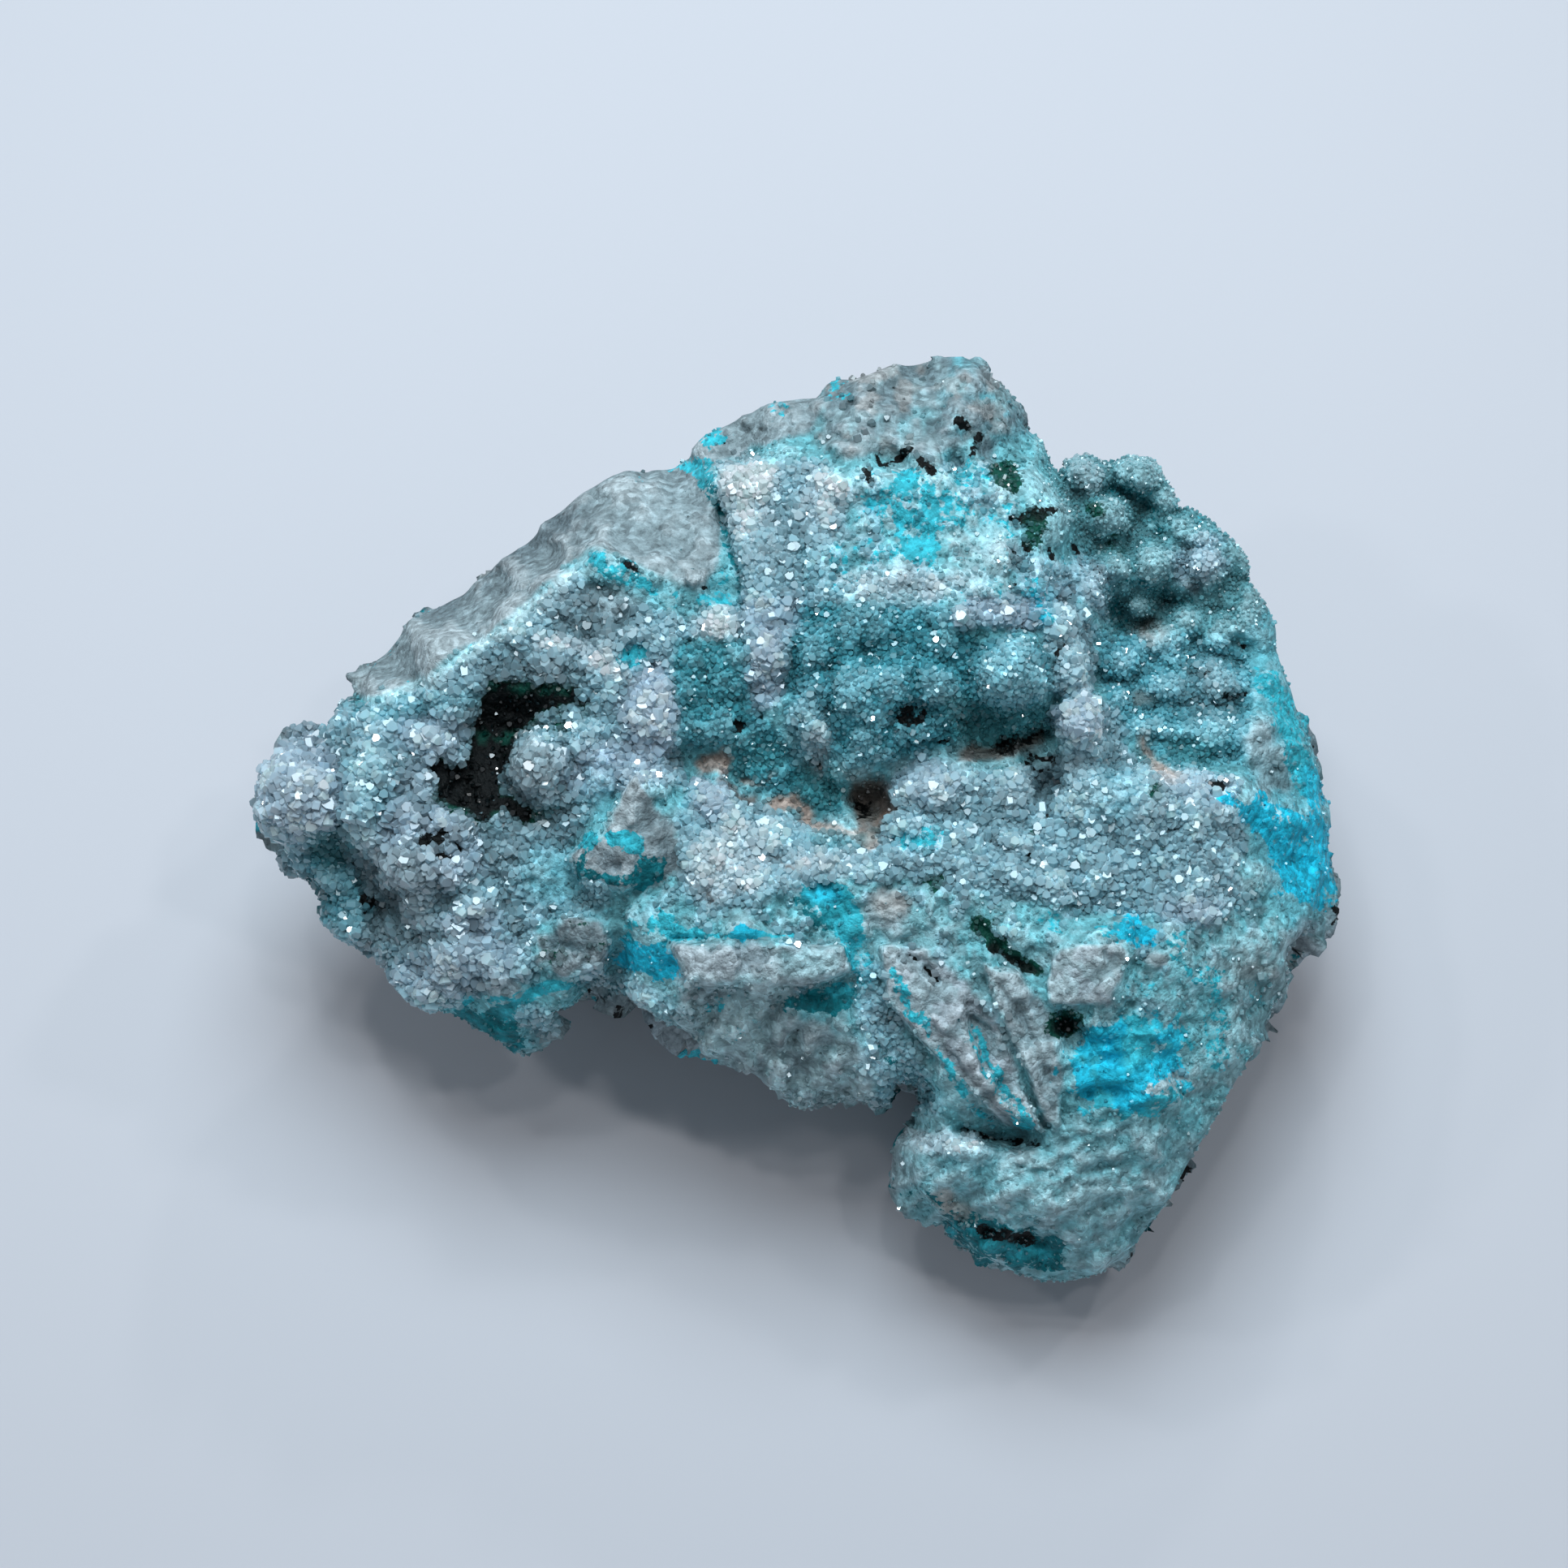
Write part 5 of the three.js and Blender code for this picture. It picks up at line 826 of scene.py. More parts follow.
    Stain(Kind.SKY, Spot(-3.2, -7.1, 0.9, 0.55), 0.25, 0.75),
    Stain(Kind.SKY, Spot(-9.6, -8.9, 2.2, 1.1, -12), 0.4, 0.85, 0.5),
    Stain(Kind.TURQUOISE, Spot(-8.4, -6.7, 2, 0.8, -15), 0.4, 0.8, 0.5),
    Stain(Kind.DARK_TURQUOISE, Spot(-9, -7.6, 1.6, 0.4), 0.3, 0.45, 0.4, 0.5, 0.8),
    Stain(Kind.ICE, Line(((-14, -9.9), (-11.6, -10.1), (-9.6, -11.2), (-7, -12.6)), 1.2), 0.4, 0.7),
    Stain(Kind.GREY, Spot(6.2, -5.6, 1.7, 1.3, -10), 0.25, 0.85),
    Stain(Kind.SAND, Spot(6.6, -5.2, 1.2, 0.8), 0.5, 0.35),
    Stain(Kind.GREY, Spot(6.4, -7, 0.6, 0.7), 0.25, 0.6),
    Stain(Kind.PINE, Spot(9, -3.6, 0.6, 0.45, 20), 0.2, 0.85, 0.3),
    Stain(Kind.PINE, Spot(15.7, -0.5, 0.35, 0.25), 0.15, 0.85, 0.2),
    Stain(Kind.BLACK, Spot(13.1, -1.1, 0.4, 0.22), 0.12, 0.9, 0.2),
    Stain(Kind.BLACK, Spot(15.3, -2.1, 0.3, 0.28), 0.12, 0.9, 0.2),
    Stain(Kind.PINE, Line(((12, -6.4), (12.7, -7.5), (14.2, -8.4), (16, -9.6)), 0.8), 0.25, 0.95, 0.35),
    Stain(Kind.BLACK, Line(((12.9, -8), (14.2, -8.8), (15.8, -9.6)), 0.6), 0.2, 0.9, 0.3),
    Stain(Kind.PINE, Spot(23.7, 2.2, 0.25, 0.4), 0.15, 0.8, 0.2),
    Stain(Kind.PINE, Spot(24, -1.5, 0.35, 0.3), 0.15, 0.8, 0.2),
    Stain(Kind.PINE, Spot(25.3, -2.3, 0.3, 0.2), 0.15, 0.8, 0.2),
    Stain(Kind.TURQUOISE, Area(((16, -5.8), (20, -6), (23, -6.4), (27, -6.8), (26, -9.6), (22.6, -8),
        (19, -7.2), (16.4, -7.6))), 0.5, 0.5, 0.5, 0.55, 1),
    Stain(Kind.SKY, Spot(22.6, -6.9, 1.6, 0.8, -20), 0.4, 0.7, 0.5),
    Stain(Kind.LILAC, Spot(25.6, -5.6, 1.8, 1.1), 0.6, 0.7),
    # front ledge
    Stain(Kind.BUFF, Area(LEDGE_TOP), 0.3, 0.9, 0.3),
    Stain(Kind.ROSE, Area(((-8, -7.9), (-2, -8), (-2, -9.6), (-6.8, -10))), 0.4, 0.4),
    Stain(Kind.PALE, Area(((-1, -8.2), (3.2, -8.2), (3, -10), (-0.4, -10))), 0.5, 0.45),
    Stain(Kind.BUFF, Area(LEDGE_FACE), 0.5, 0.75, 0.4, 0.6, 1),
    Stain(Kind.CREAM, Area(LEDGE_FACE), 0.5, 0.7, 0.4, 0.45, 0.9),
    Stain(Kind.ASH, Area(LEDGE_FACE), 0.5, 0.35, 0.4, 0.25, 0.8),
    Stain(Kind.TURQUOISE, Area(((-8, -10.6), (-4, -11), (-2, -13), (-4, -15), (-8, -13))),
        0.5, 0.5, 0.4, 0.3, 0.8),
    Stain(Kind.SLATE, Line(((0, -11), (-1.4, -12.6), (-2.8, -14.8)), 1.2), 0.8, 0.4),
    Stain(Kind.SLATE, Area(((-1, -12.4), (3, -13), (3.4, -14.4), (0, -16.4), (-2.6, -15.2))), 0.6, 0.4),
    Stain(Kind.DARK_TURQUOISE, Spot(2, -11.4, 2.2, 0.9, 8), 0.4, 0.85, 0.4),
    Stain(Kind.TURQUOISE, Spot(3.2, -10.8, 1.2, 0.8), 0.4, 0.7, 0.4, 0.6, 0.6),
    Stain(Kind.ICE, Area(((4, -8.6), (5.4, -9), (6.4, -12), (8.4, -15.4), (9.4, -18.6), (6, -19),
        (4.4, -15))), 0.5, 0.9),
    Stain(Kind.TURQUOISE, Spot(4.6, -9.6, 0.8, 1.6), 0.5, 0.45),
    Stain(Kind.DARK_TURQUOISE, Line(((6, -15), (7.6, -16), (9.2, -17)), 1.4), 0.6, 0.4),
    # slanting fragments
    Stain(Kind.BUFF, Area(LEFT_SPLINTER), 0.25, 0.95, 0.2),
    Stain(Kind.BUFF, Area(RIGHT_SPLINTER), 0.25, 0.9, 0.2),
    Stain(Kind.ROSE, Area(LEFT_SPLINTER), 0.4, 0.6, 0.4, 0.4, 1.2),
    Stain(Kind.SLATE, Line(((9.8, -14.6), (12.4, -17.4), (15, -20.2)), 0.5), 0.2, 0.6, 0.15),
    Stain(Kind.SLATE, Line(((12.6, -9.4), (13.8, -11), (15.4, -13.4), (16.6, -16.2)), 0.3),
        0.15, 0.55, 0.15),
    Stain(Kind.SLATE, Line(((13.4, -11.4), (15, -14), (16.2, -17.4)), 0.25), 0.15, 0.5, 0.15),
    Stain(Kind.TURQUOISE, Line(((11.7, -13.4), (12.6, -15.8), (14, -18), (15.2, -19.6)), 0.9),
        0.3, 0.9, 0.2),
    Stain(Kind.CREAM, Line(((11.5, -13), (12.3, -15.4), (13.4, -17.4), (14.6, -19)), 0.4), 0.2, 0.6, 0.2),
    Stain(Kind.TURQUOISE, Line(((6.4, -9.4), (7.6, -12), (9.4, -14.8), (11.6, -18.2), (13, -19.8)), 0.5),
        0.3, 0.8, 0.3),
    Stain(Kind.BLACK, Line(((7.6, -8.6), (8.2, -8.9), (9.4, -10.2)), 0.22), 0.12, 0.95, 0.1),
    Stain(Kind.BLACK, Line(((11.2, -20), (13, -20.6), (15.8, -20.9)), 0.5), 0.2, 0.95, 0.2),
    # platform with its square fragment
    Stain(Kind.CREAM, Area(SQUARE_FRAGMENT), 0.15, 1, 0.12),
    Stain(Kind.BUFF, Area(SQUARE_FRAGMENT), 0.15, 0.7, 0.12),
    Stain(Kind.ROSE, Area(SQUARE_FRAGMENT), 0.3, 0.5, 0.3, 0.5, 1.2),
    Stain(Kind.GREY, Spot(23.5, -8.8, 0.8, 0.5), 0.2, 0.8, 0.2),
    Stain(Kind.PINE, Spot(17.9, -13.1, 1.2, 1), 0.3, 0.9, 0.4),
    Stain(Kind.BLACK, Spot(17.9, -13.3, 0.8, 0.7), 0.25, 0.9, 0.4),
    Stain(Kind.TURQUOISE, Area(SKY_FIELD), 0.8, 0.85, 0.8, 0.8, 1.2),
    Stain(Kind.SKY, Area(SKY_FIELD), 0.6, 0.85, 0.8, 0.55, 1.3),
    Stain(Kind.TURQUOISE, Area(((22, -10.4), (27, -9), (31, -8.4), (31, -13), (28, -17), (25.4, -18),
        (26, -13.4))), 0.8, 0.5, 0.5, 0.5, 1.2),
    Stain(Kind.BUFF, Spot(24.4, -16.9, 1.6, 0.6, 25), 0.3, 0.7, 0.3),
    Stain(Kind.SAND, Spot(29.8, -9.4, 1.4, 0.8), 0.4, 0.35),
    Stain(Kind.GREY, Area(((27.6, -8.4), (33.4, -6.8), (34, -11), (31, -17), (28, -21), (27, -18),
        (29, -13))), 0.8, 0.5, 0.4, 0.6, 1.2),
    Stain(Kind.ROSE, Line(((33.6, -6.6), (32.6, -8.4), (33, -11), (31.6, -14.4)), 0.9),
        0.4, 0.5, 0.3, 0.6, 0.8),
    # lobe
    Stain(Kind.PALE, Area(LOBE), 0.6, 0.6, 0.4, 0.5, 1.1),
    Stain(Kind.BUFF, Area(LOBE), 0.6, 0.4, 0.4, 0.35, 0.9),
    Stain(Kind.GLAZE, Spot(11, -21.6, 2, 1), 0.6, 0.7),
    Stain(Kind.SUGAR, Spot(10, -20.9, 2.2, 0.7), 0.5, 0.7),
    Stain(Kind.DARK_TURQUOISE, Area(((8.4, -23.8), (12, -25.6), (17.8, -27.2), (18, -29.4),
        (12, -28.6))), 0.5, 0.8, 0.4),
    Stain(Kind.TURQUOISE, Line(((10.8, -26.2), (13, -27.6), (16.4, -28.2)), 0.7), 0.3, 0.6, 0.3, 0.6, 0.8),
    Stain(Kind.SAND, Spot(10.4, -25, 1.3, 0.7, -35), 0.4, 0.5),
    Stain(Kind.BLACK, Spot(14, -26.9, 1.7, 0.4, -8), 0.25, 0.85, 0.3),
    Stain(Kind.BLACK, Spot(25.6, -24.4, 0.3, 0.25), 0.12, 0.8, 0.1),
)


@dataclass(frozen=True)
class Fragment:
    """An angular piece of rock held in the top, with a flat face and a crisp edge."""

    outline: Points
    rise: float
    slope_u: float
    slope_v: float
    edge: float = 0.3


FRAGMENTS: Sequence[Fragment] = (
    Fragment(((-10.4, 3.3), (-12.1, 0.6), (-12.5, -0.6), (-13.8, -1.2), (-14.8, -2), (-14, -3.6),
        (-11, -4.1), (-10.2, -1.4)), 0.5, 0.28, 0.1),
    Fragment(((-10.4, 3.3), (-10.2, -1.4), (-11, -4.1), (-9, -4), (-7.5, -3), (-7.6, -0.5), (-9.3, 1.5)),
        0.3, -0.5, 0.1),
    Fragment(SECOND_FRAGMENT, 0.35, 0.1, 0.25),
    Fragment(SQUARE_FRAGMENT, 0.45, -0.04, 0.03, 0.2),
    Fragment(LEFT_SPLINTER, 0.5, -0.12, 0, 0.25),
    Fragment(RIGHT_SPLINTER, 0.5, -0.3, 0, 0.25),
    Fragment(((8.5, -8.1), (9.6, -8.2), (12, -10.4), (13.4, -12.8), (12.2, -12.2), (10.4, -10.4)),
        0.5, 0.1, 0, 0.2),
    Fragment(((11.2, -12.2), (13, -13.4), (14.8, -17.4), (16.3, -20), (14.6, -19.2), (12.4, -16)),
        0.35, 0.25, 0, 0.2),
    Fragment(LEDGE_TOP, 0.3, 0, 0.1),
    Fragment(((5.2, -4.7), (6.6, -4.4), (7.8, -5.2), (7.4, -6.6), (6.4, -7.6), (5.6, -6.8), (4.6, -5.8)),
        0.35, 0, 0),
    Fragment(((22.8, -8.4), (24.2, -8.4), (24.4, -9.2), (23, -9.3)), 0.35, 0, 0, 0.2),
    Fragment(((29.6, 5.8), (30.8, 7), (32.2, 5), (32.2, 2.6), (30.2, 3.6)), 0.3, -0.6, 0),
    Fragment(((14.2, -3.4), (17.4, -3.2), (18, -5), (15, -5.6)), 0.3, 0, 0.1),
    Fragment(((-12.9, 14.8), (-10.8, 15), (-10.4, 13), (-13.2, 12.6)), 0.35, 0, 0.2),
)

# Rounded lumps that stand out of the top: middle u and v, reach along and across, turn in
# degrees, and rise.
LUMPS: Sequence[tuple[float, ...]] = (
    (23.6, 17.2, 2.3, 1.7, 20, 1.3), (22.6, 14.9, 1.6, 1.3, 0, 1), (25.4, 15.6, 1.4, 1.1, -20, 0.9),
    (26.7, 17.4, 1.6, 1.3, 35, 1), (27.6, 15.4, 1.4, 1.3, 0, 0.9), (25.2, 13.2, 1.6, 1, 15, 0.8),
    (27.6, 13, 1.5, 1.1, -10, 0.8), (20.5, 20.2, 2, 1.4, 12, 1), (22.6, 18.9, 1.3, 1, 20, 0.8),
    (19.3, 22.8, 1.6, 1.3, 0, 1.1), (22.4, 23, 2, 1.1, -10, 1.3), (24.2, 21.6, 1.3, 1, -35, 0.9),
    (25.4, 19, 1.5, 1.3, 0, 0.8), (18.4, 20, 1.1, 1, 0, 0.6), (20.4, 17.2, 1.2, 1, 30, 0.7),
    (19.4, 15, 1.2, 1.4, 0, 0.6), (23.2, 12, 1.3, 0.9, 0, 0.6), (21.4, 10.8, 1.9, 1.5, 0, 0.8),
    (24.6, 9.8, 1.8, 1.4, 15, 0.8), (27.4, 9.4, 1.6, 1.5, 0, 0.8), (22, 8.4, 1.3, 1, 0, 0.6),
    (25, 6.6, 1.8, 1.3, 0, 0.8), (27.8, 6, 1.6, 1.4, 0, 0.8), (24.4, 4.6, 1.2, 0.9, 0, 0.5),
    (14.3, 10.2, 2.2, 2.1, 0, 1.1), (16.6, 16.9, 1, 1.1, 0, 0.5), (17.6, 12.6, 1.1, 1.2, 0, 0.5),
    (11.2, 13.7, 0.9, 0.8, 0, 0.6), (12.6, 13.6, 0.9, 0.7, 0, 0.6), (14, 13.4, 0.9, 0.8, 0, 0.6),
    (15.2, 13.4, 0.7, 0.7, 0, 0.5), (-31.9, 2.6, 2.2, 1.9, 20, 0.9), (-33.6, 1.2, 1.2, 1, 0, 0.6),
    (-33, 4.2, 1.1, 0.9, 30, 0.5), (-30.6, 0.8, 1, 0.8, 0, 0.6), (-32.2, 0.3, 0.9, 0.7, 0, 0.5),
    (-29.4, 6.4, 1.3, 1, 40, 0.6), (-27.6, 3.2, 1.6, 1.4, 0, 0.6), (-28.6, 1, 1.2, 1, 0, 0.5),
    (-25.4, 0.8, 1.2, 1, 0, 0.5), (-24.8, -2.8, 1.8, 1.4, 0, 0.7), (-22.2, -3.4, 1.4, 1.1, 0, 0.5),
    (-25.8, -5.2, 1.2, 0.9, 0, 0.5), (-21, -5.6, 1.5, 1, 10, 0.8), (-18.4, -6, 1, 0.8, 0, 0.5),
    (-23.4, -8.8, 1.6, 1.2, 0, 0.7), (-20.4, -8.6, 1.3, 1.1, 0, 0.5), (-25.4, -9.6, 1.1, 0.9, 0, 0.5),
    (-16.6, 3.6, 2, 1.5, 15, 0.9), (-24.6, 5.4, 1.5, 1.1, 20, 0.6), (-22.4, 7.4, 1.3, 1, 20, 0.5),
    (-26.4, 6.8, 1.3, 1, 20, 0.5), (-9.5, 7.8, 1.7, 2.2, -10, 0.8), (-12, 3.8, 2.2, 1.3, -10, 0.7),
    (-14, 5.8, 1.2, 1, 0, 0.5), (-12.2, 8, 1.2, 1.1, 0, 0.5), (-5.2, 13.2, 1.2, 0.9, 0, 0.6),
    (-3.2, 22.4, 1.7, 1.3, 0, 0.5), (-3, 20, 1.1, 0.8, 0, 0.5), (2.2, 22, 1.4, 1.2, 0, 0.4),
    (4.8, 8.4, 2.2, 1.9, 0, 0.6), (8.4, 9.6, 1.8, 1.5, 0, 0.5), (1.6, 9.8, 1.6, 1.4, 0, 0.5),
    (5.2, 5.6, 1.6, 1.2, 0, 0.6), (1.2, 5.6, 1.1, 1.4, 0, 0.6), (7.6, 6.2, 1.3, 0.9, 0, 0.5),
    (8.8, 2.4, 1.7, 1.3, 0, 0.7), (11.6, 3.2, 1.2, 1, 0, 0.6), (13.8, 2.4, 1.3, 1, 0, 0.5),
    (18.6, 6.9, 1.5, 1.3, 0, 0.7), (20.6, 2.6, 1.9, 1.5, 0, 0.7), (23.6, 1.8, 1.5, 1.2, 0, 0.5),
    (25.8, 0.4, 1.3, 1.1, 0, 0.5), (-4, 0.6, 1.2, 0.9, 0, 0.5), (-5.8, 1.6, 1, 1.1, 0, 0.5),
    (-3.2, -1, 1.3, 1, 0, 0.4), (2.4, -2.2, 1.2, 0.8, 0, 0.4), (-2, 10.8, 1, 1.5, 0, 0.5),
    (1.6, 28, 0.9, 0.7, 0, 0.4), (11.2, -21.4, 1.6, 0.8, 0, 0.5), (3, -16.2, 2.2, 1.2, 20, 0.6),
    (-1, -15.2, 1.2, 1.6, -30, 0.5), (0.6, -14.2, 1, 1.5, -30, 0.5),
)

# Cracks and seams: the line, its width and its depth.
CRACKS: Sequence[tuple[Points, float, float]] = (
    (((-5, 21.4), (-4.8, 20.2), (-4, 18.2), (-3.5, 16), (-3.5, 14), (-3.6, 12.2)), 0.9, 1.2),
    (((-8, -7.4), (-3, -7.5), (1.4, -7.6)), 0.5, 0.4),
    (((7.5, -8.6), (8.4, -9.1), (9.4, -10.2)), 0.5, 0.9),
    (((11, -20), (13, -20.5), (16, -20.8)), 0.9, 1.4),
    (((9.6, -14.6), (12.2, -17.4), (14.6, -19.9)), 0.5, 0.6),
    (((12.3, -6.8), (13.2, -8), (16, -9.8)), 0.9, 0.7),
    (((10.6, 4.7), (12.4, 4.8), (14.2, 5.4), (16.6, 6.2)), 0.8, 1.2),
    (((12.6, -9.4), (14.2, -11.6), (16.2, -15.4), (17.2, -19.2)), 0.4, 0.35),
    (((13.4, -11.4), (15, -14.2), (16.4, -18)), 0.35, 0.3),
    (((-0.4, -10.6), (-1.6, -12.6), (-3, -14.9)), 1.2, 0.7),
    (((20.5, 22), (22, 21.6), (23.4, 20.6), (24.2, 19.8)), 1.1, 0.9),
    (((21.2, 15.6), (20.9, 14.2), (21.3, 13.2)), 1.1, 1),
    (((22.3, 13.3), (23.4, 13.1)), 0.9, 0.8),
    (((24.2, 14.8), (24.9, 14.5), (25.6, 14.7)), 0.7, 0.8),
    (((25.9, 16.2), (26.3, 15.7)), 0.7, 0.7),
    (((28.8, 12.2), (29.7, 11.6)), 0.8, 0.8),
    (((3.8, -10.2), (2, -10.6), (0.4, -10.9)), 0.9, 0.6),
    (((12.6, -26.6), (14, -27), (15.6, -26.8)), 0.9, 0.9),
    (((-14.6, -1.4), (-12.4, -0.8), (-10.4, -1.2)), 0.5, 0.35),
)

# Wavy or striated rock: the region, the direction of the lines in degrees, their spacing and height.
RIPPLES: Sequence[tuple[Points, float, float, float]] = (
    (LOBE, 24, 0.8, 0.7), (CROWN, 4, 0.8, 0.4), (LEFT_SPLINTER, -58, 0.6, 0.2),
    (RIGHT_SPLINTER, -62, 0.5, 0.32), (LEDGE_FACE, 60, 1.2, 0.7), (GREY_BACK, 32, 1.8, 0.2),
    (SKY_FIELD, 10, 0.9, 0.5), (SHELF, 0, 0.9, 0.35),
)


class Relief:
    """Level of the specimen's top over the view, from the broad patchwork to the fine lines."""

    warp: float = 0.9
    warp_size: float = 4.0
    blend_power: float = 2.1
    blend_softness: float = 0.05
    druse_lumps: Sequence[tuple[float, float, int]] = ((2.6, 0.55, 41), (1.3, 0.4, 45))
    rock_facets: Sequence[tuple[float, float, int]] = ((2.2, 0.5, 61), (1.0, 0.26, 65))

    def patchwork(self, u: np.ndarray, v: np.ndarray) -> np.ndarray:
        """Blends the patches' own levels by nearness.

        Args:
            u: Places to the right.
            v: Places up the view.

        Returns:
            The level w at each place.
        """
        places = [u / self.warp_size, v / self.warp_size]
        bent_u = u + self.warp * noise(places, 11) + 0.35 * layered_noise([u, v], 1.6, 2, 71)
        bent_v = v + self.warp * noise(places, 37) + 0.35 * layered_noise([u, v], 1.6, 2, 83)
        total = np.zeros(u.shape)
        weights = np.zeros(u.shape)
        for patch_u, patch_v, level, slope_u, slope_v, reach, swell in PATCHES:
            du, dv = bent_u - patch_u, bent_v - patch_v
            q = (du * du + dv * dv) / reach**2
            weight = (q + self.blend_softness) ** -self.blend_power
            own = level + slope_u * du + slope_v * dv + swell * (0.5 - np.minimum(q, 2.2))
            total += weight * own
            weights += weight
        return total / weights

    def lumps(self, u: np.ndarray, v: np.ndarray) -> np.ndarray:
        """Height of the rounded lumps, each against its neighbour with a crease between."""
        bent_u = u + 0.3 * layered_noise([u, v], 1.1, 2, 91)
        bent_v = v + 0.3 * layered_noise([u, v], 1.1, 2, 97)
        height = np.zeros(u.shape)
        for lump_u, lump_v, reach_u, reach_v, turn, rise in LUMPS:
            share = Spot(lump_u, lump_v, reach_u, reach_v, turn).share(bent_u, bent_v)
            height = np.maximum(height, rise * np.sqrt(np.clip(1 - share * share, 0, 1)))
        return height

    def fragments(self, level: np.ndarray, u: np.ndarray, v: np.ndarray) -> np.ndarray:
        """Sets the angular fragments' flat faces into a level.

        Args:
            level: The top's level so far.
            u: Places to the right.
            v: Places up the view.

        Returns:
            The level with the fragments in it.
        """
        for piece in FRAGMENTS:
            middle = np.mean(np.array(piece.outline), 0)
            mean_u, mean_v = (np.array([part]) for part in middle)
            own = self.patchwork(mean_u, mean_v)[0] + piece.rise
            own = own + piece.slope_u * (u - middle[0]) + piece.slope_v * (v - middle[1])
            distance = path_distance(piece.outline, u, v, True) + 0.12 * noise([u / 0.9, v / 0.9], 131)
            inside = smoothstep(piece.edge, -0.5 * piece.edge, distance)
            level = level + inside * np.clip(own - level, -1.4, 1.6)
        return level

    def ripples(self, u: np.ndarray, v: np.ndarray) -> np.ndarray:
        """Height of the striations in the bare rock."""
        height = np.zeros(u.shape)
        for number, (region, direction, spacing, rise) in enumerate(RIPPLES):
            cosine, sine = math.cos(math.radians(direction)), math.sin(math.radians(direction))
            along = u * cosine + v * sine + 0.8 * noise([u / 3, v / 3], 151 + number)
            across = v * cosine - u * sine + 0.5 * noise([u / 2.4, v / 2.4], 161 + number)
            lines = noise([along / (4.5 * spacing), across / spacing], 171 + number)
            fine = noise([along / (2.5 * spacing), across / (0.5 * spacing)], 181 + number)
            inside = smoothstep(0.3, -0.8, path_distance(region, u, v, True))
            height += inside * rise * (0.7 * (1 - 2 * np.abs(lines)) + 0.4 * fine)
        return height

    def level(self, u: np.ndarray, v: np.ndarray, druse: np.ndarray) -> np.ndarray:
        """The whole relief of the top.

        Args:
            u: Places to the right.
            v: Places up the view.
            druse: How far each place is crystal crust, from 0 for bare rock to 1.

        Returns:
            The level w at each place.
        """
        level = self.patchwork(u, v)
        level = self.fragments(level, u, v)
        level += self.lumps(u, v) + self.ripples(u, v)
        bent = [u + 0.35 * noise([u, v], 21), v + 0.35 * noise([u, v], 23)]
        for size, rise, seed in self.druse_lumps:
            first, _, own = stone_cells(bent, size, seed)
            level += druse * rise * (np.clip(1 - (first / 0.75) ** 2, 0, 1) - 0.5 + 0.3 * own[2])
        for size, rise, seed in self.rock_facets:
            _, _, own = stone_cells(bent, size, seed)
            facets = 0.5 * own[2] + 0.8 * own[0] * np.sin(9 * own[2]) + 0.8 * own[1] * np.cos(7 * own[2])
            level += (1 - druse) * rise * facets
        level += (0.12 + 0.1 * (1 - druse)) * layered_noise([u, v], 0.9, 2, 51)
        for points, width, depth in CRACKS:
            distance = path_distance(points, u, v, False) + 0.15 * noise([u / 0.7, v / 0.7], 141)
            level -= depth * np.clip(1 - np.maximum(distance, 0) / width, 0, 1) ** 1.5
        return level


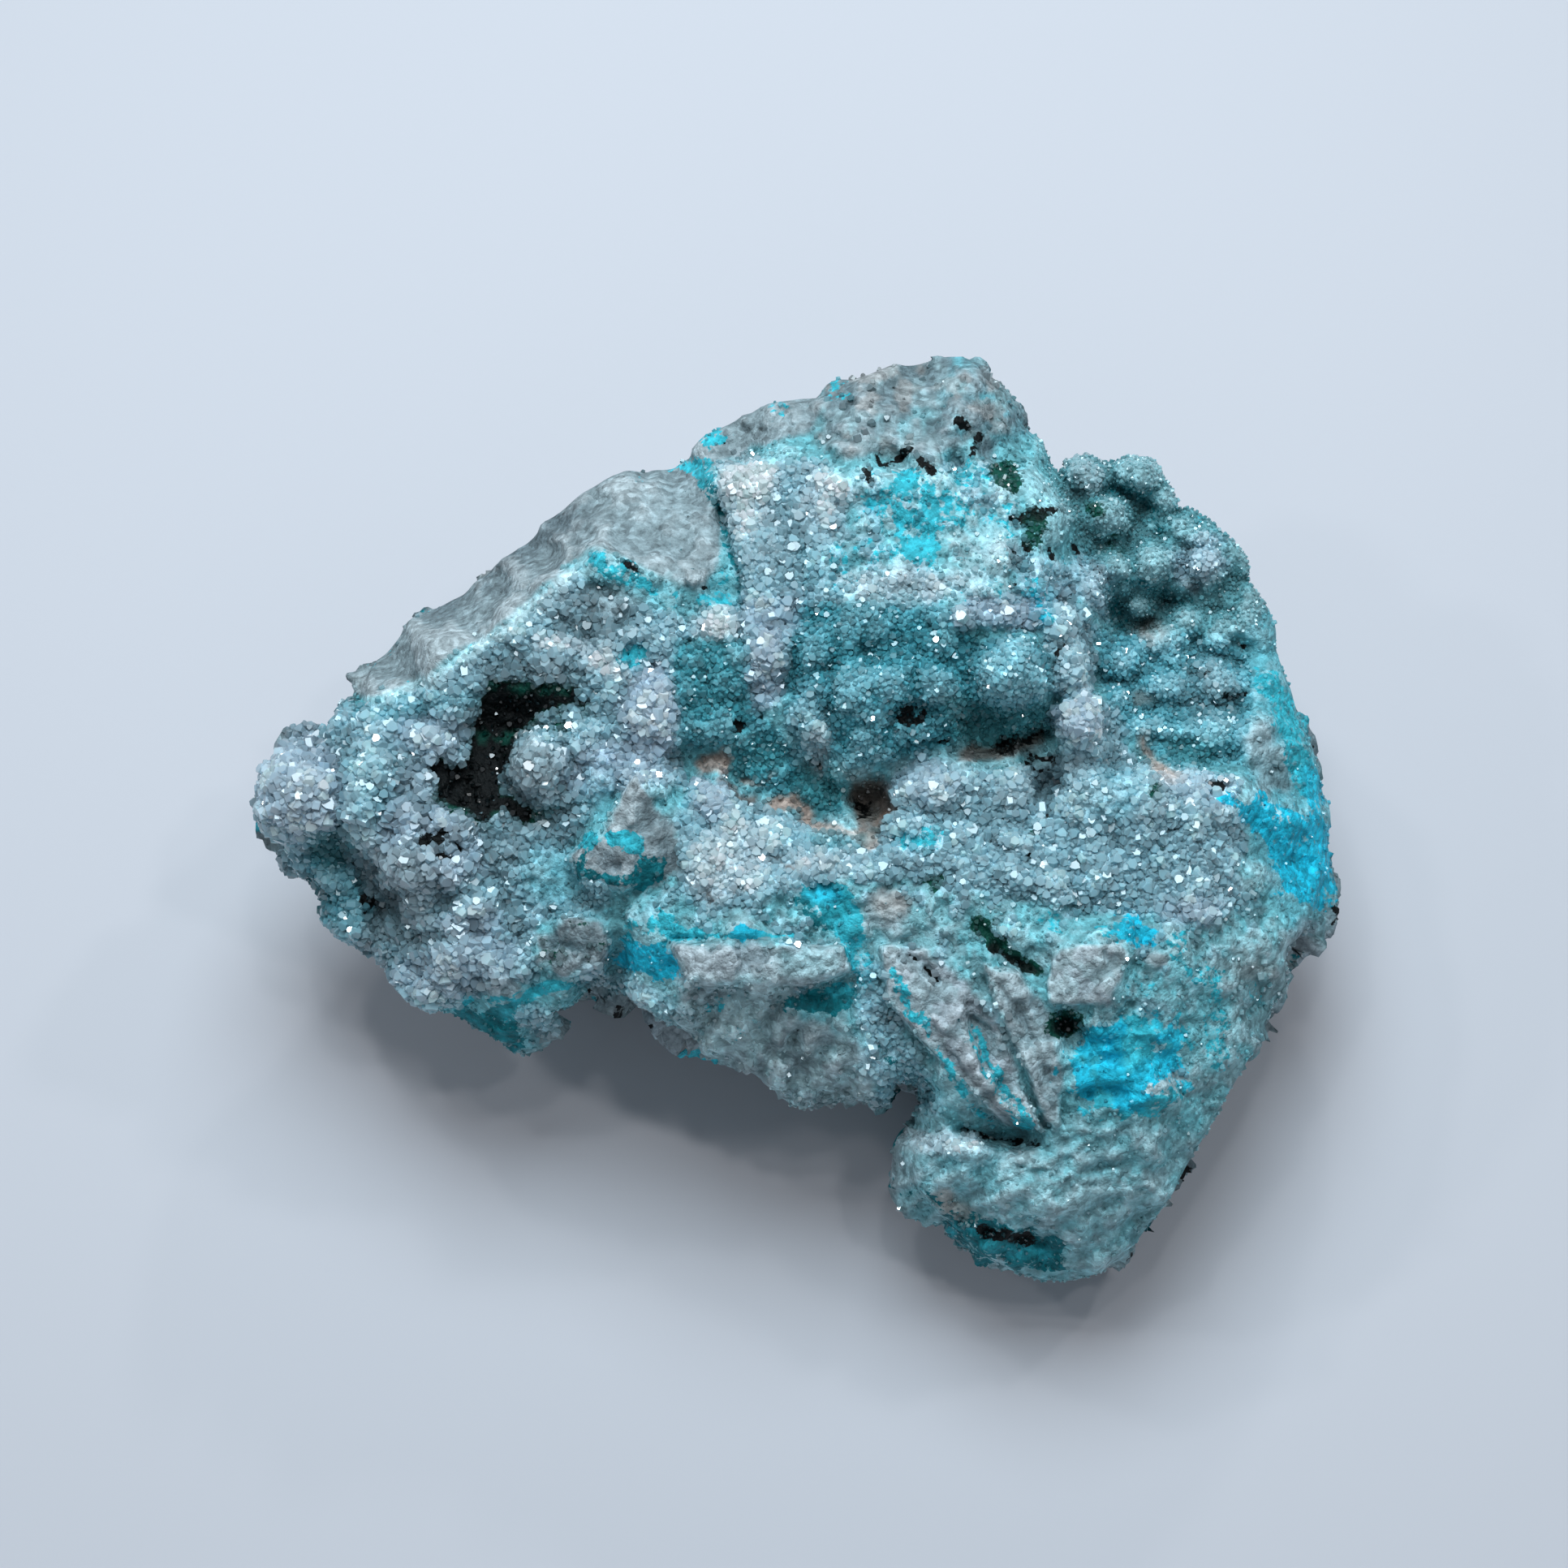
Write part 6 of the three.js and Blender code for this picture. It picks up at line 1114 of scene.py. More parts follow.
@dataclass
class Paint:
    """What the surface is made of at each place: ground, veins over it and dark minerals on top."""

    ground: np.ndarray
    vein: np.ndarray
    vein_cover: np.ndarray
    dark: np.ndarray
    dark_cover: np.ndarray
    roughness: np.ndarray
    crystals: np.ndarray
    grain: np.ndarray

    @classmethod
    def of(cls, kind: Kind, count: int) -> "Paint":
        """The same mineral everywhere."""
        mineral = kind.value
        ground, vein, dark = (
            np.tile(linear_colour(k.value.colour), (count, 1)) for k in (kind, Kind.TURQUOISE, Kind.BLACK)
        )
        values = [np.full(count, float(x)) for x in (mineral.roughness, mineral.crystals, mineral.grain)]
        return cls(ground, vein, np.zeros(count), dark, np.zeros(count), *values)

    def lay(self, kind: Kind, cover: np.ndarray, where: np.ndarray | slice = slice(None)) -> None:
        """Lays a mineral over what is there.

        Args:
            kind: The mineral.
            cover: How much of it, from 0 to 1.
            where: The places that cover is for.
        """
        mineral = kind.value
        colour = linear_colour(mineral.colour)
        if mineral.layer is Layer.GROUND:
            self.ground[where] += cover[:, None] * (colour - self.ground[where])
            self.vein_cover[where] *= 1 - cover
        if mineral.layer is Layer.VEIN:
            self.overlay(self.vein, self.vein_cover, colour, cover, where)
        if mineral.layer is Layer.DARK:
            self.overlay(self.dark, self.dark_cover, colour, cover, where)
        else:
            self.dark_cover[where] *= 1 - cover
        self.roughness[where] += cover * (mineral.roughness - self.roughness[where])
        self.crystals[where] += cover * (mineral.crystals - self.crystals[where])
        self.grain[where] += cover * (mineral.grain - self.grain[where])

    @staticmethod
    def overlay(
        colours: np.ndarray,
        covers: np.ndarray,
        colour: np.ndarray,
        cover: np.ndarray,
        where: np.ndarray | slice,
    ) -> None:
        """Adds a colour to one of the upper layers, and just beyond its edge too.

        Args:
            colours: The layer's colours.
            covers: How far the layer hides what is below.
            colour: The colour to add.
            cover: How much of it, from 0 to 1.
            where: The places that cover is for.
        """
        before = covers[where]
        after = before + cover - before * cover
        share = np.where(before < 0.02, 1, cover / np.maximum(after, 1e-6))
        colours[where] += share[:, None] * (colour - colours[where])
        covers[where] = after

    def blend(self, other: "Paint", share: np.ndarray) -> None:
        """Goes over to another paint.

        Args:
            other: The other paint.
            share: How much of the other, from 0 to 1, at each place.
        """
        for name in ("vein_cover", "dark_cover", "roughness", "crystals", "grain"):
            own = getattr(self, name)
            own += share * (getattr(other, name) - own)
        self.ground += share[:, None] * (other.ground - self.ground)
        crossed = share > 0.5
        self.vein[crossed] = other.vein[crossed]
        self.dark[crossed] = other.dark[crossed]

    def whole(self) -> np.ndarray:
        """The colour of all layers together."""
        colour = self.ground + self.vein_cover[:, None] * (self.vein - self.ground)
        return colour + self.dark_cover[:, None] * (self.dark - colour)


def linear_colour(colour: Sequence[float]) -> np.ndarray:
    """A screen colour of 0 to 255 as linear values of 0 to 1."""
    c = np.array(colour, float) / 255
    return np.where(c <= 0.04045, c / 12.92, ((c + 0.055) / 1.055) ** 2.4)


EDGE_SWING = 1.6
EDGE_MARGIN = 0.8
PATCH_EDGE = 0.1


def stain_view(u: np.ndarray, v: np.ndarray) -> Paint:
    """Lays all the stains over places of the view.

    Args:
        u: Places to the right, in one row.
        v: Places up the view, in one row.

    Returns:
        What each place is made of.
    """
    paint = Paint.of(Kind.PALE, u.size)
    edge = layered_noise([u, v], 0.9, 2, 201)
    for number, stain in enumerate(STAINS):
        distance = stain.shape.distance(u, v) + EDGE_SWING * stain.ragged * edge
        where = np.nonzero(distance < stain.soft + EDGE_MARGIN)[0]
        if where.size == 0:
            continue
        cover = stain.strength * smoothstep(stain.soft, -stain.soft, distance[where])
        if stain.patchy < 1:
            blotch = layered_noise([u[where], v[where]], stain.patch_size, 3, 301 + 5 * number)
            limit = 0.5 * (1 - 2 * stain.patchy)
            cover = cover * smoothstep(limit - PATCH_EDGE, limit + PATCH_EDGE, blotch)
        paint.lay(stain.kind, cover, where)
    return paint


class SpecimenField:
    """How far each point of a grid lies outside the specimen, negative inside it."""

    step: float = 0.3
    wall_step: float = 0.9
    fine_from: float = -7.0
    reach_u: tuple[float, float] = (-37.0, 37.0)
    reach_v: tuple[float, float] = (-32.0, 33.5)
    reach_w: tuple[float, float] = (-31.0, 16.0)
    rim_level: float = -2.0
    wall_taper: float = 0.42
    wall_wobble: float = 1.1
    wobble_size: float = 8.0
    rim_rounding: float = 1.2
    edge_rounding: float = 0.6
    underside_depth: float = 1.4

    def __init__(self, relief: Relief) -> None:
        """Lays out the grid and the top's level over it."""
        self.u = np.arange(*self.reach_u, self.step)
        self.v = np.arange(*self.reach_v, self.step)
        coarse = np.arange(self.reach_w[0], self.fine_from, self.wall_step)
        self.w = np.concatenate([coarse, np.arange(self.fine_from, self.reach_w[1], self.step)])
        self.grid_v, self.grid_u = np.meshgrid(self.v, self.u, indexing="ij")
        paint = stain_view(self.grid_u.ravel(), self.grid_v.ravel())
        druse = paint.crystals * smoothstep(0.42, 0.7, paint.grain)
        self.top = relief.level(self.grid_u, self.grid_v, druse.reshape(self.grid_u.shape))
        # Height over the neighbourhood's average, used to paint shade into creases and light onto crests.
        self.crest = np.clip((self.top - blurred(self.top, 7)) / 0.6, -1, 1)
        self.breaks = self.break_faces()
        far = self.v[-1] + (self.rim_level - self.reach_w[0]) / math.tan(SIGHT.elevation) + 1
        self.far_v = np.arange(self.v[0], far, self.step)
        far_v, far_u = np.meshgrid(self.far_v, self.u, indexing="ij")
        self.outline = path_distance(OUTLINE, far_u, far_v, True)

    @staticmethod
    def break_faces() -> list[tuple[np.ndarray, float]]:
        """The flat breaks, each as its outward direction and its place along it."""
        faces = []
        for azimuth, elevation, distance in BREAKS:
            across, up = math.radians(azimuth), math.radians(elevation)
            normal = np.array(
                [math.cos(across) * math.cos(up), math.sin(across) * math.cos(up), math.sin(up)]
            )
            faces.append((normal, float(normal @ np.array(BREAK_CENTRE)) + distance))
        return faces

    def outline_under(self, fall: float) -> np.ndarray:
        """Distance to the outline, looked up where the wall above a fallen level stands."""
        steps = fall / math.tan(SIGHT.elevation) / self.step
        low = int(steps)
        part = steps - low
        rows = len(self.v)
        return (1 - part) * self.outline[low:low + rows] + part * self.outline[low + 1:low + 1 + rows]

    def underside(self, x: np.ndarray, y: np.ndarray) -> np.ndarray:
        """Height of the underside over the table."""
        height = np.full(x.shape, -self.underside_depth)
        for middle_x, middle_y, reach_x, reach_y, lift in LIFTS:
            q = np.maximum(0, 1 - ((x - middle_x) / reach_x) ** 2 - ((y - middle_y) / reach_y) ** 2)
            height += lift * q * q * (3 - 2 * q)
        return height

    def layer(self, w: float) -> np.ndarray:
        """The field over the view at one level.

        Args:
            w: The level.

        Returns:
            Distances for each v and u.
        """
        fall = max(0.0, self.rim_level - w)
        wall = self.outline_under(0)
        if fall > 0:
            wall = np.maximum(wall, self.outline_under(fall) + self.wall_taper * fall)
        depth = smooth_max(wall, w - self.top, self.rim_rounding)
        place = SIGHT.to_specimen(self.grid_u, self.grid_v, np.float64(w))
        x, y, z = place[..., 0], place[..., 1], place[..., 2]
        if fall > 0:
            wobble = noise([x / self.wobble_size, z / self.wobble_size], 5)
            wobble = wobble + noise([y / self.wobble_size, z / self.wobble_size], 6)
            below = float(smoothstep(0, self.wobble_size, np.float64(fall)))
            depth = depth + self.wall_wobble * below * wobble
        depth = smooth_max(depth, self.underside(x, y) - z, self.edge_rounding)
        for normal, offset in self.breaks:
            depth = smooth_max(depth, place @ normal - offset, self.edge_rounding)
        return np.maximum(depth, -z)

    def sample(self) -> np.ndarray:
        """The whole field, for each w, v and u."""
        return np.stack([self.layer(float(w)) for w in self.w]).astype(np.float32)


def separate_corners(values: np.ndarray) -> None:
    """Empties the weaker of two filled corners that touch across a cell's side only.

    Args:
        values: The field, changed in place, so that its surface never meets itself in a line.
    """
    just_outside = 0.02
    changed = True
    while changed:
        changed = False
        for first_axis, second_axis in ((2, 1), (2, 0), (1, 0)):
            near = [slice(None)] * 3
            near[first_axis] = near[second_axis] = slice(None, -1)
            one, other, both = list(near), list(near), list(near)
            one[first_axis] = both[first_axis] = slice(1, None)
            other[second_axis] = both[second_axis] = slice(1, None)
            here, far = values[tuple(near)], values[tuple(both)]
            right, up = values[tuple(one)], values[tuple(other)]
            filled = here < 0
            bad = (filled == (far < 0)) & ((right < 0) == (up < 0)) & (filled != (right < 0))
            if not bad.any():
                continue
            changed = True
            for pair, mask in (((here, far), bad & filled), ((right, up), bad & ~filled)):
                weaker_first = pair[0] > pair[1]
                pair[0][mask & weaker_first] = just_outside
                pair[1][mask & ~weaker_first] = just_outside


def draw_surface(values: np.ndarray, axes: Sequence[np.ndarray]) -> tuple[np.ndarray, np.ndarray]:
    """Draws the surface of a field: a point in each crossed cell, a face across each crossed edge.

    Args:
        values: The field for each w, v and u.
        axes: The places of the grid along w, v and u.

    Returns:
        The points as u, v and w, and the faces as four point numbers each.
    """
    filled = values < 0
    cells = tuple(n - 1 for n in values.shape)
    count = np.zeros(cells, np.int8)
    corners = [(c >> 2 & 1, c >> 1 & 1, c & 1) for c in range(8)]
    for k, j, i in corners:
        count += filled[k:k + cells[0], j:j + cells[1], i:i + cells[2]]
    at = np.nonzero((count > 0) & (count < 8))
    number = np.full(cells, -1, np.int64)
    number[at] = np.arange(at[0].size)
    ends = [values[at[0] + k, at[1] + j, at[2] + i] for k, j, i in corners]
    total = np.zeros((at[0].size, 3))
    crossings = np.zeros(at[0].size)
    for a in range(8):
        for bit in (1, 2, 4):
            b = a | bit
            if b == a:
                continue
            crossed = (ends[a] < 0) != (ends[b] < 0)
            t = np.where(crossed, ends[a] / np.where(crossed, ends[a] - ends[b], 1), 0)
            start, way = np.array(corners[a], float), np.array(corners[b], float) - np.array(corners[a])
            total += crossed[:, None] * (start + t[:, None] * way)
            crossings += crossed
    total /= crossings[:, None]
    points = []
    for axis, places in enumerate(axes):
        low = places[at[axis]]
        points.append(low + total[:, axis] * (places[at[axis] + 1] - low))
    faces = [crossed_edges(filled, number, axis) for axis in range(3)]
    return np.stack(points[::-1], -1), np.concatenate(faces)


def crossed_edges(filled: np.ndarray, number: np.ndarray, axis: int) -> np.ndarray:
    """Faces across the grid edges of one direction.

    Args:
        filled: Which corners are inside, for each w, v and u.
        number: The point number of each cell.
        axis: The direction of the edges: 0 for w, 1 for v, 2 for u.

    Returns:
        The faces, turned outwards, as four point numbers each.
    """
    core = [slice(1, -1)] * 3
    core[axis] = slice(0, -1)
    ahead = list(core)
    ahead[axis] = slice(1, None)
    here, there = filled[tuple(core)], filled[tuple(ahead)]
    at = [a + (0 if d == axis else 1) for d, a in enumerate(np.nonzero(here != there))]
    inwards = ~filled[tuple(at)]
    first, second = [d for d in range(3) if d != axis]

    def cell(back_first: int, back_second: int) -> np.ndarray:
        """Point numbers of the cell that lies back along the two other directions."""
        place = list(at)
        place[first] = place[first] - back_first
        place[second] = place[second] - back_second
        return number[tuple(place)]

    ring = np.stack([cell(1, 1), cell(1, 0), cell(0, 0), cell(0, 1)], -1)
    turned = inwards if axis != 1 else ~inwards
    ring[turned] = ring[turned][:, ::-1]
    return ring


def largest_body(count: int, faces: np.ndarray) -> np.ndarray:
    """Tells which points belong to the largest connected body.

    Args:
        count: How many points there are.
        faces: Four point numbers for each face.

    Returns:
        True for each point of that body.
    """
    label = np.arange(count)
    edges = np.concatenate([faces[:, [k, (k + 1) % 4]] for k in range(4)])
    while True:
        lowest = np.minimum(label[edges[:, 0]], label[edges[:, 1]])
        new = label.copy()
        np.minimum.at(new, edges[:, 0], lowest)
        np.minimum.at(new, edges[:, 1], lowest)
        new = new[new]
        if np.array_equal(new, label):
            break
        label = new
    names, sizes = np.unique(label, return_counts=True)
    return label == names[np.argmax(sizes)]


def point_normals(points: np.ndarray, faces: np.ndarray) -> np.ndarray:
    """Outward direction at each point, from the faces round it."""
    across = points[faces[:, 2]] - points[faces[:, 0]]
    along = points[faces[:, 3]] - points[faces[:, 1]]
    face_normals = np.cross(across, along)
    normals = np.zeros(points.shape)
    for corner in range(4):
        for axis in range(3):
            normals[:, axis] += np.bincount(faces[:, corner], face_normals[:, axis], len(points))
    return normals / np.maximum(np.linalg.norm(normals, axis=1, keepdims=True), 1e-12)


# Stains of the walls: mineral, blotch size, share of the wall, strength and number of the pattern.
WALL_STAINS: Sequence[tuple[Kind, float, float, float, int]] = (
    (Kind.BUFF, 6.0, 0.4, 0.5, 411), (Kind.SLATE, 3.0, 0.3, 0.45, 421), (Kind.ROSE, 7.0, 0.3, 0.4, 431),
    (Kind.PALE, 3.6, 0.24, 0.6, 441), (Kind.TURQUOISE, 2.6, 0.1, 0.8, 451),
    (Kind.SAND, 3.0, 0.1, 0.3, 461), (Kind.DARK_TURQUOISE, 2.0, 0.07, 0.7, 471),
    (Kind.CREAM, 1.2, 0.2, 0.4, 481), (Kind.BLACK, 0.8, 0.03, 0.9, 491),
)

# Facets of the walls, from the broadest: size, depth and number of the pattern.
WALL_FACETS: Sequence[tuple[float, float, int]] = ((6.0, 1.5, 531), (2.6, 0.75, 541), (1.1, 0.25, 545))


@dataclass
class StoneSurface:
    """The specimen's whole surface, as points with their minerals."""

    view: np.ndarray
    points: np.ndarray
    faces: np.ndarray
    normals: np.ndarray
    paint: Paint
    below: np.ndarray
    # Painted shade and light: how much the ground darkens in creases, more where crystals grow, and how far
    # it pales towards a light colour on crests.
    painted_crease_shade: float = 0.14
    crystal_painted_crease_shade: float = 0.2
    crest_painted_light: float = 0.22
    painted_light_colour: float = 0.8
    wall_from: float = 2.2
    wall_whole: float = 5.5
    wall_crystals: float = 0.1
    blotch_edge: float = 0.06
    facets_from: float = 1.5
    facets_whole: float = 5.0
    facet_shift: float = -0.5
    facet_range: tuple[float, float] = (-1.8, 0.25)
    foot_height: float = 0.06
    foot_unevenness: float = 0.28

    @classmethod
    def build(cls) -> "StoneSurface":
        """Draws the surface, roughens it, lays the minerals over it and paints shade into its creases and
        light onto its crests.
        """
        grid = SpecimenField(Relief())
        values = grid.sample()
        separate_corners(values)
        view, faces = draw_surface(values, (grid.w, grid.v, grid.u))
        keep = largest_body(len(view), faces)
        faces = faces[keep[faces[:, 0]]]
        renumber = np.cumsum(keep) - 1
        view, faces = view[keep], renumber[faces]
        points = SIGHT.to_specimen(view[:, 0], view[:, 1], view[:, 2])
        top = cls.look_up(grid, grid.top, view)
        paint = stain_view(view[:, 0], view[:, 1])
        # Painted shade in the creases and painted light on the crests, from each point's height over its
        # neighbourhood.
        crest = cls.look_up(grid, grid.crest, view)
        tone = cls.painted_crease_shade + cls.crystal_painted_crease_shade * np.clip(paint.crystals, 0, 1)
        paint.ground *= 1 + (tone * crest)[:, None]
        paint.ground += cls.crest_painted_light * np.maximum(crest, 0)[:, None] * (cls.painted_light_colour - paint.ground)
        surface = cls(view, points, faces, point_normals(points, faces), paint, top - view[:, 2])
        surface.weather()
        surface.break_walls()
        return surface

    @staticmethod
    def look_up(grid: SpecimenField, values: np.ndarray, view: np.ndarray) -> np.ndarray:
        """The value over each point, from a grid of the view."""
        i = np.clip((view[:, 0] - grid.u[0]) / grid.step, 0, len(grid.u) - 1.001)
        j = np.clip((view[:, 1] - grid.v[0]) / grid.step, 0, len(grid.v) - 1.001)
        return values[j.round().astype(int), i.round().astype(int)]

    def weather(self) -> None:
        """Turns the walls, the back and the underside to bare stained rock."""
        places = [self.points[:, axis] for axis in range(3)]
        ragged = 1.2 * layered_noise(places, 3.0, 2, 401)
        bare = smoothstep(self.wall_from, self.wall_whole, self.below + ragged)
        wall = Paint.of(Kind.GREY, len(self.points))
        for kind, size, share, strength, seed in WALL_STAINS:
            blotch = layered_noise(places, size, 4, seed)
            limit = 0.42 * (1 - 2 * share)
            cover = smoothstep(limit - self.blotch_edge, limit + self.blotch_edge, blotch)
            wall.lay(kind, strength * cover)
        wall.crystals *= self.wall_crystals * (1 - wall.dark_cover)
        self.paint.blend(wall, bare)
        speckle = 1 + 0.14 * layered_noise(places, 0.8, 2, 501)
        speckle = speckle + 0.12 * layered_noise(places, 3.5, 2, 511)
        self.paint.ground *= speckle[:, None]
        self.paint.vein *= speckle[:, None]

    def break_walls(self) -> None:
        """Gives the walls and the underside the flat facets of broken rock."""
        places = [self.points[:, axis] for axis in range(3)]
        bent = [p + 0.8 * noise([q / 2.2 for q in places], 521 + axis) for axis, p in enumerate(places)]
        bare = smoothstep(self.facets_from, self.facets_whole, self.below)
        sink = np.zeros(len(self.points))
        for size, depth, seed in WALL_FACETS:
            _, _, own = stone_cells(bent, size, seed)
            tilt = own[0] * np.sin(11 * own[3]) + own[1] * np.cos(13 * own[3])
            tilt = tilt + own[2] * np.sin(17 * own[3])
            sink += depth * (0.5 * own[3] + 0.9 * tilt)
        rough = layered_noise(places, 1.3, 2, 551)
        sink = np.clip(sink + self.facet_shift, *self.facet_range)
        sink = bare * (sink + 0.25 * rough) + (1 - bare) * 0.05 * rough
        on_foot = self.points[:, 2] < self.foot_height
        sink[on_foot] = 0
        self.points -= sink[:, None] * self.normals
        lift = self.foot_unevenness * np.clip(layered_noise(places, 2.4, 3, 561) + 0.1, 0, 1)
        self.points[on_foot, 2] = lift[on_foot]
        self.points[:, 2] = np.maximum(self.points[:, 2], 0)
        self.normals = point_normals(self.points, self.faces)


def mesh_object(name: str, points: np.ndarray, faces: Sequence, smooth: bool = True) -> bpy.types.Object:
    """Makes an object at the origin from points in millimetres.

    Args:
        name: The object's name.
        points: Its points.
        faces: Its faces, as point numbers.
        smooth: Whether its faces are shaded as one smooth skin.

    Returns:
        The linked object.
    """
    mesh = bpy.data.meshes.new(name)
    mesh.from_pydata((np.asarray(points) * MM).tolist(), [], [list(map(int, f)) for f in faces])
    mesh.update()
    mesh.polygons.foreach_set("use_smooth", np.full(len(mesh.polygons), smooth))
    thing = bpy.data.objects.new(name, mesh)
    bpy.context.scene.collection.objects.link(thing)
    return thing


def set_values(mesh: bpy.types.Mesh, name: str, values: np.ndarray) -> None:
    """Writes one value or colour for each point of a mesh.

    Args:
        mesh: The mesh.
        name: The attribute's name.
        values: One value, or red, green and blue, for each point.
    """
    if values.ndim == 1:
        made = mesh.attributes.new(name, "FLOAT", "POINT")
        made.data.foreach_set("value", values.astype(np.float32))
        return
    made = mesh.attributes.new(name, "FLOAT_COLOR", "POINT")
    rgba = np.concatenate([np.clip(values, 0, 1), np.ones((len(values), 1))], 1)
    made.data.foreach_set("color", rgba.astype(np.float32).ravel())


def add_node(
    tree: bpy.types.NodeTree, kind: str, values: dict[str, Any] | None = None, **settings: Any
) -> bpy.types.Node:
    """Adds a node to a tree.

    Args:
        tree: The tree.
        kind: The node's type.
        values: Values or output sockets for its inputs, by the inputs' names.
        settings: Its own settings.

    Returns:
        The node.
    """
    made = tree.nodes.new(kind)
    for name, value in settings.items():
        setattr(made, name, value)
    for name, value in (values or {}).items():
        socket = next(s for s in made.inputs if s.name == name and s.enabled)
        if isinstance(value, bpy.types.NodeSocket):
            tree.links.new(value, socket)
        else:
            socket.default_value = value
    return made


def output(made: bpy.types.Node, name: str | None = None) -> bpy.types.NodeSocket:
    """The first enabled output of a node, or the one of that name."""
    return next(s for s in made.outputs if s.enabled and (name is None or s.name == name))


def socket_chain(tree: bpy.types.NodeTree, operation: str, *parts: Any) -> bpy.types.NodeSocket:
    """One step of arithmetic.

    Args:
        tree: The tree.
        operation: The operation's name.
        parts: Numbers or output sockets.

    Returns:
        The result's socket.
    """
    made = add_node(tree, "ShaderNodeMath", operation=operation)
    for socket, part in zip(made.inputs, parts):
        if isinstance(part, bpy.types.NodeSocket):
            tree.links.new(part, socket)
        else:
            socket.default_value = part
    return output(made)


def new_group(
    name: str, inputs: Sequence[tuple[str, str]], outputs: Sequence[tuple[str, str]]
) -> bpy.types.NodeTree:
    """Makes an empty shader group.

    Args:
        name: The group's name.
        inputs: Names and socket types of its inputs.
        outputs: Names and socket types of its outputs.

    Returns:
        The group.
    """
    tree = bpy.data.node_groups.new(name, "ShaderNodeTree")
    for way, sockets in (("INPUT", inputs), ("OUTPUT", outputs)):
        for socket, kind in sockets:
            tree.interface.new_socket(socket, in_out=way, socket_type=kind)
    return tree


def clouds(
    tree: bpy.types.NodeTree, size: float | bpy.types.NodeSocket, detail: float
) -> bpy.types.NodeSocket:
    """Noise over the object's own coordinates.

    Args:
        tree: The tree.
        size: Size of its blotches, in metres.
        detail: How many finer layers it has.

    Returns:
        The noise, mostly between 0.3 and 0.7.
    """
    place = add_node(tree, "ShaderNodeTexCoord")
    scale = socket_chain(tree, "DIVIDE", 1.0, size)
    made = add_node(
        tree, "ShaderNodeTexNoise",
        {"Vector": place.outputs["Object"], "Scale": scale, "Detail": detail, "Roughness": 0.6},
    )
    return made.outputs["Fac"]


def scaled_colour(
    tree: bpy.types.NodeTree, colour: bpy.types.NodeSocket, factor: bpy.types.NodeSocket
) -> bpy.types.NodeSocket:
    """A colour made lighter or darker by a factor."""
    made = add_node(tree, "ShaderNodeVectorMath", operation="SCALE")
    tree.links.new(colour, made.inputs[0])
    tree.links.new(factor, made.inputs["Scale"])
    return output(made)


def mottle_group() -> bpy.types.NodeTree:
    """Shader group: uneven tone of a mineral, from its own tint."""
    name = "mineral_mottle"
    if name in bpy.data.node_groups:
        return bpy.data.node_groups[name]
    inputs = (("Tint", "NodeSocketColor"), ("Size", "NodeSocketFloat"), ("Contrast", "NodeSocketFloat"))
    tree = new_group(name, inputs, (("Colour", "NodeSocketColor"),))
    start = tree.nodes.new("NodeGroupInput").outputs
    spread = socket_chain(tree, "SUBTRACT", clouds(tree, start["Size"], 4.0), 0.5)
    swing = socket_chain(tree, "MULTIPLY", spread, start["Contrast"])
    factor = socket_chain(tree, "MAXIMUM", socket_chain(tree, "ADD", swing, 1.0), 0.15)
    end = tree.nodes.new("NodeGroupOutput")
    tree.links.new(scaled_colour(tree, start["Tint"], factor), end.inputs["Colour"])
    return tree


def granule_group() -> bpy.types.NodeTree:
    """Shader group: packed angular grains, each with its own tone and a raised middle."""
    name = "rock_granules"
    if name in bpy.data.node_groups:
        return bpy.data.node_groups[name]
    outputs = (("Tone", "NodeSocketFloat"), ("Height", "NodeSocketFloat"))
    tree = new_group(name, (("Size", "NodeSocketFloat"),), outputs)
    start = tree.nodes.new("NodeGroupInput").outputs
    place = add_node(tree, "ShaderNodeTexCoord")
    scale = socket_chain(tree, "DIVIDE", 1.0, start["Size"])
    cells = add_node(
        tree, "ShaderNodeTexVoronoi",
        {"Vector": place.outputs["Object"], "Scale": scale, "Randomness": 1.0}, feature="F1",
    )
    parts = add_node(tree, "ShaderNodeSeparateColor", {"Color": cells.outputs["Color"]})
    height = socket_chain(tree, "SUBTRACT", 1.0, cells.outputs["Distance"])
    end = tree.nodes.new("NodeGroupOutput")
    tree.links.new(parts.outputs["Red"], end.inputs["Tone"])
    tree.links.new(height, end.inputs["Height"])
    return tree


def ragged_group() -> bpy.types.NodeTree:
    """Shader group: turns a soft cover into a mask with a crisp, ragged edge."""
    name = "ragged_edge"
    if name in bpy.data.node_groups:
        return bpy.data.node_groups[name]
    inputs = (("Cover", "NodeSocketFloat"), ("Size", "NodeSocketFloat"), ("Raggedness", "NodeSocketFloat"))
    tree = new_group(name, inputs, (("Mask", "NodeSocketFloat"),))
    start = tree.nodes.new("NodeGroupInput").outputs
    spread = socket_chain(tree, "SUBTRACT", clouds(tree, start["Size"], 3.0), 0.5)
    swing = socket_chain(tree, "MULTIPLY", spread, start["Raggedness"])
    moved = socket_chain(tree, "ADD", swing, start["Cover"])
    crisp = add_node(
        tree, "ShaderNodeMapRange", {"Value": moved, "From Min": 0.38, "From Max": 0.62},
        interpolation_type="SMOOTHSTEP",
    )
    end = tree.nodes.new("NodeGroupOutput")
    tree.links.new(output(crisp), end.inputs["Mask"])
    return tree


def use_group(
    tree: bpy.types.NodeTree, group: bpy.types.NodeTree, values: dict[str, Any]
) -> bpy.types.NodeSocket:
    """Puts a shader group into a material and returns its first output."""
    return output(add_node(tree, "ShaderNodeGroup", values, node_tree=group))


def attribute(tree: bpy.types.NodeTree, name: str, kind: str = "Fac") -> bpy.types.NodeSocket:
    """A value or colour that the mesh carries."""
    return add_node(tree, "ShaderNodeAttribute", attribute_name=name).outputs[kind]


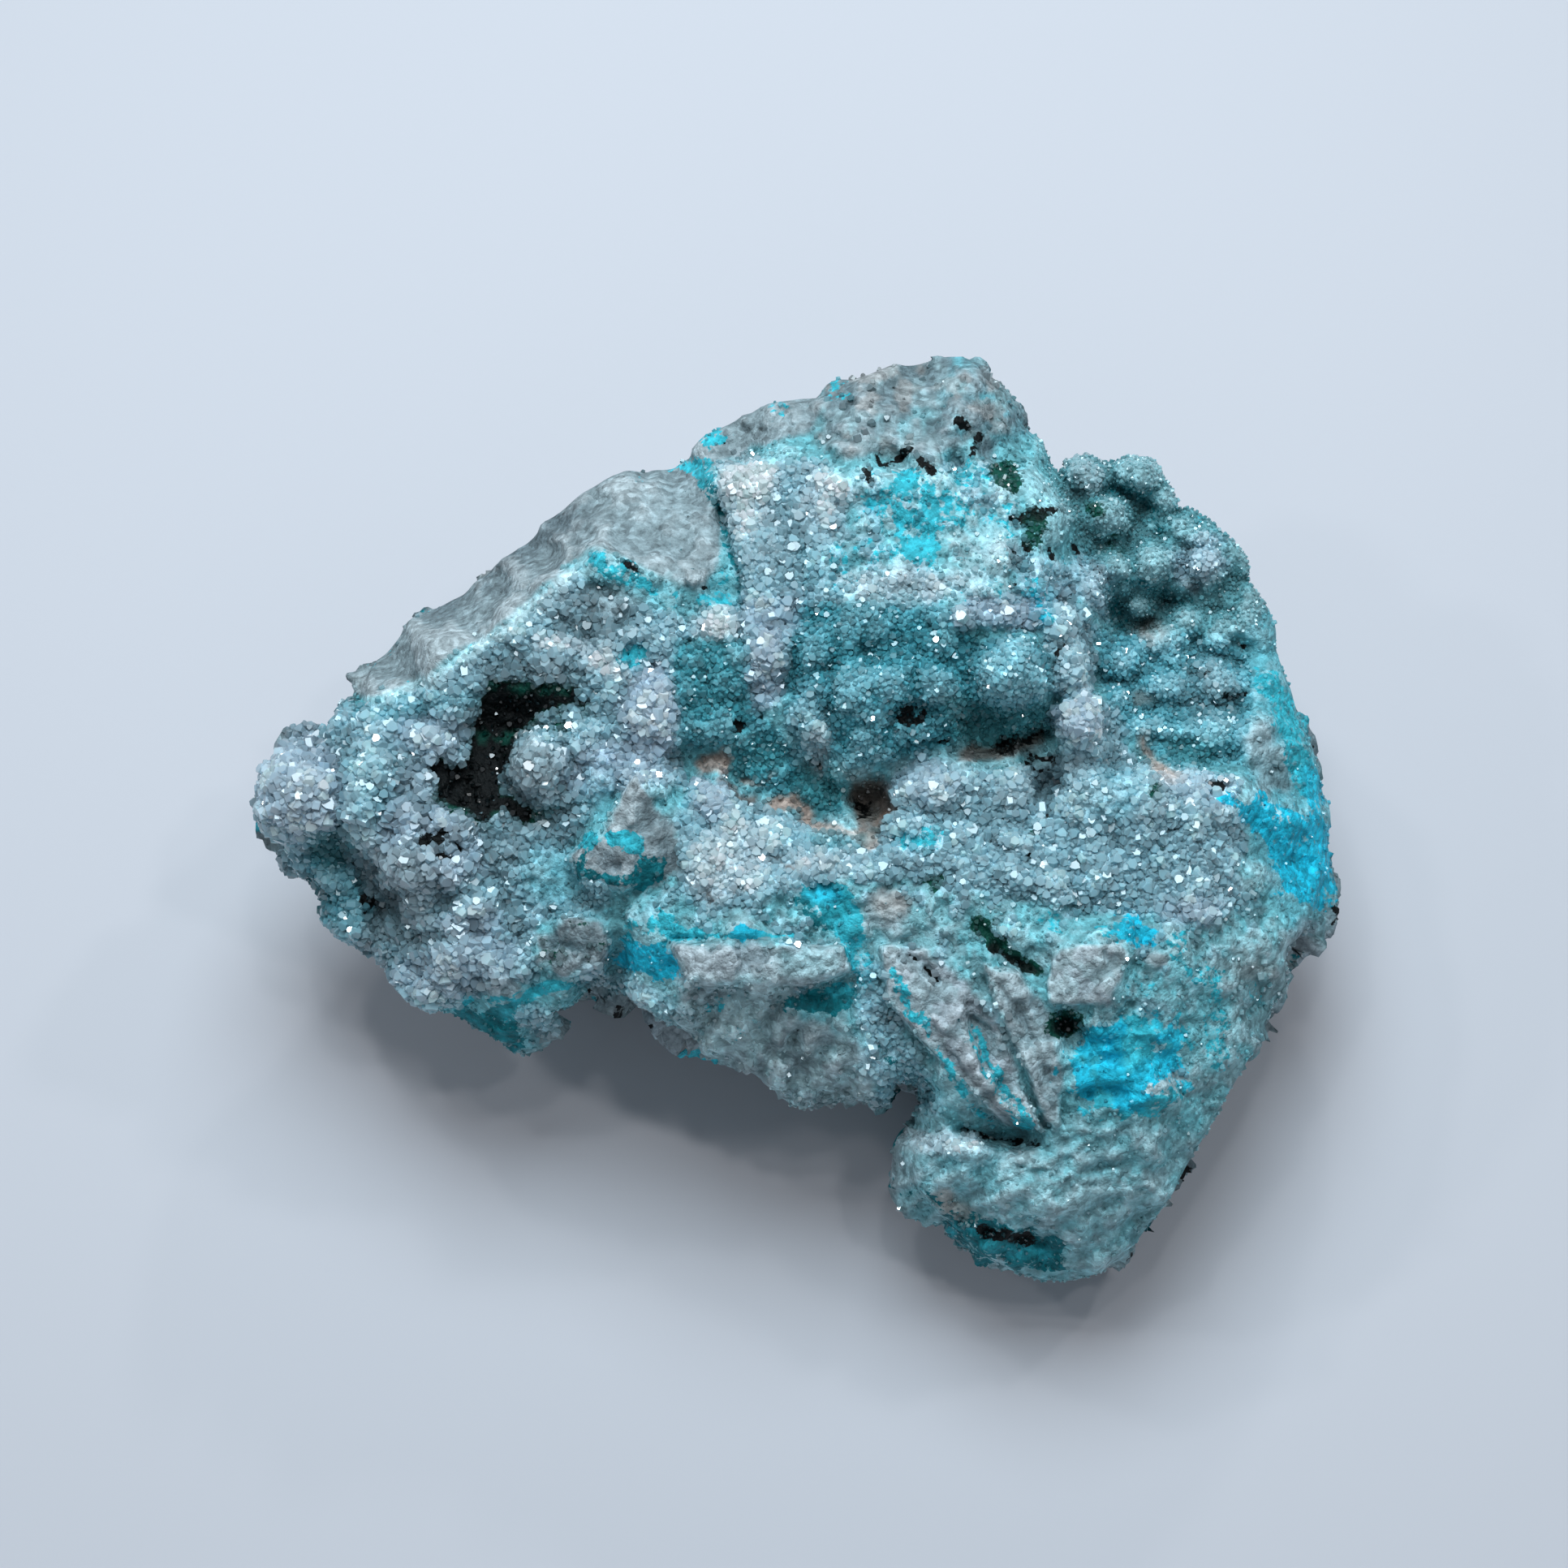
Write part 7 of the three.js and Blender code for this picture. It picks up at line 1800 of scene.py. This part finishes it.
def mix_colours(tree: bpy.types.NodeTree, factor: Any, first: Any, second: Any) -> bpy.types.NodeSocket:
    """Mixes two colours.

    Args:
        tree: The tree.
        factor: Share of the second, a number or a socket.
        first: The first colour or its socket.
        second: The second colour or its socket.

    Returns:
        The mixed colour's socket.
    """
    made = add_node(tree, "ShaderNodeMix", data_type="RGBA", blend_type="MIX")
    colours = [s for s in made.inputs if s.type == "RGBA"]
    for socket, value in ((made.inputs[0], factor), (colours[0], first), (colours[1], second)):
        if isinstance(value, bpy.types.NodeSocket):
            tree.links.new(value, socket)
        else:
            socket.default_value = value
    return next(s for s in made.outputs if s.type == "RGBA")


@dataclass(frozen=True)
class RockFinish:
    """Bare and stained rock: dull, finely grained."""

    name: str = "stained_rock"
    mottle_size: float = 0.55 * MM
    contrast: float = 1.9
    edge_size: float = 0.45 * MM
    raggedness: float = 2.0
    grain_size: float = 0.34 * MM
    grain_depth: float = 0.28 * MM
    granule_size: float = 0.5 * MM
    granule_contrast: float = 0.55
    granule_height: float = 0.5
    bump: float = 1.0
    shine: float = 0.2
    ior: float = 1.5

    def material(self) -> bpy.types.Material:
        """Builds the material."""
        made = bpy.data.materials.new(self.name)
        made.use_nodes = True
        tree = made.node_tree
        shader = tree.nodes["Principled BSDF"]
        tones = {"Size": self.mottle_size, "Contrast": self.contrast}
        # The ground colour carries the painted crease shade and crest light.
        ground = use_group(tree, mottle_group(), {"Tint": attribute(tree, "ground", "Color"), **tones})
        vein = use_group(tree, mottle_group(), {"Tint": attribute(tree, "vein", "Color"), **tones})
        edge = {"Size": self.edge_size, "Raggedness": self.raggedness}
        vein_mask = use_group(tree, ragged_group(), {"Cover": attribute(tree, "vein_cover"), **edge})
        dark_mask = use_group(tree, ragged_group(), {"Cover": attribute(tree, "dark_cover"), **edge})
        stained = mix_colours(tree, vein_mask, ground, vein)
        colour = mix_colours(tree, dark_mask, stained, attribute(tree, "dark", "Color"))
        granules = add_node(
            tree, "ShaderNodeGroup", {"Size": self.granule_size}, node_tree=granule_group(),
        )
        spread = socket_chain(tree, "SUBTRACT", output(granules, "Tone"), 0.5)
        factor = socket_chain(tree, "MULTIPLY_ADD", spread, self.granule_contrast, 1.0)
        raised = socket_chain(tree, "MULTIPLY", output(granules, "Height"), self.granule_height)
        height = socket_chain(tree, "ADD", raised, clouds(tree, self.grain_size, 4.0))
        bump = add_node(
            tree, "ShaderNodeBump", {"Height": height, "Strength": self.bump, "Distance": self.grain_depth},
        )
        tree.links.new(scaled_colour(tree, colour, factor), shader.inputs["Base Color"])
        tree.links.new(attribute(tree, "roughness"), shader.inputs["Roughness"])
        tree.links.new(output(bump), shader.inputs["Normal"])
        shader.inputs["IOR"].default_value = self.ior
        shader.inputs["Specular IOR Level"].default_value = self.shine
        return made


@dataclass(frozen=True)
class QuartzFinish:
    """Small glassy crystals that take their tint from what they grow on."""

    name: str
    transmission: float = 0.3
    scatter: float = 0.5
    scatter_depth: float = 0.3 * MM
    dull: float = 0.34
    polished: float = 0.02
    polished_share: float = 0.45
    ior: float = 1.544
    gain: float = 1.05
    shine: float = 0.9
    palest: tuple[float, float, float] = (0.93, 0.97, 1.0)
    scatter_tint: tuple[float, float, float] = (0.9, 1.0, 1.0)

    def material(self) -> bpy.types.Material:
        """Builds the material."""
        made = bpy.data.materials.new(self.name)
        made.use_nodes = True
        tree = made.node_tree
        shader = tree.nodes["Principled BSDF"]
        factor = socket_chain(tree, "MULTIPLY", attribute(tree, "shade"), self.gain)
        toned = scaled_colour(tree, attribute(tree, "tint", "Color"), factor)
        pale = add_node(tree, "ShaderNodeVectorMath", operation="MINIMUM")
        tree.links.new(toned, pale.inputs[0])
        pale.inputs[1].default_value = self.palest
        tree.links.new(output(pale), shader.inputs["Base Color"])
        polish = add_node(
            tree, "ShaderNodeMapRange",
            {"Value": attribute(tree, "polish"), "From Min": self.polished_share, "To Min": self.polished,
             "To Max": self.dull},
        )
        tree.links.new(output(polish), shader.inputs["Roughness"])
        shader.inputs["IOR"].default_value = self.ior
        shader.inputs["Specular IOR Level"].default_value = self.shine
        shader.inputs["Transmission Weight"].default_value = self.transmission
        shader.inputs["Subsurface Weight"].default_value = self.scatter
        shader.inputs["Subsurface Radius"].default_value = self.scatter_tint
        shader.inputs["Subsurface Scale"].default_value = self.scatter_depth
        return made


@dataclass(frozen=True)
class CrystalShape:
    """One stubby crystal, about a millimetre across: a flat end over the rock, a pointed foot in it."""

    name: str
    sides: int
    rise: float
    shoulder: float
    foot: float
    narrow: float
    lean: float

    def build(self) -> bpy.types.Object:
        """Makes the crystal as a closed mesh."""
        rings = []
        for z, shrink in ((-self.shoulder, 1.0), (self.rise, 0.85)):
            for side in range(self.sides):
                turn = 2 * math.pi * side / self.sides
                radius = 0.5 * shrink * (self.narrow if side % 2 else 1.0)
                rings.append((radius * math.cos(turn), radius * math.sin(turn), z))
        points = [*rings, (self.lean, 0.4 * self.lean, -self.foot)]
        faces: list[list[int]] = [list(range(self.sides, 2 * self.sides))]
        for side in range(self.sides):
            after = (side + 1) % self.sides
            faces.append([side, after, self.sides + after, self.sides + side])
            faces.append([after, side, 2 * self.sides])
        return mesh_object(self.name, np.array(points), faces, smooth=False)


CRYSTAL_SHAPES: Sequence[CrystalShape] = (
    CrystalShape("long_foot", 6, 0.5, 0.22, 0.92, 0.86, 0.08),
    CrystalShape("middling_foot", 6, 0.5, 0.05, 0.72, 0.74, 0.14),
    CrystalShape("short_foot", 6, 0.45, -0.05, 0.56, 0.82, -0.12),
)


class CrystalGrower:
    """Geometry Nodes that scatter crystals over a bed."""

    tree_name: str = "grow_crystals"
    size_spread: tuple[float, float] = (0.62, 1.3)
    second_spread: tuple[float, float] = (0.75, 1.15)
    marks: Sequence[tuple[str, float, float, int]] = (("shade", 0.7, 1.25, 11), ("polish", 0.0, 1.0, 13))

    def __init__(self, shapes: Sequence[CrystalShape]) -> None:
        """Makes the crystals to choose from, and the tree."""
        self.shapes = [shape.build() for shape in shapes]
        self.sockets: dict[str, str] = {}
        self.tree = bpy.data.node_groups.new(self.tree_name, "GeometryNodeTree")
        self.build_tree()

    def build_tree(self) -> None:
        """Builds the tree with its named inputs."""
        tree = self.tree
        wanted = [
            ("Bed", "NodeSocketGeometry"), ("Spacing", "NodeSocketFloat"), ("Thickness", "NodeSocketFloat"),
            ("Size", "NodeSocketFloat"), ("Lean", "NodeSocketFloat"), ("Seed", "NodeSocketInt"),
            ("Material", "NodeSocketMaterial"),
        ]
        wanted += [(f"Crystal {number}", "NodeSocketObject") for number in range(len(self.shapes))]
        for name, kind in wanted:
            socket = tree.interface.new_socket(name, in_out="INPUT", socket_type=kind)
            self.sockets[name] = socket.identifier
        tree.interface.new_socket("Crystals", in_out="OUTPUT", socket_type="NodeSocketGeometry")
        start = tree.nodes.new("NodeGroupInput").outputs
        density = self.carried("crystals")
        points = add_node(
            tree, "GeometryNodeDistributePointsOnFaces",
            {"Mesh": start["Bed"], "Distance Min": start["Spacing"], "Density Max": start["Thickness"],
             "Density Factor": density, "Seed": start["Seed"]},
            distribute_method="POISSON",
        )
        which = self.random("INT", 0, len(self.shapes) - 1, 9)
        placed = add_node(
            tree, "GeometryNodeInstanceOnPoints",
            {"Points": self.marked(points.outputs["Points"]), "Instance": self.choice(start),
             "Pick Instance": True, "Instance Index": which,
             "Rotation": self.leaning(points.outputs["Rotation"], start["Lean"]),
             "Scale": self.sizes(start["Size"])},
        )
        real = add_node(tree, "GeometryNodeRealizeInstances", {"Geometry": output(placed)})
        dressed = add_node(
            tree, "GeometryNodeSetMaterial", {"Geometry": output(real), "Material": start["Material"]},
        )
        end = tree.nodes.new("NodeGroupOutput")
        tree.links.new(output(dressed), end.inputs["Crystals"])

    def carried(self, name: str) -> bpy.types.NodeSocket:
        """A value that the bed carries."""
        return output(
            add_node(self.tree, "GeometryNodeInputNamedAttribute", {"Name": name}, data_type="FLOAT")
        )

    def random(self, kind: str, low: Any, high: Any, seed: int) -> bpy.types.NodeSocket:
        """A random value of the crystal's own, between two numbers or sockets."""
        values = {"Min": low, "Max": high, "Seed": seed}
        return output(add_node(self.tree, "FunctionNodeRandomValue", values, data_type=kind))

    def leaning(self, upright: bpy.types.NodeSocket, lean: bpy.types.NodeSocket) -> bpy.types.NodeSocket:
        """Turns each crystal about itself and leans it over.

        Args:
            upright: The direction that stands on the bed.
            lean: The most that a crystal leans, in radians.

        Returns:
            The crystals' rotation.
        """
        back = socket_chain(self.tree, "MULTIPLY", lean, -1.0)
        low = add_node(self.tree, "ShaderNodeCombineXYZ", {"X": back, "Y": back, "Z": 0.0})
        high = add_node(self.tree, "ShaderNodeCombineXYZ", {"X": lean, "Y": lean, "Z": 2 * math.pi})
        angles = self.random("FLOAT_VECTOR", output(low), output(high), 3)
        turn = add_node(self.tree, "FunctionNodeEulerToRotation", {"Euler": angles})
        stand = add_node(
            self.tree, "FunctionNodeRotateRotation", {"Rotation": upright, "Rotate By": output(turn)},
            rotation_space="LOCAL",
        )
        return output(stand)

    def sizes(self, size: bpy.types.NodeSocket) -> bpy.types.NodeSocket:
        """Each crystal's own size, from the bed's grain and two random spreads."""
        own = self.random("FLOAT", *self.size_spread, 5)
        for factor in (self.random("FLOAT", *self.second_spread, 7), self.carried("grain"), size):
            own = socket_chain(self.tree, "MULTIPLY", own, factor)
        return own

    def choice(self, start: Any) -> bpy.types.NodeSocket:
        """The crystals to choose from, taken from the tree's inputs."""
        joined = add_node(self.tree, "GeometryNodeJoinGeometry")
        for number in reversed(range(len(self.shapes))):
            values = {"Object": start[f"Crystal {number}"], "As Instance": True}
            crystal = add_node(self.tree, "GeometryNodeObjectInfo", values)
            self.tree.links.new(crystal.outputs["Geometry"], joined.inputs["Geometry"])
        return output(joined)

    def marked(self, points: bpy.types.NodeSocket) -> bpy.types.NodeSocket:
        """Gives each point its crystal's own shade and polish."""
        for name, low, high, seed in self.marks:
            values = {"Geometry": points, "Name": name, "Value": self.random("FLOAT", low, high, seed)}
            points = output(
                add_node(
                    self.tree, "GeometryNodeStoreNamedAttribute", values, data_type="FLOAT", domain="POINT",
                )
            )
        return points

    def grow(
        self, name: str, bed: bpy.types.Object, material: bpy.types.Material, values: dict[str, Any]
    ) -> bpy.types.Object:
        """Grows crystals over a bed and keeps them as a plain mesh.

        Args:
            name: Name of the new piece.
            bed: The object that they grow on, which is removed afterwards.
            material: What they are made of.
            values: The tree's other inputs, by name.

        Returns:
            The piece.
        """
        modifier = bed.modifiers.new("crystals", "NODES")
        modifier.node_group = self.tree
        for key, value in {**values, "Material": material}.items():
            modifier[self.sockets[key]] = value
        for number, shape in enumerate(self.shapes):
            modifier[self.sockets[f"Crystal {number}"]] = shape
        view_layer = bpy.context.evaluated_depsgraph_get()
        mesh = bpy.data.meshes.new_from_object(bed.evaluated_get(view_layer))
        mesh.name = name
        bed.modifiers.remove(modifier)
        bpy.data.objects.remove(bed)
        piece = bpy.data.objects.new(name, mesh)
        bpy.context.scene.collection.objects.link(piece)
        return piece

    def put_away(self) -> None:
        """Removes the crystals that were only there to choose from."""
        for shape in self.shapes:
            bpy.data.objects.remove(shape)


@dataclass(frozen=True)
class DruseBed:
    """One stretch of the crust, found by its middle in the view."""

    name: str
    u: float
    v: float
    node: str = "druse_crust"
    spacing: float = 0.28
    size: float = 0.67
    lean: float = 0.8


DRUSE_BEDS: Sequence[DruseBed] = (
    DruseBed("druse_knob", -29.5, 1.5, spacing=0.32, size=0.773),
    DruseBed("druse_arm", -21.5, -4, spacing=0.304, size=0.736),
    DruseBed("druse_ridge", -17, 10, spacing=0.288, size=0.699),
    DruseBed("druse_humps", -9.5, 6),
    DruseBed("druse_block", -2, 19),
    DruseBed("druse_dome", 5.5, 9.5, spacing=0.256, size=0.644),
    DruseBed("druse_shelf", 10, 19, spacing=0.272, size=0.644),
    DruseBed("druse_rib", 16, 12),
    DruseBed("druse_lip", 0, -2),
    DruseBed("druse_front_right", 19, 0),
    DruseBed("druse_right_end", 28.5, -3),
    DruseBed("druse_ledge", 0, -11, spacing=0.288, size=0.644),
    DruseBed("druse_platform", 18, -13, spacing=0.288, size=0.644),
    DruseBed("druse_left_fragments", -13.5, -6.5),
    DruseBed("druse_lobe", 15, -24, spacing=0.288, size=0.644),
    DruseBed("bowl_lumps", 23, 18.5, "bowl_crust", spacing=0.24, size=0.552, lean=0.6),
    DruseBed("bowl_floor", 25, 8.5, "bowl_crust", spacing=0.256, size=0.626),
)


@dataclass
class HostRock:
    """The rock itself, with its whole relief."""

    surface: StoneSurface
    finish: RockFinish = field(default_factory=RockFinish)
    plain_above: float = 4.0
    plain_below: float = 9.0
    kept_share: float = 0.7
    favour_plain: float = 4.0

    def build(self) -> bpy.types.Object:
        """Makes the rock and dresses it."""
        rock = mesh_object("stone", self.surface.points, self.surface.faces)
        for name in ("ground", "vein", "vein_cover", "dark", "dark_cover", "roughness"):
            set_values(rock.data, name, getattr(self.surface.paint, name))
        rock.data.materials.append(self.finish.material())
        self.thin_out(rock)
        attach(rock, "root")
        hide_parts("host_rock")
        return rock

    def thin_out(self, rock: bpy.types.Object) -> None:
        """Merges small faces low on the walls and underneath, and keeps those on the top.

        Args:
            rock: The rock, whose mesh is changed.
        """
        plain = smoothstep(self.plain_above, self.plain_below, self.surface.below)
        group = rock.vertex_groups.new(name="plain")
        steps = 10
        for level in range(1, steps + 1):
            chosen = np.nonzero(np.round(plain * steps) == level)[0]
            group.add([int(n) for n in chosen], level / steps, "REPLACE")
        modifier = rock.modifiers.new("thin_out", "DECIMATE")
        modifier.ratio = self.kept_share
        modifier.vertex_group = group.name
        modifier.vertex_group_factor = self.favour_plain
        thinned = rock.evaluated_get(bpy.context.evaluated_depsgraph_get())
        mesh = bpy.data.meshes.new_from_object(thinned)
        rock.modifiers.remove(modifier)
        rock.vertex_groups.clear()
        full = rock.data
        rock.data = mesh
        mesh.name = "stone"
        bpy.data.meshes.remove(full)


@dataclass
class QuartzCrust:
    """The crystals that grow on the rock."""

    surface: StoneSurface
    beds: Sequence[DruseBed] = DRUSE_BEDS
    thickness: float = 30.0
    least: float = 0.02
    lowest: float = 1.2
    druse: QuartzFinish = QuartzFinish("quartz_druse")
    bowl: QuartzFinish = QuartzFinish("bowl_quartz", transmission=0.15)

    def build(self) -> list[bpy.types.Object]:
        """Grows the crystals of each bed."""
        grower = CrystalGrower(CRYSTAL_SHAPES)
        finishes = {"druse_crust": self.druse.material(), "bowl_crust": self.bowl.material()}
        middles = self.surface.view[self.surface.faces].mean(1)
        gaps = [np.hypot(middles[:, 0] - bed.u, middles[:, 1] - bed.v) for bed in self.beds]
        nearest = np.argmin(gaps, 0)
        grows = self.surface.paint.crystals[self.surface.faces].max(1) > self.least
        grows &= self.surface.points[self.surface.faces, 2].min(1) > self.lowest
        pieces = []
        for number, bed in enumerate(self.beds):
            chosen = (nearest == number) & grows
            if not chosen.any():
                continue
            ground = self.ground(bed.name, self.surface.faces[chosen])
            values = {
                "Spacing": bed.spacing * MM, "Thickness": self.thickness / MM**2, "Size": bed.size,
                "Lean": bed.lean, "Seed": 10 + number,
            }
            piece = grower.grow(bed.name, ground, finishes[bed.node], values)
            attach(piece, "root")
            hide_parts(bed.node)
            pieces.append(piece)
        grower.put_away()
        return pieces

    def ground(self, name: str, faces: np.ndarray) -> bpy.types.Object:
        """Makes the bare bed that the crystals of one stretch grow on.

        Args:
            name: Name of the stretch.
            faces: Its faces, as numbers of the surface's points.

        Returns:
            An object with the bed's minerals on its points.
        """
        used, renumbered = np.unique(faces, return_inverse=True)
        bed = mesh_object(name + "_bed", self.surface.points[used], renumbered.reshape(-1, 4))
        paint = self.surface.paint
        # The tint carries the ground's painted crease shade and crest light into the crystals.
        set_values(bed.data, "tint", paint.whole()[used])
        set_values(bed.data, "crystals", np.clip(paint.crystals[used], 0, 1))
        set_values(bed.data, "grain", paint.grain[used])
        return bed


@dataclass(frozen=True)
class SoftLight:
    """One lamp of the studio."""

    name: str
    place: tuple[float, float, float]
    size: float
    power: float
    colour: tuple[float, float, float] = (1.0, 1.0, 1.0)
    target: tuple[float, float, float] = (0.0, 0.0, 0.012)

    def build(self) -> bpy.types.Object:
        """Makes the lamp, turned towards the specimen."""
        data = bpy.data.lights.new(self.name, "AREA")
        data.shape = "DISK"
        data.size = self.size
        data.energy = self.power
        data.color = self.colour
        lamp = bpy.data.objects.new(self.name, data)
        lamp.location = self.place
        way = np.array(self.target) - np.array(self.place)
        across = math.hypot(way[0], way[1])
        lamp.rotation_euler = (math.atan2(across, -way[2]), 0.0, math.atan2(way[1], way[0]) - math.pi / 2)
        bpy.context.scene.collection.objects.link(lamp)
        return lamp


@dataclass(frozen=True)
class Studio:
    """Pale floor, soft light and the camera."""

    floor_size: float = 3.0
    floor_drop: float = 0.00005
    floor_colour: tuple[float, float, float] = (0.6, 0.6, 0.64)
    floor_roughness: float = 0.9
    floor_shine: float = 0.15
    sky_colour: tuple[float, float, float] = (0.74, 0.87, 1.0)
    sky_strength: float = 0.2
    lights: Sequence[SoftLight] = (
        SoftLight("window", (-0.01, 0.12, 0.29), 0.2, 0.78, (0.78, 0.92, 1.0)),
        SoftLight("front_fill", (0.03, -0.24, 0.2), 0.2, 0.05, (0.86, 0.95, 1.0)),
        SoftLight("left_glint", (-0.13, 0.14, 0.26), 0.022, 0.06),
        SoftLight("right_glint", (0.15, 0.1, 0.24), 0.022, 0.06),
        SoftLight("high_glint", (0.02, 0.0, 0.36), 0.022, 0.06),
        SoftLight("rear_glint", (0.04, 0.24, 0.19), 0.022, 0.06),
        SoftLight("far_left_glint", (-0.2, 0.02, 0.22), 0.022, 0.05),
        SoftLight("near_right_glint", (0.1, -0.04, 0.3), 0.022, 0.05),
        SoftLight("near_left_glint", (-0.07, 0.04, 0.34), 0.022, 0.05),
    )
    sensor: float = 36.0
    nearest_seen: float = 0.01

    def build(self) -> None:
        """Makes the whole studio."""
        self.build_floor()
        self.build_sky()
        for light in self.lights:
            light.build()
        self.build_camera()

    def build_floor(self) -> None:
        """Makes the floor just under the specimen's foot."""
        half = self.floor_size / 2 / MM
        z = -self.floor_drop / MM
        corners = np.array([(-half, -half, z), (half, -half, z), (half, half, z), (-half, half, z)])
        floor = mesh_object("floor", corners, [[0, 1, 2, 3]], smooth=False)
        paint = bpy.data.materials.new("pale_floor")
        paint.use_nodes = True
        shader = paint.node_tree.nodes["Principled BSDF"]
        shader.inputs["Base Color"].default_value = (*self.floor_colour, 1)
        shader.inputs["Roughness"].default_value = self.floor_roughness
        shader.inputs["Specular IOR Level"].default_value = self.floor_shine
        floor.data.materials.append(paint)

    def build_sky(self) -> None:
        """Sets the even light from all round."""
        world = bpy.data.worlds.new("sky")
        bpy.context.scene.world = world
        world.use_nodes = True
        background = world.node_tree.nodes["Background"]
        background.inputs["Color"].default_value = (*self.sky_colour, 1)
        background.inputs["Strength"].default_value = self.sky_strength
        bpy.context.scene.view_settings.view_transform = "Standard"

    def build_camera(self) -> None:
        """Sets the camera on the line of sight."""
        sine, cosine = math.sin(SIGHT.elevation), math.cos(SIGHT.elevation)
        data = bpy.data.cameras.new("camera")
        data.sensor_width = self.sensor
        data.lens = self.sensor * SIGHT.scale * SIGHT.eye_distance / SIGHT.picture_side
        data.clip_start = self.nearest_seen
        camera = bpy.data.objects.new("camera", data)
        place = np.array([
            SIGHT.eye_u,
            SIGHT.eye_v * sine - SIGHT.eye_distance * cosine,
            SIGHT.middle_height + SIGHT.eye_v * cosine + SIGHT.eye_distance * sine,
        ])
        camera.location = place * MM
        camera.rotation_euler = (math.pi / 2 - SIGHT.elevation, 0, 0)
        bpy.context.scene.collection.objects.link(camera)
        bpy.context.scene.camera = camera


def main() -> None:
    """Builds the specimen round its frame, then the studio."""
    logging.basicConfig(level=logging.INFO, format="%(message)s")
    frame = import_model()
    log.info("solids to dress: %s", ", ".join(sorted(frame["nodes"])))
    surface = StoneSurface.build()
    for piece in (HostRock(surface).build(), *QuartzCrust(surface).build()):
        log.info("%s: %d faces", piece.name, len(piece.data.polygons))
    Studio().build()


if __name__ == "__main__":
    main()
